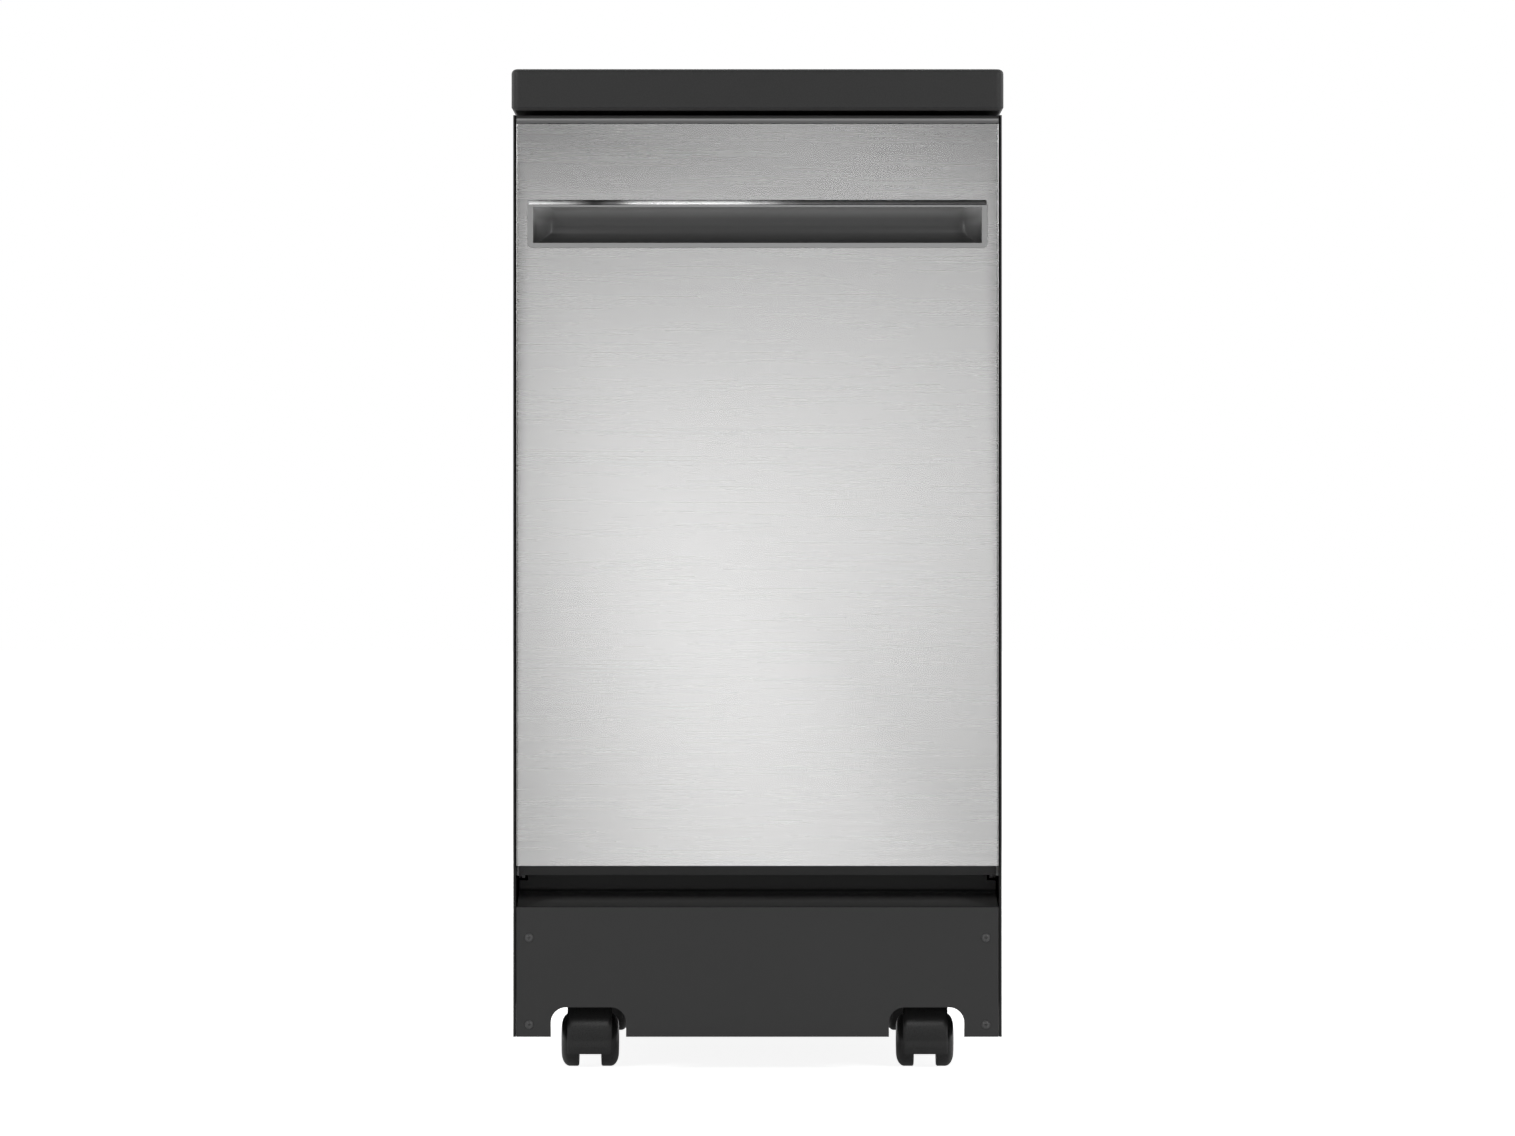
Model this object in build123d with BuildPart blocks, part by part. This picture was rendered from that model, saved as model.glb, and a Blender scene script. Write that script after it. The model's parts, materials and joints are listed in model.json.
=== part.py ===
from build123d import *
import os
from math import cos, pi, radians, sin

os.makedirs("parts", exist_ok=True)

# Portable dishwasher of the 18-inch class, in millimetres.
# The origin is on the floor under the centre, +Z is up, and the door faces -Y.
# Heights above the floor, the outline and the clearances drive everything else.

# Worktop
TOP_WIDTH = 451.0
TOP_DEPTH = 600.0
TOP_THICK = 38.0
TOP_HEIGHT = 919.0
TOP_CORNER_R = 7.0
TOP_EDGE_R = 4.5
TOP_UNDER_BEVEL = 3.0
TOP_UNDER_Z = TOP_HEIGHT - TOP_THICK
TOP_FRONT_Y = -TOP_DEPTH / 2

# Cabinet shell
BODY_INSET = 1.5
TOP_GAP = 4.0
BODY_FRONT_SETBACK = 6.0
BODY_REAR_SETBACK = 8.0
BODY_BOTTOM_Z = 32.0
SHEET = 1.0
HEM_WIDTH = 2.4
HEM_DEPTH = 16.0
FLANGE = 14.0
SHEET_GAP = 0.5
BODY_HALF = TOP_WIDTH / 2 - BODY_INSET
BODY_TOP_Z = TOP_UNDER_Z - TOP_GAP
BODY_FRONT_Y = TOP_FRONT_Y + BODY_FRONT_SETBACK
BODY_REAR_Y = TOP_DEPTH / 2 - BODY_REAR_SETBACK

# Door
DOOR_FACE_SETBACK = 3.0
DOOR_SIDE_GAP = 0.7
DOOR_BOTTOM_Z = 188.8
DOOR_TOP_DROP = 8.0
SKIN_SHEET = 0.8
SKIN_RETURN = 15.5
SKIN_EDGE_R = 1.6
INNER_TOP_DROP = 0.4
INNER_SIDE_INSET = 7.9
INNER_SIDE_DEPTH = 36.0
INNER_RIM = 4.0
EMBOSS_DEPTH = 4.0
EMBOSS_SIDE_INSET = 28.0
EMBOSS_LOW_RISE = 47.2
EMBOSS_TOP_DROP = 40.6
EMBOSS_TAPER_ANGLE = 35.0
EMBOSS_CORNER_R = 24.0
HINGE_BACKSET = 27.0
HINGE_DROP = 2.8
HINGE_TO_INNER = 27.0
PIN_R = 4.0
PIN_CLEARANCE = 0.06
DOOR_FACE_Y = TOP_FRONT_Y + DOOR_FACE_SETBACK
DOOR_HALF = BODY_HALF - HEM_WIDTH - DOOR_SIDE_GAP
DOOR_SKIN_TOP_Z = BODY_TOP_Z - DOOR_TOP_DROP
HINGE_Y = DOOR_FACE_Y + HINGE_BACKSET
HINGE_Z = DOOR_BOTTOM_Z - HINGE_DROP
SKIN_BACK_Y = DOOR_FACE_Y + SKIN_RETURN
INNER_FACE_Y = HINGE_Y + HINGE_TO_INNER
INNER_EDGE_Z = DOOR_SKIN_TOP_Z - INNER_TOP_DROP
INNER_HALF = DOOR_HALF - INNER_SIDE_INSET
EMBOSS_HALF = INNER_HALF - EMBOSS_SIDE_INSET
EMBOSS_LOW_Z = DOOR_BOTTOM_Z + EMBOSS_LOW_RISE
EMBOSS_HIGH_Z = INNER_EDGE_Z - EMBOSS_TOP_DROP

# Door bottom trim
TRIM_WEB = 3.0
TRIM_WEB_INSET = 0.5
TRIM_LIP = 1.5
TRIM_LIP_INSET = 1.9
TRIM_LIP_DROP = 9.1

# Handle pocket and its lip
BEZEL_SIDE_INSET = 9.9
BEZEL_HEIGHT = 44.0
BEZEL_TOP_DROP = 70.0
BEZEL_CORNER_R = 4.5
BEZEL_PROUD = 1.2
POCKET_SIDE_INSET = 5.5
POCKET_HEIGHT = 33.0
POCKET_TOP_DROP = 6.4
POCKET_DEPTH = 31.0
POCKET_END_R = 25.0
POCKET_UNDERCUT = 2.0
POCKET_LIP = 6.0
POCKET_SCOOP_R = 19.0
POCKET_ROOF_R = 7.0
POCKET_WALL = 1.8
LIP_HEIGHT = 4.6
LIP_THICK = 1.1
LIP_EDGE_R = 0.9
BEZEL_WIDTH = 2 * (DOOR_HALF - BEZEL_SIDE_INSET)
BEZEL_TOP_Z = DOOR_SKIN_TOP_Z - BEZEL_TOP_DROP
POCKET_WIDTH = BEZEL_WIDTH - 2 * POCKET_SIDE_INSET

# Control panel on the door's top edge
PANEL_TOP_DROP = 0.5
PANEL_SEAM = 0.5
PANEL_WALL = 2.5
PANEL_DEPTH = 50.0
PANEL_EDGE_R = 1.2
BEAD_R = 0.9
BEAD_DROP = 3.9
KEY_LENGTH = 24.0
KEY_WIDTH = 12.0
KEY_PROUD = 1.2
KEY_GAP = 0.5
KEY_FLANGE = 1.5
KEY_FLANGE_THICK = 2.4
KEY_DEPTH_FROM_FACE = 26.0
KEY_END_INSET = 44.9
KEY_SPAN = DOOR_HALF - KEY_END_INSET
PANEL_TOP_Z = BODY_TOP_Z - PANEL_TOP_DROP
PANEL_LOW_Z = DOOR_SKIN_TOP_Z + PANEL_SEAM

# Latch
LATCH_PIVOT_BACK = 13.0
LATCH_PIVOT_DROP = 17.0
LATCH_PIN_R = 2.5
LATCH_BOSS_R = 6.0
LATCH_THICK = 6.0
LATCH_REACH = 39.0
LATCH_ARM_LOW = 2.5
LATCH_ARM_HIGH = 7.0
LATCH_NOSE_RISE = 12.8
LATCH_NOSE_LENGTH = 5.0
LATCH_SLOT_HALF = 9.0
LATCH_SLOT_DROP = 4.0
LATCH_CHEEK = 2.0
LATCH_CHEEK_GAP = 0.5
LATCH_HOUSING_HALF = 10.0
STRIKE_R = 2.5
STRIKE_RISE = 17.0
STRIKE_BACK = 14.0
STRIKE_HALF = 14.0
LATCH_PIVOT_Z = DOOR_SKIN_TOP_Z - LATCH_PIVOT_DROP
LATCH_SLOT_LOW_Z = LATCH_PIVOT_Z - LATCH_SLOT_DROP
STRIKE_Z = LATCH_PIVOT_Z + STRIKE_RISE

# Tub
TUB_SIDE_GAP = 21.0
TUB_FRONT_GAP = 7.0
TUB_REAR_GAP = 28.0
TUB_CEILING_DROP = 33.0
TUB_CORNER_R = 22.0
TUB_SHEET = 1.0
TUB_FLANGE = 8.0
TRACK_Z = 213.0
TRACK_WIDTH = 17.0
PAN_Z = 199.0
PAN_BEND_R = 4.0
SILL_DROP = 9.0
SWAGE_DEPTH = 3.0
SWAGE_HEIGHT = 40.0
SWAGE_END_INSET = 40.0
SWAGE_CORNER = 13.0
SEAL_WIDTH = 7.0
SEAL_INSET = 1.0
SEAL_GAP = 0.4
SEAL_EDGE_R = 2.0
TUB_HALF = BODY_HALF - TUB_SIDE_GAP
TUB_FRONT_Y = INNER_FACE_Y + TUB_FRONT_GAP
TUB_REAR_Y = BODY_REAR_Y - TUB_REAR_GAP
TUB_DEPTH = TUB_REAR_Y - TUB_FRONT_Y
TUB_CENTRE_Y = (TUB_FRONT_Y + TUB_REAR_Y) / 2
TUB_CEILING_Z = BODY_TOP_Z - TUB_CEILING_DROP
TRACK_INNER = TUB_HALF - TRACK_WIDTH
FLANGE_HALF = TUB_HALF + TUB_SHEET + TUB_FLANGE

# Sump and filters
BOWL_SIDES = 36
SUMP_BORE_R = 98.0
SUMP_LIP = 8.0
SUMP_WALL = 2.5
SUMP_FLOOR_Z = 122.0
SUMP_SLOPE = 26.0
POST_R = 12.0
POST_BORE_R = 8.5
POST_TOP_Z = 236.0
FILTER_R = 118.0
FILTER_THICK = 1.2
FILTER_POST_GAP = 0.6
CUP_SIDES = 24
CUP_R = 32.0
CUP_OFFSET_X = 48.0
CUP_OFFSET_Y = -34.0
CUP_GAP = 1.0
CUP_WALL = 2.0
CUP_RIM = 3.0
CUP_DEPTH = 44.0
CUP_WINDOW_HEIGHT = 26.0
CUP_WINDOW_WIDTH = 30.0
CUP_GRIP_HEIGHT = 11.0
CUP_GRIP_WIDTH = 7.0
SLOT_COUNT = 12
SLOT_LENGTH = 22.0
SLOT_WIDTH = 3.0
SLOT_RING_R = 103.0

# Spray arms
HUB_SIDES = 24
ARM_TIP_GAP = 22.0
LOWER_ARM_Z = 224.0
UPPER_ARM_TIP_GAP = 18.0
ARM_THICK = 11.0
ARM_HUB_R = 27.0
ARM_ROOT_HALF = 21.0
ARM_TIP_HALF = 11.0
ARM_SWEEP = 14.0
ARM_TIP_BEVEL = 7.0
ARM_EDGE = 3.0
ARM_BORE_CLEARANCE = 0.08
ARM_CAP = 2.5
JET_COUNT = 4
JET_LENGTH = 5.0
JET_WIDTH = 2.4
JET_DEPTH = 2.0
JET_END_GAP = 17.0

# Lower rack
ROD_SIDES = 6
GRID_ROD_R = 1.7
RIM_ROD_R = 2.4
RIM_LOW_SHARE = 0.5
LOWER_RACK_SIDE_GAP = 20.0
LOWER_RACK_FRONT_GAP = 33.0
LOWER_RACK_REAR_GAP = 28.0
LOWER_FLOOR_RISE = 41.0
LOWER_TOE = 46.0
LOWER_TOE_RISE = 26.0
LOWER_RACK_HEIGHT = 112.0
LOWER_ALONG_COUNT = 9
LOWER_ACROSS_COUNT = 9
TINE_HEIGHT = 72.0
LOWER_TINE_BAR_COUNTS = (5, 7)
FOLD_BAR_COUNT = 3
FOLD_TINE_HEIGHT = 64.0
TINE_R = 1.7
FOLD_AXLE_R = 2.4
FOLD_LIFT = 0.5
FOLD_CLIP = 3.0
FOLD_CLIP_WIDTH = 8.0
ROLLER_SIDES = 24
ROLLER_R = 19.0
ROLLER_WIDTH = 10.0
ROLLER_GAP = 1.0
ROLLER_LIFT = 1.0
ROLLER_AXLE_R = 4.0
ROLLER_RIM = 4.0
ROLLER_DISH = 3.3
ROLLER_EDGE = 1.5
ROLLER_CLEARANCE = 0.06
ROLLER_FRONT_INSET = 105.0
ROLLER_REAR_INSET = 60.0
BRACKET_THICK = 4.0
BRACKET_HALF = 17.0
BRACKET_TOP_RISE = 14.0
BRACKET_GAP = 0.3
BRACKET_BOSS_R = 10.0
LOWER_RACK_HALF = TUB_HALF - LOWER_RACK_SIDE_GAP
LOWER_RACK_FRONT_Y = TUB_FRONT_Y + LOWER_RACK_FRONT_GAP
LOWER_RACK_REAR_Y = TUB_REAR_Y - LOWER_RACK_REAR_GAP
LOWER_FLOOR_Z = TRACK_Z + LOWER_FLOOR_RISE
ROLLER_FRONT_Y = LOWER_RACK_FRONT_Y + ROLLER_FRONT_INSET
ROLLER_REAR_Y = LOWER_RACK_REAR_Y - ROLLER_REAR_INSET
ROLLER_X = TUB_HALF - ROLLER_GAP - ROLLER_WIDTH
ROLLER_Z = TRACK_Z + ROLLER_LIFT + ROLLER_R

# Cutlery basket
BASKET_END_GAP = 33.0
BASKET_WIDTH = 62.0
BASKET_HEIGHT = 128.0
BASKET_WALL = 2.2
BASKET_CELLS = 4
BASKET_SLOTS = 5
BASKET_SLOT_WIDTH = 5.0
BASKET_LIFT = 0.5
BASKET_CORNER_R = 8.0
BASKET_TOE_GAP = 2.0
BASKET_RAIL = 9.0
BASKET_BOW_RISE = 26.0
BASKET_BOW = 5.0
BASKET_LENGTH = 2 * (LOWER_RACK_HALF - BASKET_END_GAP)

# Upper rack
UPPER_RACK_SIDE_GAP = 27.0
UPPER_RACK_FRONT_GAP = 36.0
UPPER_RACK_REAR_GAP = 42.0
UPPER_FLOOR_DROP = 270.0
UPPER_RACK_HEIGHT = 96.0
UPPER_ALONG_COUNT = 8
UPPER_ACROSS_COUNT = 8
UPPER_TINE_HEIGHT = 48.0
UPPER_TINE_BAR_COUNTS = (2, 5)
UPPER_TOE = 30.0
UPPER_TOE_RISE = 16.0
UPPER_LIFT = 40.0
UPPER_RACK_HALF = TUB_HALF - UPPER_RACK_SIDE_GAP
UPPER_RACK_FRONT_Y = TUB_FRONT_Y + UPPER_RACK_FRONT_GAP
UPPER_RACK_REAR_Y = TUB_REAR_Y - UPPER_RACK_REAR_GAP
UPPER_FLOOR_Z = TUB_CEILING_Z - UPPER_FLOOR_DROP

# Telescopic rails of the upper rack
RAIL_RISE = 32.0
RAIL_HEIGHT = 34.0
RAIL_SHEET = 1.5
RAIL_CLEARANCE = 0.5
RAIL_OUTER_WIDTH = 9.0
RAIL_MIDDLE_WIDTH = 6.0
RAIL_FRONT_GAP = 20.0
RAIL_REAR_GAP = 22.0
RAIL_MIDDLE_SHORTER = 12.0
RAIL_INNER_SHORTER = 38.0
RAIL_STAGGER = 3.0
ADJUSTER_WIDTH = 78.0
ADJUSTER_THICK = 4.0
ADJUSTER_HEIGHT = 62.0
ADJUSTER_FRONT_INSET = 60.0
ADJUSTER_REAR_INSET = 72.0
ADJUSTER_CORNER = 4.0
ADJUSTER_RAISE = 4.0
ADJUSTER_HOOK = 5.0
HOOK_WIDTH = 46.0
HOOK_HEIGHT = 70.0
HOOK_RAISE = 54.0
RAIL_LOW_Z = UPPER_FLOOR_Z + RAIL_RISE
RAIL_OUTER_FRONT_Y = TUB_FRONT_Y + RAIL_FRONT_GAP
RAIL_OUTER_LENGTH = TUB_REAR_Y - RAIL_REAR_GAP - RAIL_OUTER_FRONT_Y
RAIL_MIDDLE_LENGTH = RAIL_OUTER_LENGTH - RAIL_MIDDLE_SHORTER
RAIL_INNER_LENGTH = RAIL_OUTER_LENGTH - RAIL_INNER_SHORTER
ADJUSTER_POSITIONS = (
    UPPER_RACK_FRONT_Y + ADJUSTER_FRONT_INSET,
    UPPER_RACK_REAR_Y - ADJUSTER_REAR_INSET,
)
LOWER_ARM_R = TUB_HALF - ARM_TIP_GAP
UPPER_ARM_R = UPPER_RACK_HALF - UPPER_ARM_TIP_GAP

# Feed tube under the upper rack, supply duct and ceiling shower
TUBE_SIDES = 16
FEED_R = 10.0
FEED_WALL = 1.6
FEED_POST_R = 9.0
FEED_NUT_R = 15.0
FEED_NUT_THICK = 5.0
FEED_NUT_BEVEL = 1.6
FEED_END_GAP = 0.6
DUCT_WIDTH = 42.0
DUCT_THICK = 11.0
DUCT_WALL_GAP = 0.5
DUCT_BEVEL = 4.0
DUCT_PORT_R = 15.0
DUCT_PORT_LENGTH = 4.0
SHOWER_R = 34.0
SHOWER_DROP = 4.5
SHOWER_JET_COUNT = 6
SHOWER_JET_RING_R = 24.0

# Float
FLOAT_SIDES = 24
FLOAT_STEM_SIDES = 12
FLOAT_R = 15.0
FLOAT_HEIGHT = 26.0
FLOAT_BEVEL = 4.0
FLOAT_WALL = 1.8
FLOAT_SIDE_GAP = 57.0
FLOAT_FRONT_GAP = 48.0
FLOAT_STEM_R = 3.0
FLOAT_STEM_LENGTH = 24.0
FLOAT_CLEARANCE = 0.1
FLOAT_GUIDE_R = 7.0
FLOAT_GUIDE_LENGTH = 12.0
FLOAT_X = FLOAT_SIDE_GAP - TUB_HALF
FLOAT_Y = TUB_FRONT_Y + FLOAT_FRONT_GAP

# Detergent dispenser
DISPENSER_WIDTH = 196.0
DISPENSER_HEIGHT = 112.0
DISPENSER_DEPTH = 26.0
DISPENSER_FACE = 3.0
DISPENSER_CORNER_R = 10.0
DISPENSER_RAISE = 28.0
DISPENSER_X = 8.0
DETERGENT_WIDTH = 74.0
DETERGENT_HEIGHT = 50.0
DETERGENT_DEPTH = 20.0
DETERGENT_SHIFT = -42.0
DETERGENT_RAISE = 12.0
DETERGENT_CORNER_R = 9.0
LID_WIDTH = 86.0
LID_HEIGHT = 64.0
LID_THICK = 3.0
LID_GAP = 0.4
LID_TRAVEL = 84.0
LID_CORNER = 5.0
LID_BEVEL = 0.8
GUIDE_HEIGHT = 2.6
RINSE_R = 14.0
RINSE_X = 70.0
RINSE_DROP = 38.0
RINSE_GRIP_HALF = 2.5
RINSE_GRIP_REACH = 11.5
RINSE_GRIP_DEPTH = 2.2
RINSE_THICK = 4.5
RINSE_CLEARANCE = 0.4
FIELD_Z = (EMBOSS_LOW_Z + EMBOSS_HIGH_Z) / 2
DISPENSER_Z = FIELD_Z + DISPENSER_RAISE

# Hinges and balance springs
ARM_PLATE = 3.0
ARM_GAP = 0.8
ARM_UPPER = 130.0
ARM_BOSS_R = 9.5
ARM_UPPER_HALF = 7.0
ARM_LEVER = 54.0
ARM_LEVER_HALF = 5.0
ARM_EYE_R = 2.5
ARM_RIVET_R = 3.0
ARM_RIVET_RISES = (45.0, 115.0)
BRACKET_SHEET = 1.6
PIN_END_GAP = 0.4
SPRING_HOOK = 2.0
HINGE_BRACKET_BACK = 50.0
HINGE_BRACKET_RISE = 9.0
SPRING_SIDES = 12
SPRING_R = 5.5
SPRING_LENGTH = 210.0
SPRING_BORE_R = 3.6
SPRING_ANCHOR = 3.0

# Moulded base
BASE_FLOOR_Z = 62.0
BASE_FLOOR_THICK = 2.5
BASE_SIDE_GAP = 0.6
BASE_WALL = 3.0
BASE_WALL_INSET = 14.0
BASE_WALL_END_INSET = 79.0
BASE_WALL_CORNER = 12.0
BASE_TOP_GAP = 0.5
BASE_FRONT_GAP = 2.0
SOCKET_SIDES = 12
SOCKET_R = 12.0
SOCKET_HEIGHT = 34.0
BASE_HALF = BODY_HALF - HEM_WIDTH - BASE_SIDE_GAP

# Casters
CASTER_SIDE_INSET = 66.0
CASTER_END_INSET = 56.0
CASTER_TRAIL = 14.0
WHEEL_SIDES = 28
WHEEL_R = 24.6
WHEEL_SPAN = 53.0
WHEEL_INNER_GAP = 20.8
WHEEL_TREAD = 8.0
WHEEL_SHOULDER = 3.5
WHEEL_FACE_WIDTH = 10.0
WHEEL_FACE_FALL = 4.6
WHEEL_AXLE_R = 4.0
WHEEL_AXLE_CLEARANCE = 0.06
HOOD_WIDTH = 41.0
HOOD_WALL = 2.2
HOOD_BEVEL = 1.1
HOOD_TREAD_GAP = 1.6
HOOD_WEB_GAP = 0.6
HOOD_WEB_LOW_Z = 13.5
HOOD_LOW_ANGLE = 25.0
HOOD_TOP_Z = 58.0
HOOD_COLLAR_R = 9.0
STEM_R = 5.0
STEM_LENGTH = 32.0
STEM_CLEARANCE = 0.06
CASTER_X = BASE_HALF - CASTER_SIDE_INSET
CASTER_Y = BODY_REAR_Y - CASTER_END_INSET

# Lower front panel and toe recess
KICK_TOP_Z = 151.2
KICK_RETURN = 12.0
KICK_SIDE_GAP = 0.5
CUTOUT_WIDTH = 69.0
CUTOUT_TOP_Z = 59.0
CUTOUT_R = 14.0
SCREW_SIDE_INSET = 11.7
SCREW_SIDES = 16
SCREW_LOW_Z = 43.1
SCREW_HIGH_Z = 122.8
SCREW_HEAD_R = 4.0
SCREW_HEAD_BEVEL = 1.2
SCREW_HEAD_THICK = 1.8
SCREW_R = 1.8
SCREW_LENGTH = 9.0
SCREW_HOLE_R = 2.1
TOE_DEPTH = 75.0
TOE_RISE = 10.0
TOE_TOP_Z = 188.0
TOE_SHEET = 1.4
TOE_BEND_R = 4.2
TOE_NOTCH_WIDTH = 9.0
TOE_NOTCH_DROP = 16.0
KICK_HALF = BODY_HALF - HEM_WIDTH - KICK_SIDE_GAP
SCREW_X = KICK_HALF - SCREW_SIDE_INSET

# Rear panel, its bay and the fittings
REAR_INSET = 2.0
REAR_BOTTOM_RISE = 3.0
REAR_TOP_DROP = 6.0
BAY_WIDTH = 230.0
BAY_HEIGHT = 96.0
BAY_DEPTH = 54.0
BAY_Z = 130.0
BAY_WALL = 1.6
BAY_CORNER_R = 12.0
BAY_BASE_GAP = 1.6
INLET_X = -60.0
INLET_R = 13.2
INLET_BORE_R = 9.5
INLET_LENGTH = 20.0
DRAIN_X = 0.0
DRAIN_R = 10.5
DRAIN_BORE_R = 8.0
DRAIN_LENGTH = 30.0
GLAND_X = 62.0
GLAND_R = 12.0
GLAND_BORE_R = 4.5
GLAND_LENGTH = 14.0
NUT_SIDES = 6
FITTING_NUT_R = 18.0
FITTING_NUT = 3.0

# Top frame
FRAME_HEIGHT = 14.0
FRAME_DEPTH = 30.0
FRAME_SHEET = 1.2
FRAME_SIDE_GAP = 0.6
FRAME_SETBACK = 5.0

# Pumps
MOTOR_SIDES = 24
PUMP_R = 34.0
PUMP_LENGTH = 84.0
PUMP_SUMP_GAP = 22.0
PUMP_BACK = 104.0
PUMP_VOLUTE_R = 42.0
PUMP_VOLUTE_LENGTH = 24.0
PUMP_FOOT = 8.0
DRAIN_PUMP_R = 22.0
DRAIN_PUMP_LENGTH = 60.0
DRAIN_PUMP_SUMP_GAP = 42.0
DRAIN_PUMP_AHEAD = 74.0
PUMP_BEVEL = 4.0


def facing(y):
    """A plane across the machine at depth y: local x is X, local y is Z, and it faces the front."""
    return Plane.XZ.offset(-y)


def side_section(x):
    """A plane along the machine at x: local x is Y and local y is Z."""
    return Plane.YZ.offset(x)


def disc(radius, side_count):
    """A many-sided disc with flats, for the round forms that nothing turns on."""
    return RegularPolygon(radius=radius, side_count=side_count)


def plate(width, height, corner):
    """A rectangle with its four corners cut at 45 degrees."""
    half_x = width / 2
    half_y = height / 2
    return Polygon(
        (half_x, half_y - corner),
        (half_x - corner, half_y),
        (corner - half_x, half_y),
        (-half_x, half_y - corner),
        (-half_x, corner - half_y),
        (corner - half_x, -half_y),
        (half_x - corner, -half_y),
        (half_x, corner - half_y),
        align=None,
    )


def rods(plane, points, length, radius):
    """Parallel six-sided rods of one length, one from each point of the plane, as separate solids."""
    with BuildPart() as rod_set:
        with BuildSketch(plane):
            with Locations(*points):
                RegularPolygon(radius=radius, side_count=ROD_SIDES)
        extrude(amount=length)
    return list(rod_set.part.solids())


def spread(low, high, count):
    """Evenly spaced values from low to high."""
    return [low + (high - low) * i / (count - 1) for i in range(count)]


def group(label, solids):
    """Separate solids that make one piece or one set of like pieces."""
    return Compound(label=label, children=list(solids))


def mirrored(part):
    """The solids of a right-hand piece with their left-hand copies."""
    return list(part.solids()) + list(mirror(part, about=Plane.YZ).solids())


# WORKTOP: post-formed slab with rounded front corners and a soft upper edge
with BuildPart() as worktop:
    with BuildSketch(Plane.XY.offset(TOP_UNDER_Z)):
        RectangleRounded(TOP_WIDTH, TOP_DEPTH, TOP_CORNER_R)
    extrude(amount=TOP_THICK)
    fillet(worktop.faces().sort_by(Axis.Z)[-1].edges(), TOP_EDGE_R)
    chamfer(worktop.faces().sort_by(Axis.Z)[0].edges(), TOP_UNDER_BEVEL)
worktop.part.label = "worktop"
export_step(worktop.part, "parts/worktop.step")

# SIDE PANELS: folded sheet with a closed hem in front and flanges at the rear and top
with BuildPart() as side_panel_right:
    with BuildSketch(Plane.XY.offset(BODY_BOTTOM_Z)):
        with BuildLine():
            Polyline(
                (BODY_HALF - HEM_WIDTH, BODY_FRONT_Y + HEM_DEPTH),
                (BODY_HALF - HEM_WIDTH, BODY_FRONT_Y),
                (BODY_HALF, BODY_FRONT_Y),
                (BODY_HALF, BODY_REAR_Y),
                (BODY_HALF - FLANGE, BODY_REAR_Y),
                (BODY_HALF - FLANGE, BODY_REAR_Y - SHEET),
                (BODY_HALF - SHEET, BODY_REAR_Y - SHEET),
                (BODY_HALF - SHEET, BODY_FRONT_Y + SHEET),
                (BODY_HALF - HEM_WIDTH + SHEET, BODY_FRONT_Y + SHEET),
                (BODY_HALF - HEM_WIDTH + SHEET, BODY_FRONT_Y + HEM_DEPTH),
                close=True,
            )
        make_face()
    extrude(amount=BODY_TOP_Z - BODY_BOTTOM_Z)
    with BuildSketch(Plane.XY.offset(BODY_TOP_Z - SHEET)):
        with Locations((BODY_HALF - FLANGE, TUB_FRONT_Y)):
            Rectangle(
                FLANGE,
                BODY_REAR_Y - TUB_FRONT_Y,
                align=(Align.MIN, Align.MIN),
            )
    extrude(amount=SHEET)
    fillet(
        side_panel_right.edges().filter_by(Axis.Z).group_by(Axis.Y)[0],
        HEM_WIDTH / 2 - SHEET_GAP / 2,
    )
side_panel_right.part.label = "side_panel_right"
export_step(side_panel_right.part, "parts/side_panel_right.step")

with BuildPart() as side_panel_left:
    mirror(side_panel_right.part, about=Plane.YZ)
side_panel_left.part.label = "side_panel_left"
export_step(side_panel_left.part, "parts/side_panel_left.step")

# REAR PANEL: sheet over the rear flanges, with a moulded bay pressed into it for the connections
with BuildPart() as rear_panel:
    with BuildSketch(facing(BODY_REAR_Y)):
        with Locations((0, (BODY_BOTTOM_Z + REAR_BOTTOM_RISE + BODY_TOP_Z - REAR_TOP_DROP) / 2)):
            Rectangle(
                2 * (BODY_HALF - REAR_INSET),
                BODY_TOP_Z - REAR_TOP_DROP - BODY_BOTTOM_Z - REAR_BOTTOM_RISE,
            )
    extrude(amount=-SHEET)
    with BuildSketch(facing(BODY_REAR_Y + SHEET)):
        with Locations((0, BAY_Z)):
            RectangleRounded(
                BAY_WIDTH + 2 * BAY_WALL,
                BAY_HEIGHT + 2 * BAY_WALL,
                BAY_CORNER_R + BAY_WALL,
            )
    extrude(amount=BAY_DEPTH + BAY_WALL)
    with BuildSketch(facing(BODY_REAR_Y + SHEET)):
        with Locations((0, BAY_Z)):
            RectangleRounded(BAY_WIDTH, BAY_HEIGHT, BAY_CORNER_R)
    extrude(amount=BAY_DEPTH, mode=Mode.SUBTRACT)
rear_panel.part.label = "rear_panel"
export_step(rear_panel.part, "parts/rear_panel.step")

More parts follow.
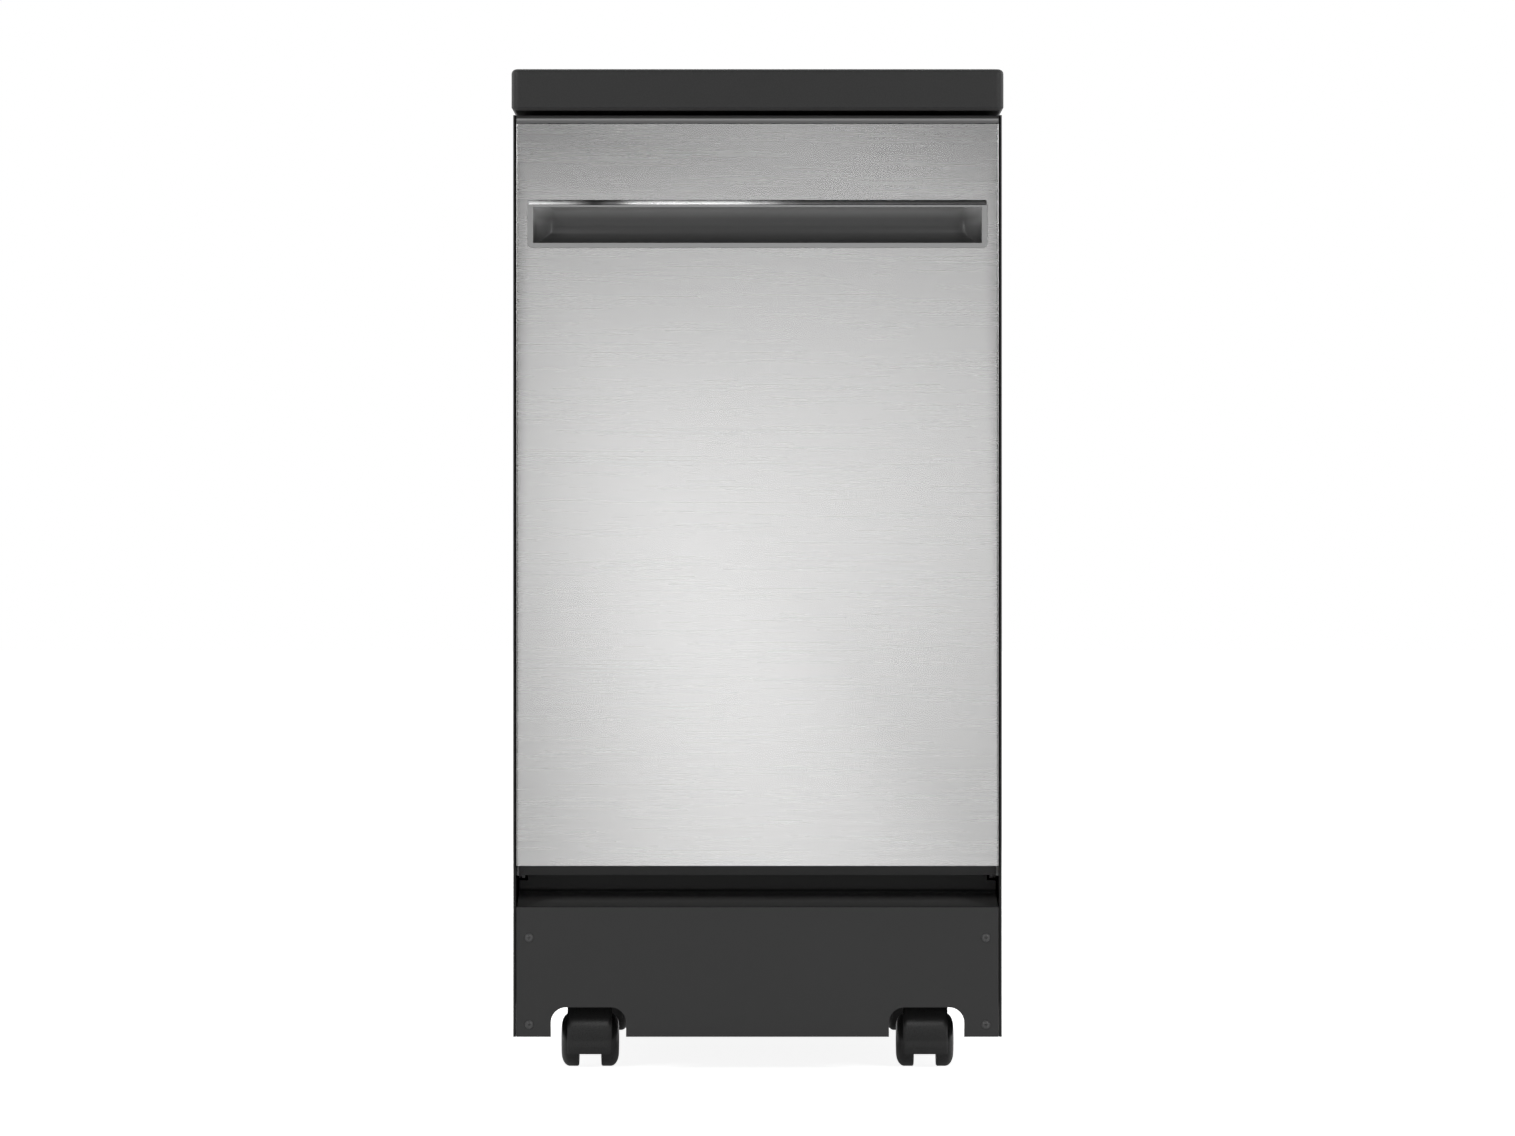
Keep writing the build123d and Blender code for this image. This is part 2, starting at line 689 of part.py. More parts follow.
# FITTINGS in the bay: threaded water inlet, drain barb and bare cord gland, each on a hexagon nut
BAY_WALL_Y = BODY_REAR_Y + SHEET - BAY_DEPTH
with BuildPart() as rear_fittings:
    with BuildSketch(facing(BAY_WALL_Y)):
        with Locations((INLET_X, BAY_Z), (DRAIN_X, BAY_Z), (GLAND_X, BAY_Z)):
            disc(FITTING_NUT_R, NUT_SIDES)
    extrude(amount=-FITTING_NUT)
    for fit_x, fit_r, fit_length in (
        (INLET_X, INLET_R, INLET_LENGTH),
        (DRAIN_X, DRAIN_R, DRAIN_LENGTH),
        (GLAND_X, GLAND_R, GLAND_LENGTH),
    ):
        with BuildSketch(facing(BAY_WALL_Y + FITTING_NUT)):
            with Locations((fit_x, BAY_Z)):
                Circle(fit_r)
        extrude(amount=-fit_length)
    for fit_x, bore_r, fit_length in (
        (INLET_X, INLET_BORE_R, INLET_LENGTH),
        (DRAIN_X, DRAIN_BORE_R, DRAIN_LENGTH),
        (GLAND_X, GLAND_BORE_R, GLAND_LENGTH),
    ):
        with BuildSketch(facing(BAY_WALL_Y + FITTING_NUT + fit_length)):
            with Locations((fit_x, BAY_Z)):
                Circle(bore_r)
        extrude(amount=fit_length, mode=Mode.SUBTRACT)
rear_fittings.part.label = "rear_fittings"
export_step(rear_fittings.part, "parts/rear_fittings.step")

# LOWER FRONT PANEL: folded sheet with two caster cut-outs and four screw holes
SCREW_POINTS = [
    (side * SCREW_X, height) for side in (-1, 1) for height in (SCREW_LOW_Z, SCREW_HIGH_Z)
]
with BuildPart() as lower_front_panel:
    with BuildSketch(facing(BODY_FRONT_Y + SHEET)):
        with Locations((0, BODY_BOTTOM_Z)):
            Rectangle(2 * KICK_HALF, KICK_TOP_Z - BODY_BOTTOM_Z, align=(Align.CENTER, Align.MIN))
        with Locations((-CASTER_X, BODY_BOTTOM_Z), (CASTER_X, BODY_BOTTOM_Z)):
            RectangleRounded(
                CUTOUT_WIDTH,
                2 * (CUTOUT_TOP_Z - BODY_BOTTOM_Z),
                CUTOUT_R,
                mode=Mode.SUBTRACT,
            )
        with Locations(*SCREW_POINTS):
            Circle(SCREW_HOLE_R, mode=Mode.SUBTRACT)
    extrude(amount=SHEET)
    with BuildSketch(side_section(0)):
        with Locations((BODY_FRONT_Y, KICK_TOP_Z)):
            Rectangle(KICK_RETURN, SHEET, align=(Align.MIN, Align.MAX))
    extrude(amount=KICK_HALF, both=True)
    fillet(
        lower_front_panel.edges()
        .filter_by(Axis.X)
        .filter_by(lambda e: e.length > KICK_HALF)
        .group_by(Axis.Y)[0]
        .sort_by(Axis.Z)[-1],
        SHEET - PIN_CLEARANCE,
    )
lower_front_panel.part.label = "lower_front_panel"
export_step(lower_front_panel.part, "parts/lower_front_panel.step")

# PANEL SCREWS: low heads with bevelled rims on plain shanks
with BuildPart() as panel_screws:
    with BuildSketch(facing(BODY_FRONT_Y)):
        with Locations(*SCREW_POINTS):
            disc(SCREW_HEAD_R, SCREW_SIDES)
    extrude(amount=SCREW_HEAD_THICK)
    chamfer(panel_screws.faces().group_by(Axis.Y)[0].edges(), SCREW_HEAD_BEVEL)
    with BuildSketch(facing(BODY_FRONT_Y)):
        with Locations(*SCREW_POINTS):
            disc(SCREW_R, ROD_SIDES)
    extrude(amount=-SCREW_LENGTH)
panel_screws.part.label = "panel_screws"
export_step(panel_screws.part, "parts/panel_screws.step")

# TOE RECESS: ledge that rises to the rear from the lower panel's fold, then an upright back wall
TOE_BACK_Y = BODY_FRONT_Y + TOE_DEPTH
TOE_FRONT_Y = BODY_FRONT_Y + KICK_RETURN + SHEET_GAP
with BuildPart() as toe_recess_panel:
    with BuildSketch(side_section(0)):
        with BuildLine():
            Polyline(
                (TOE_FRONT_Y, KICK_TOP_Z),
                (TOE_BACK_Y, KICK_TOP_Z + TOE_RISE),
                (TOE_BACK_Y, TOE_TOP_Z),
                (TOE_BACK_Y + TOE_SHEET, TOE_TOP_Z),
                (TOE_BACK_Y + TOE_SHEET, KICK_TOP_Z + TOE_RISE - TOE_SHEET),
                (TOE_FRONT_Y, KICK_TOP_Z - TOE_SHEET),
                close=True,
            )
        make_face()
    extrude(amount=KICK_HALF, both=True)
    fillet(
        toe_recess_panel.edges()
        .filter_by(Axis.X)
        .filter_by_position(Axis.Y, TOE_BACK_Y - SHEET_GAP, TOE_BACK_Y + SHEET_GAP)
        .sort_by(Axis.Z)[0],
        TOE_BEND_R,
    )
    with BuildSketch(facing(TOE_BACK_Y + 2 * TOE_SHEET)):
        for side in (-1, 1):
            with Locations((side * (INNER_HALF + TOE_NOTCH_WIDTH / 2), TOE_TOP_Z)):
                Rectangle(
                    TOE_NOTCH_WIDTH,
                    TOE_NOTCH_DROP,
                    align=(Align.CENTER, Align.MAX),
                )
    extrude(amount=3 * TOE_SHEET, mode=Mode.SUBTRACT)
toe_recess_panel.part.label = "toe_recess_panel"
export_step(toe_recess_panel.part, "parts/toe_recess_panel.step")

# BASE: moulded tray with an upright box for the sump and pumps, and four caster sockets
BASE_WALL_HALF = BASE_HALF - BASE_WALL_INSET
BASE_WALL_DEPTH = 2 * (BODY_REAR_Y - BASE_WALL_END_INSET)
BASE_BOX_TOP_Z = PAN_Z - TUB_SHEET - BASE_TOP_GAP
SOCKETS = [(sx * CASTER_X, sy * CASTER_Y) for sx in (-1, 1) for sy in (-1, 1)]
with BuildPart() as base_pan:
    with BuildSketch(Plane.XY.offset(BASE_FLOOR_Z)):
        Rectangle(2 * BASE_HALF, 2 * (-BODY_FRONT_Y - SHEET - BASE_FRONT_GAP))
        with Locations((0, BODY_REAR_Y)):
            Rectangle(
                BAY_WIDTH + 2 * (BAY_WALL + BAY_BASE_GAP),
                2 * (BAY_DEPTH + BAY_WALL + BAY_BASE_GAP),
                mode=Mode.SUBTRACT,
            )
    extrude(amount=BASE_FLOOR_THICK)
    with BuildSketch(Plane.XY.offset(BASE_FLOOR_Z)):
        plate(2 * BASE_WALL_HALF, BASE_WALL_DEPTH, BASE_WALL_CORNER)
        offset(amount=-BASE_WALL, mode=Mode.SUBTRACT)
    extrude(amount=BASE_BOX_TOP_Z - BASE_FLOOR_Z)
    with BuildSketch(Plane.XY.offset(BASE_FLOOR_Z)):
        with Locations(*SOCKETS):
            disc(SOCKET_R, SOCKET_SIDES)
    extrude(amount=SOCKET_HEIGHT)
    with BuildSketch(Plane.XY.offset(BASE_FLOOR_Z)):
        with Locations(*SOCKETS):
            Circle(STEM_R + STEM_CLEARANCE)
    extrude(amount=SOCKET_HEIGHT - BASE_WALL, mode=Mode.SUBTRACT)
base_pan.part.label = "base_pan"
export_step(base_pan.part, "parts/base_pan.step")

# CASTERS: hooded twin-wheel swivel casters, the wheels trailing behind the stem
WHEEL_HALF = WHEEL_SPAN / 2
HOOD_INNER_R = WHEEL_R + HOOD_TREAD_GAP
HOOD_OUTER_R = HOOD_INNER_R + HOOD_WALL
WEB_HALF = WHEEL_INNER_GAP / 2 - HOOD_WEB_GAP

with BuildPart() as wheel_pair:
    with BuildSketch(side_section(0)):
        Circle(WHEEL_AXLE_R)
    extrude(amount=WHEEL_INNER_GAP / 2)
    with BuildSketch(side_section(WHEEL_INNER_GAP / 2)):
        disc(WHEEL_R, WHEEL_SIDES)
    extrude(amount=WHEEL_TREAD + WHEEL_SHOULDER)
    chamfer(wheel_pair.faces().sort_by(Axis.X)[-1].edges(), WHEEL_SHOULDER)
    with BuildPart(mode=Mode.PRIVATE) as wheel_face:
        with BuildSketch(side_section(WHEEL_INNER_GAP / 2 + WHEEL_TREAD)):
            disc(WHEEL_R - WHEEL_SHOULDER / cos(pi / WHEEL_SIDES), WHEEL_SIDES)
        extrude(amount=WHEEL_HALF - WHEEL_INNER_GAP / 2 - WHEEL_TREAD)
        outer_face = wheel_face.faces().sort_by(Axis.X)[-1]
        chamfer(outer_face.edges(), WHEEL_FACE_WIDTH, WHEEL_FACE_FALL, reference=outer_face)
    add(wheel_face.part)
    mirror(about=Plane.YZ)

# The hood is a band over both treads, low in front and behind, with a web between the wheels
with BuildPart() as caster_hood:
    with BuildSketch(side_section(0)):
        disc(HOOD_OUTER_R, WHEEL_SIDES)
        with Locations((0, -HOOD_OUTER_R * sin(radians(HOOD_LOW_ANGLE)))):
            Rectangle(
                4 * HOOD_OUTER_R,
                2 * HOOD_OUTER_R,
                align=(Align.CENTER, Align.MAX),
                mode=Mode.SUBTRACT,
            )
    extrude(amount=HOOD_WIDTH / 2, both=True)
    chamfer(
        caster_hood.faces().sort_by(Axis.X)[0].edges()
        + caster_hood.faces().sort_by(Axis.X)[-1].edges(),
        HOOD_BEVEL,
    )
    with BuildSketch(Plane.XY):
        with Locations((0, -CASTER_TRAIL)):
            disc(HOOD_COLLAR_R, SOCKET_SIDES)
    extrude(amount=HOOD_TOP_Z - WHEEL_R)
    with BuildSketch(side_section(0)):
        disc(HOOD_INNER_R, WHEEL_SIDES)
    extrude(amount=HOOD_WIDTH, both=True, mode=Mode.SUBTRACT)
    with BuildSketch(side_section(0)):
        disc(HOOD_INNER_R + HOOD_WALL / 2, WHEEL_SIDES)
        Circle(WHEEL_AXLE_R + WHEEL_AXLE_CLEARANCE, mode=Mode.SUBTRACT)
        with Locations((0, HOOD_WEB_LOW_Z - WHEEL_R)):
            Rectangle(
                4 * HOOD_OUTER_R,
                2 * HOOD_OUTER_R,
                align=(Align.CENTER, Align.MAX),
                mode=Mode.SUBTRACT,
            )
    extrude(amount=WEB_HALF, both=True)
    with BuildSketch(Plane.XY.offset(HOOD_TOP_Z - WHEEL_R)):
        with Locations((0, -CASTER_TRAIL)):
            Circle(STEM_R)
    extrude(amount=STEM_LENGTH)

CASTER_NAMES = {(-1, -1): "fl", (1, -1): "fr", (-1, 1): "rl", (1, 1): "rr"}
for (side_x, side_y), corner in CASTER_NAMES.items():
    wheel_centre = (side_x * CASTER_X, side_y * CASTER_Y + CASTER_TRAIL, WHEEL_R)
    for kind, source in (("hood", caster_hood), ("wheels", wheel_pair)):
        with BuildPart() as caster_piece:
            with Locations(wheel_centre):
                add(source.part)
        caster_piece.part.label = f"caster_{kind}_{corner}"
        export_step(caster_piece.part, f"parts/caster_{kind}_{corner}.step")

# TUB WRAP: sides and ceiling in one bent sheet, with a flange round the mouth
with BuildPart() as tub_wrap:
    with BuildSketch(facing(TUB_FRONT_Y)):
        with Locations((0, TRACK_Z)):
            Rectangle(
                2 * (TUB_HALF + TUB_SHEET),
                TUB_CEILING_Z + TUB_SHEET - TRACK_Z,
                align=(Align.CENTER, Align.MIN),
            )
    extrude(amount=-TUB_DEPTH)
    fillet(
        tub_wrap.edges().filter_by(Axis.Y).group_by(Axis.Z)[-1],
        TUB_CORNER_R + TUB_SHEET,
    )
    with BuildSketch(facing(TUB_FRONT_Y)):
        with Locations((0, TRACK_Z)):
            Rectangle(
                2 * FLANGE_HALF,
                TUB_CEILING_Z + TUB_SHEET + TUB_FLANGE - TRACK_Z,
                align=(Align.CENTER, Align.MIN),
            )
    extrude(amount=-TUB_SHEET)
    with BuildSketch(facing(TUB_FRONT_Y)) as tub_bore:
        with BuildLine():
            Polyline(
                (-TUB_HALF, TUB_CEILING_Z - TUB_CORNER_R),
                (-TUB_HALF, TRACK_Z),
                (TUB_HALF, TRACK_Z),
                (TUB_HALF, TUB_CEILING_Z - TUB_CORNER_R),
            )
            RadiusArc(
                (TUB_HALF, TUB_CEILING_Z - TUB_CORNER_R),
                (TUB_HALF - TUB_CORNER_R, TUB_CEILING_Z),
                -TUB_CORNER_R,
            )
            Line((TUB_HALF - TUB_CORNER_R, TUB_CEILING_Z), (TUB_CORNER_R - TUB_HALF, TUB_CEILING_Z))
            RadiusArc(
                (TUB_CORNER_R - TUB_HALF, TUB_CEILING_Z),
                (-TUB_HALF, TUB_CEILING_Z - TUB_CORNER_R),
                -TUB_CORNER_R,
            )
        make_face()
    extrude(amount=-TUB_DEPTH, mode=Mode.SUBTRACT)
tub_wrap.part.label = "tub_wrap"
export_step(tub_wrap.part, "parts/tub_wrap.step")

# TUB BACK: flat sheet with two pressed swages, closing the wrap from behind
with BuildPart() as tub_back:
    with BuildSketch(facing(TUB_REAR_Y)):
        with Locations((0, PAN_Z - TUB_SHEET)):
            Rectangle(
                2 * (TUB_HALF + TUB_SHEET),
                TUB_CEILING_Z + 2 * TUB_SHEET - PAN_Z,
                align=(Align.CENTER, Align.MIN),
            )
    extrude(amount=-TUB_SHEET)
    fillet(
        tub_back.edges().filter_by(Axis.Y).group_by(Axis.Z)[-1],
        TUB_CORNER_R + TUB_SHEET,
    )
    for swage_z in spread(PAN_Z, TUB_CEILING_Z, 4)[1:3]:
        with BuildSketch(facing(TUB_REAR_Y + TUB_SHEET)):
            with Locations((0, swage_z)):
                plate(2 * (TUB_HALF - SWAGE_END_INSET), SWAGE_HEIGHT, SWAGE_CORNER)
        extrude(amount=-SWAGE_DEPTH, taper=EMBOSS_TAPER_ANGLE)
        with BuildSketch(facing(TUB_REAR_Y)):
            with Locations((0, swage_z)):
                plate(
                    2 * (TUB_HALF - SWAGE_END_INSET) - TUB_SHEET,
                    SWAGE_HEIGHT - TUB_SHEET,
                    SWAGE_CORNER,
                )
        extrude(amount=-SWAGE_DEPTH, taper=EMBOSS_TAPER_ANGLE, mode=Mode.SUBTRACT)
tub_back.part.label = "tub_back"
export_step(tub_back.part, "parts/tub_back.step")

# TUB FLOOR: roller tracks along both sides, a lower pan between them, a front sill and the sump bore
with BuildPart() as tub_floor:
    with BuildSketch(facing(TUB_FRONT_Y)):
        with BuildLine():
            Polyline(
                (-TUB_HALF - TUB_SHEET, TRACK_Z),
                (-TRACK_INNER, TRACK_Z),
                (-TRACK_INNER, PAN_Z),
                (TRACK_INNER, PAN_Z),
                (TRACK_INNER, TRACK_Z),
                (TUB_HALF + TUB_SHEET, TRACK_Z),
                (TUB_HALF + TUB_SHEET, TRACK_Z - TUB_SHEET),
                (TRACK_INNER + TUB_SHEET, TRACK_Z - TUB_SHEET),
                (TRACK_INNER + TUB_SHEET, PAN_Z - TUB_SHEET),
                (-TRACK_INNER - TUB_SHEET, PAN_Z - TUB_SHEET),
                (-TRACK_INNER - TUB_SHEET, TRACK_Z - TUB_SHEET),
                (-TUB_HALF - TUB_SHEET, TRACK_Z - TUB_SHEET),
                close=True,
            )
        make_face()
    extrude(amount=-TUB_DEPTH)
    fillet(
        tub_floor.edges()
        .filter_by(Axis.Y)
        .filter_by(lambda e: abs(abs(e.center().X) - TRACK_INNER) < PIN_CLEARANCE)
        .group_by(Axis.Z)[0],
        PAN_BEND_R,
    )
    with BuildSketch(facing(TUB_FRONT_Y)):
        with Locations((0, TRACK_Z - TUB_SHEET)):
            Rectangle(
                2 * (TRACK_INNER + TUB_SHEET),
                TRACK_Z - TUB_SHEET - PAN_Z + SILL_DROP,
                align=(Align.CENTER, Align.MAX),
            )
    extrude(amount=-TUB_SHEET)
    with BuildSketch(Plane.XY.offset(PAN_Z - TUB_SHEET)):
        with Locations((0, TUB_CENTRE_Y)):
            Circle(SUMP_BORE_R)
        with Locations((FLOAT_X, FLOAT_Y)):
            Circle(FLOAT_STEM_R + FLOAT_CLEARANCE)
    extrude(amount=TUB_SHEET, mode=Mode.SUBTRACT)
    with BuildSketch(Plane.XY.offset(PAN_Z - TUB_SHEET)):
        with Locations((FLOAT_X, FLOAT_Y)):
            Circle(FLOAT_GUIDE_R)
            Circle(FLOAT_STEM_R + FLOAT_CLEARANCE, mode=Mode.SUBTRACT)
    extrude(amount=-FLOAT_GUIDE_LENGTH)
tub_floor.part.label = "tub_floor"
export_step(tub_floor.part, "parts/tub_floor.step")

# DOOR GASKET: rubber frame along the sides and top of the mouth, on the flange
SEAL_INNER = TUB_HALF + SEAL_INSET
SEAL_TOP_Z = TUB_CEILING_Z + SEAL_INSET
with BuildPart() as door_gasket:
    with BuildSketch(facing(TUB_FRONT_Y)):
        with Locations((0, TRACK_Z)):
            Rectangle(
                2 * (SEAL_INNER + SEAL_WIDTH),
                SEAL_TOP_Z + SEAL_WIDTH - TRACK_Z,
                align=(Align.CENTER, Align.MIN),
            )
            Rectangle(
                2 * SEAL_INNER,
                SEAL_TOP_Z - TRACK_Z,
                align=(Align.CENTER, Align.MIN),
                mode=Mode.SUBTRACT,
            )
    extrude(amount=TUB_FRONT_Y - INNER_FACE_Y - SEAL_GAP)
    fillet(
        door_gasket.faces().sort_by(Axis.Y)[0].edges().filter_by(Axis.X).sort_by(Axis.Z)[-1],
        SEAL_EDGE_R,
    )
    fillet(
        door_gasket.edges()
        .filter_by(Axis.Z)
        .group_by(Axis.Y)[0]
        .filter_by(lambda e: abs(e.center().X) > SEAL_INNER + SEAL_WIDTH / 2),
        SEAL_EDGE_R,
    )
door_gasket.part.label = "door_gasket"
export_step(door_gasket.part, "parts/door_gasket.step")

# SUMP: bowl with a sloped lower wall under the tub floor, with the lower arm's feed post inside
SUMP_RIM_Z = PAN_Z - TUB_SHEET
with BuildPart() as sump_hollow:
    with BuildSketch(Plane.XY.offset(SUMP_FLOOR_Z + SUMP_WALL)):
        with Locations((0, TUB_CENTRE_Y)):
            disc(SUMP_BORE_R - SUMP_WALL, BOWL_SIDES)
    extrude(amount=SUMP_RIM_Z - SUMP_FLOOR_Z)
    chamfer(sump_hollow.faces().sort_by(Axis.Z)[0].edges(), SUMP_SLOPE)
with BuildPart() as sump:
    with BuildSketch(Plane.XY.offset(SUMP_FLOOR_Z)):
        with Locations((0, TUB_CENTRE_Y)):
            disc(SUMP_BORE_R, BOWL_SIDES)
    extrude(amount=SUMP_RIM_Z - SUMP_FLOOR_Z)
    chamfer(sump.faces().sort_by(Axis.Z)[0].edges(), SUMP_SLOPE)
    with BuildSketch(Plane.XY.offset(SUMP_RIM_Z)):
        with Locations((0, TUB_CENTRE_Y)):
            disc(SUMP_BORE_R + SUMP_LIP, BOWL_SIDES)
    extrude(amount=-SUMP_WALL)
    add(sump_hollow.part, mode=Mode.SUBTRACT)
    with BuildSketch(Plane.XY.offset(SUMP_FLOOR_Z)):
        with Locations((0, TUB_CENTRE_Y)):
            Circle(POST_R)
    extrude(amount=POST_TOP_Z - SUMP_FLOOR_Z)
    with BuildSketch(Plane.XY.offset(SUMP_FLOOR_Z)):
        with Locations((0, TUB_CENTRE_Y)):
            disc(POST_BORE_R, TUBE_SIDES)
    extrude(amount=POST_TOP_Z - SUMP_FLOOR_Z, mode=Mode.SUBTRACT)
sump.part.label = "sump"
export_step(sump.part, "parts/sump.step")

# FILTER PLATE: steel disc over the sump with a ring of slots and the cup's opening
CUP_CENTRE = (CUP_OFFSET_X, TUB_CENTRE_Y + CUP_OFFSET_Y)
with BuildPart() as filter_plate:
    with BuildSketch(Plane.XY.offset(PAN_Z)):
        with Locations((0, TUB_CENTRE_Y)):
            disc(FILTER_R, BOWL_SIDES)
            Circle(POST_R + FILTER_POST_GAP, mode=Mode.SUBTRACT)
            with PolarLocations(SLOT_RING_R, SLOT_COUNT):
                Rectangle(SLOT_LENGTH, SLOT_WIDTH, mode=Mode.SUBTRACT)
        with Locations(CUP_CENTRE):
            Circle(CUP_R + CUP_GAP, mode=Mode.SUBTRACT)
    extrude(amount=FILTER_THICK)
filter_plate.part.label = "filter_plate"
export_step(filter_plate.part, "parts/filter_plate.step")

# FILTER CUP: windowed cup with a rim that rests on the plate and a finger grip, turned to unlock
CUP_RIM_Z = PAN_Z + FILTER_THICK + LID_GAP
with BuildPart() as filter_cup:
    with BuildSketch(Plane.XY.offset(CUP_RIM_Z)):
        with Locations(CUP_CENTRE):
            disc(CUP_R, CUP_SIDES)
    extrude(amount=-CUP_DEPTH)
    with BuildSketch(Plane.XY.offset(CUP_RIM_Z)):
        with Locations(CUP_CENTRE):
            Circle(CUP_R + CUP_RIM)
    extrude(amount=CUP_RIM)
    with BuildSketch(Plane.XY.offset(CUP_RIM_Z + CUP_RIM)):
        with Locations(CUP_CENTRE):
            disc(CUP_R - CUP_WALL, CUP_SIDES)
    extrude(amount=-CUP_DEPTH - CUP_RIM + CUP_WALL, mode=Mode.SUBTRACT)
    with BuildSketch(side_section(CUP_CENTRE[0])):
        with Locations((CUP_CENTRE[1], CUP_RIM_Z - CUP_DEPTH / 2)):
            Rectangle(CUP_WINDOW_WIDTH, CUP_WINDOW_HEIGHT)
    extrude(amount=CUP_R + CUP_RIM, both=True, mode=Mode.SUBTRACT)
    with BuildSketch(Plane.XY.offset(CUP_RIM_Z)):
        with Locations(CUP_CENTRE):
            Rectangle(2 * CUP_R, CUP_GRIP_WIDTH)
    extrude(amount=CUP_GRIP_HEIGHT)
    chamfer(filter_cup.faces().sort_by(Axis.Z)[-1].edges(), CUP_GRIP_WIDTH / 4)
filter_cup.part.label = "filter_cup"
export_step(filter_cup.part, "parts/filter_cup.step")


def spray_arm(reach, hub_z):
    """A two-bladed arm about Z: tapered blades swept like a shallow S, with a row of jets on top."""
    tip_y = ARM_SWEEP / 2
    blade = (
        (0, -ARM_ROOT_HALF),
        (reach - ARM_TIP_BEVEL, tip_y - ARM_TIP_HALF),
        (reach, tip_y - ARM_TIP_HALF + ARM_TIP_BEVEL),
        (reach, tip_y + ARM_TIP_HALF - ARM_TIP_BEVEL),
        (reach - ARM_TIP_BEVEL, tip_y + ARM_TIP_HALF),
        (reach / 2, ARM_ROOT_HALF + tip_y / 2),
        (0, ARM_ROOT_HALF),
    )
    jets = [
        (along, along * tip_y / reach)
        for along in spread(2 * ARM_HUB_R, reach - 2 * ARM_TIP_HALF - JET_END_GAP, JET_COUNT)
    ]
    with BuildPart() as arm:
        with BuildSketch(Plane.XY.offset(hub_z)):
            with Locations((0, TUB_CENTRE_Y)):
                disc(ARM_HUB_R, HUB_SIDES)
                for turn in (1, -1):
                    Polygon(*[(turn * x, turn * y) for x, y in blade], align=None)
        extrude(amount=ARM_THICK)
        with BuildSketch(Plane.XY.offset(hub_z + ARM_THICK)):
            with Locations((0, TUB_CENTRE_Y)):
                for turn in (1, -1):
                    with Locations(*[(turn * x, turn * y) for x, y in jets]):
                        Rectangle(JET_LENGTH, JET_WIDTH)
        extrude(amount=-JET_DEPTH, mode=Mode.SUBTRACT)
    return arm.part


# LOWER SPRAY ARM: a blind hub that sits over the feed post
LOWER_HUB_TOP_Z = POST_TOP_Z + SEAL_GAP + ARM_CAP
with BuildPart() as lower_spray_arm:
    add(spray_arm(LOWER_ARM_R, LOWER_ARM_Z))
    with BuildSketch(Plane.XY.offset(LOWER_ARM_Z)):
        with Locations((0, TUB_CENTRE_Y)):
            disc(ARM_HUB_R - ARM_EDGE, HUB_SIDES)
    extrude(amount=LOWER_HUB_TOP_Z - LOWER_ARM_Z)
    chamfer(lower_spray_arm.faces().sort_by(Axis.Z)[-1].edges(), ARM_EDGE / 2)
    with BuildSketch(Plane.XY.offset(LOWER_ARM_Z)):
        with Locations((0, TUB_CENTRE_Y)):
            Circle(POST_R + ARM_BORE_CLEARANCE)
    extrude(amount=POST_TOP_Z + SEAL_GAP - LOWER_ARM_Z, mode=Mode.SUBTRACT)
lower_spray_arm.part.label = "lower_spray_arm"
export_step(lower_spray_arm.part, "parts/lower_spray_arm.step")

# UPPER FEED TUBE: runs forward under the upper rack and carries the upper arm on a post and nut
FEED_Z = UPPER_FLOOR_Z - GRID_ROD_R - FEED_R - LID_GAP
PORT_FACE_Y = TUB_REAR_Y - DUCT_WALL_GAP - DUCT_THICK - DUCT_PORT_LENGTH
FEED_REAR_Y = PORT_FACE_Y - FEED_END_GAP
UPPER_ARM_TOP_Z = FEED_Z - FEED_R - LID_GAP
UPPER_ARM_Z = UPPER_ARM_TOP_Z - ARM_THICK
FEED_POST_LOW_Z = UPPER_ARM_Z - LID_GAP
with BuildPart() as upper_feed_tube:
    with BuildSketch(facing(FEED_REAR_Y)):
        with Locations((0, FEED_Z)):
            disc(FEED_R, TUBE_SIDES)
    extrude(amount=FEED_REAR_Y - TUB_CENTRE_Y + FEED_R)
    chamfer(upper_feed_tube.faces().sort_by(Axis.Y)[0].edges(), FEED_R / 2)
    with BuildSketch(facing(FEED_REAR_Y)):
        with Locations((0, FEED_Z)):
            disc(FEED_R - FEED_WALL, TUBE_SIDES)
    extrude(amount=FEED_REAR_Y - TUB_CENTRE_Y, mode=Mode.SUBTRACT)
    with BuildSketch(Plane.XY.offset(FEED_POST_LOW_Z)):
        with Locations((0, TUB_CENTRE_Y)):
            Circle(FEED_POST_R)
    extrude(amount=FEED_Z - FEED_POST_LOW_Z)
    with BuildSketch(Plane.XY.offset(FEED_POST_LOW_Z)):
        with Locations((0, TUB_CENTRE_Y)):
            disc(FEED_NUT_R, TUBE_SIDES)
    extrude(amount=-FEED_NUT_THICK)
    chamfer(upper_feed_tube.faces().sort_by(Axis.Z)[0].edges(), FEED_NUT_BEVEL)
upper_feed_tube.part.label = "upper_feed_tube"
export_step(upper_feed_tube.part, "parts/upper_feed_tube.step")

# UPPER SPRAY ARM: hangs on the feed tube's post above the nut
with BuildPart() as upper_spray_arm:
    add(spray_arm(UPPER_ARM_R, UPPER_ARM_Z))
    with BuildSketch(Plane.XY.offset(UPPER_ARM_Z)):
        with Locations((0, TUB_CENTRE_Y)):
            Circle(FEED_POST_R + ARM_BORE_CLEARANCE)
    extrude(amount=ARM_THICK, mode=Mode.SUBTRACT)
upper_spray_arm.part.label = "upper_spray_arm"
export_step(upper_spray_arm.part, "parts/upper_spray_arm.step")

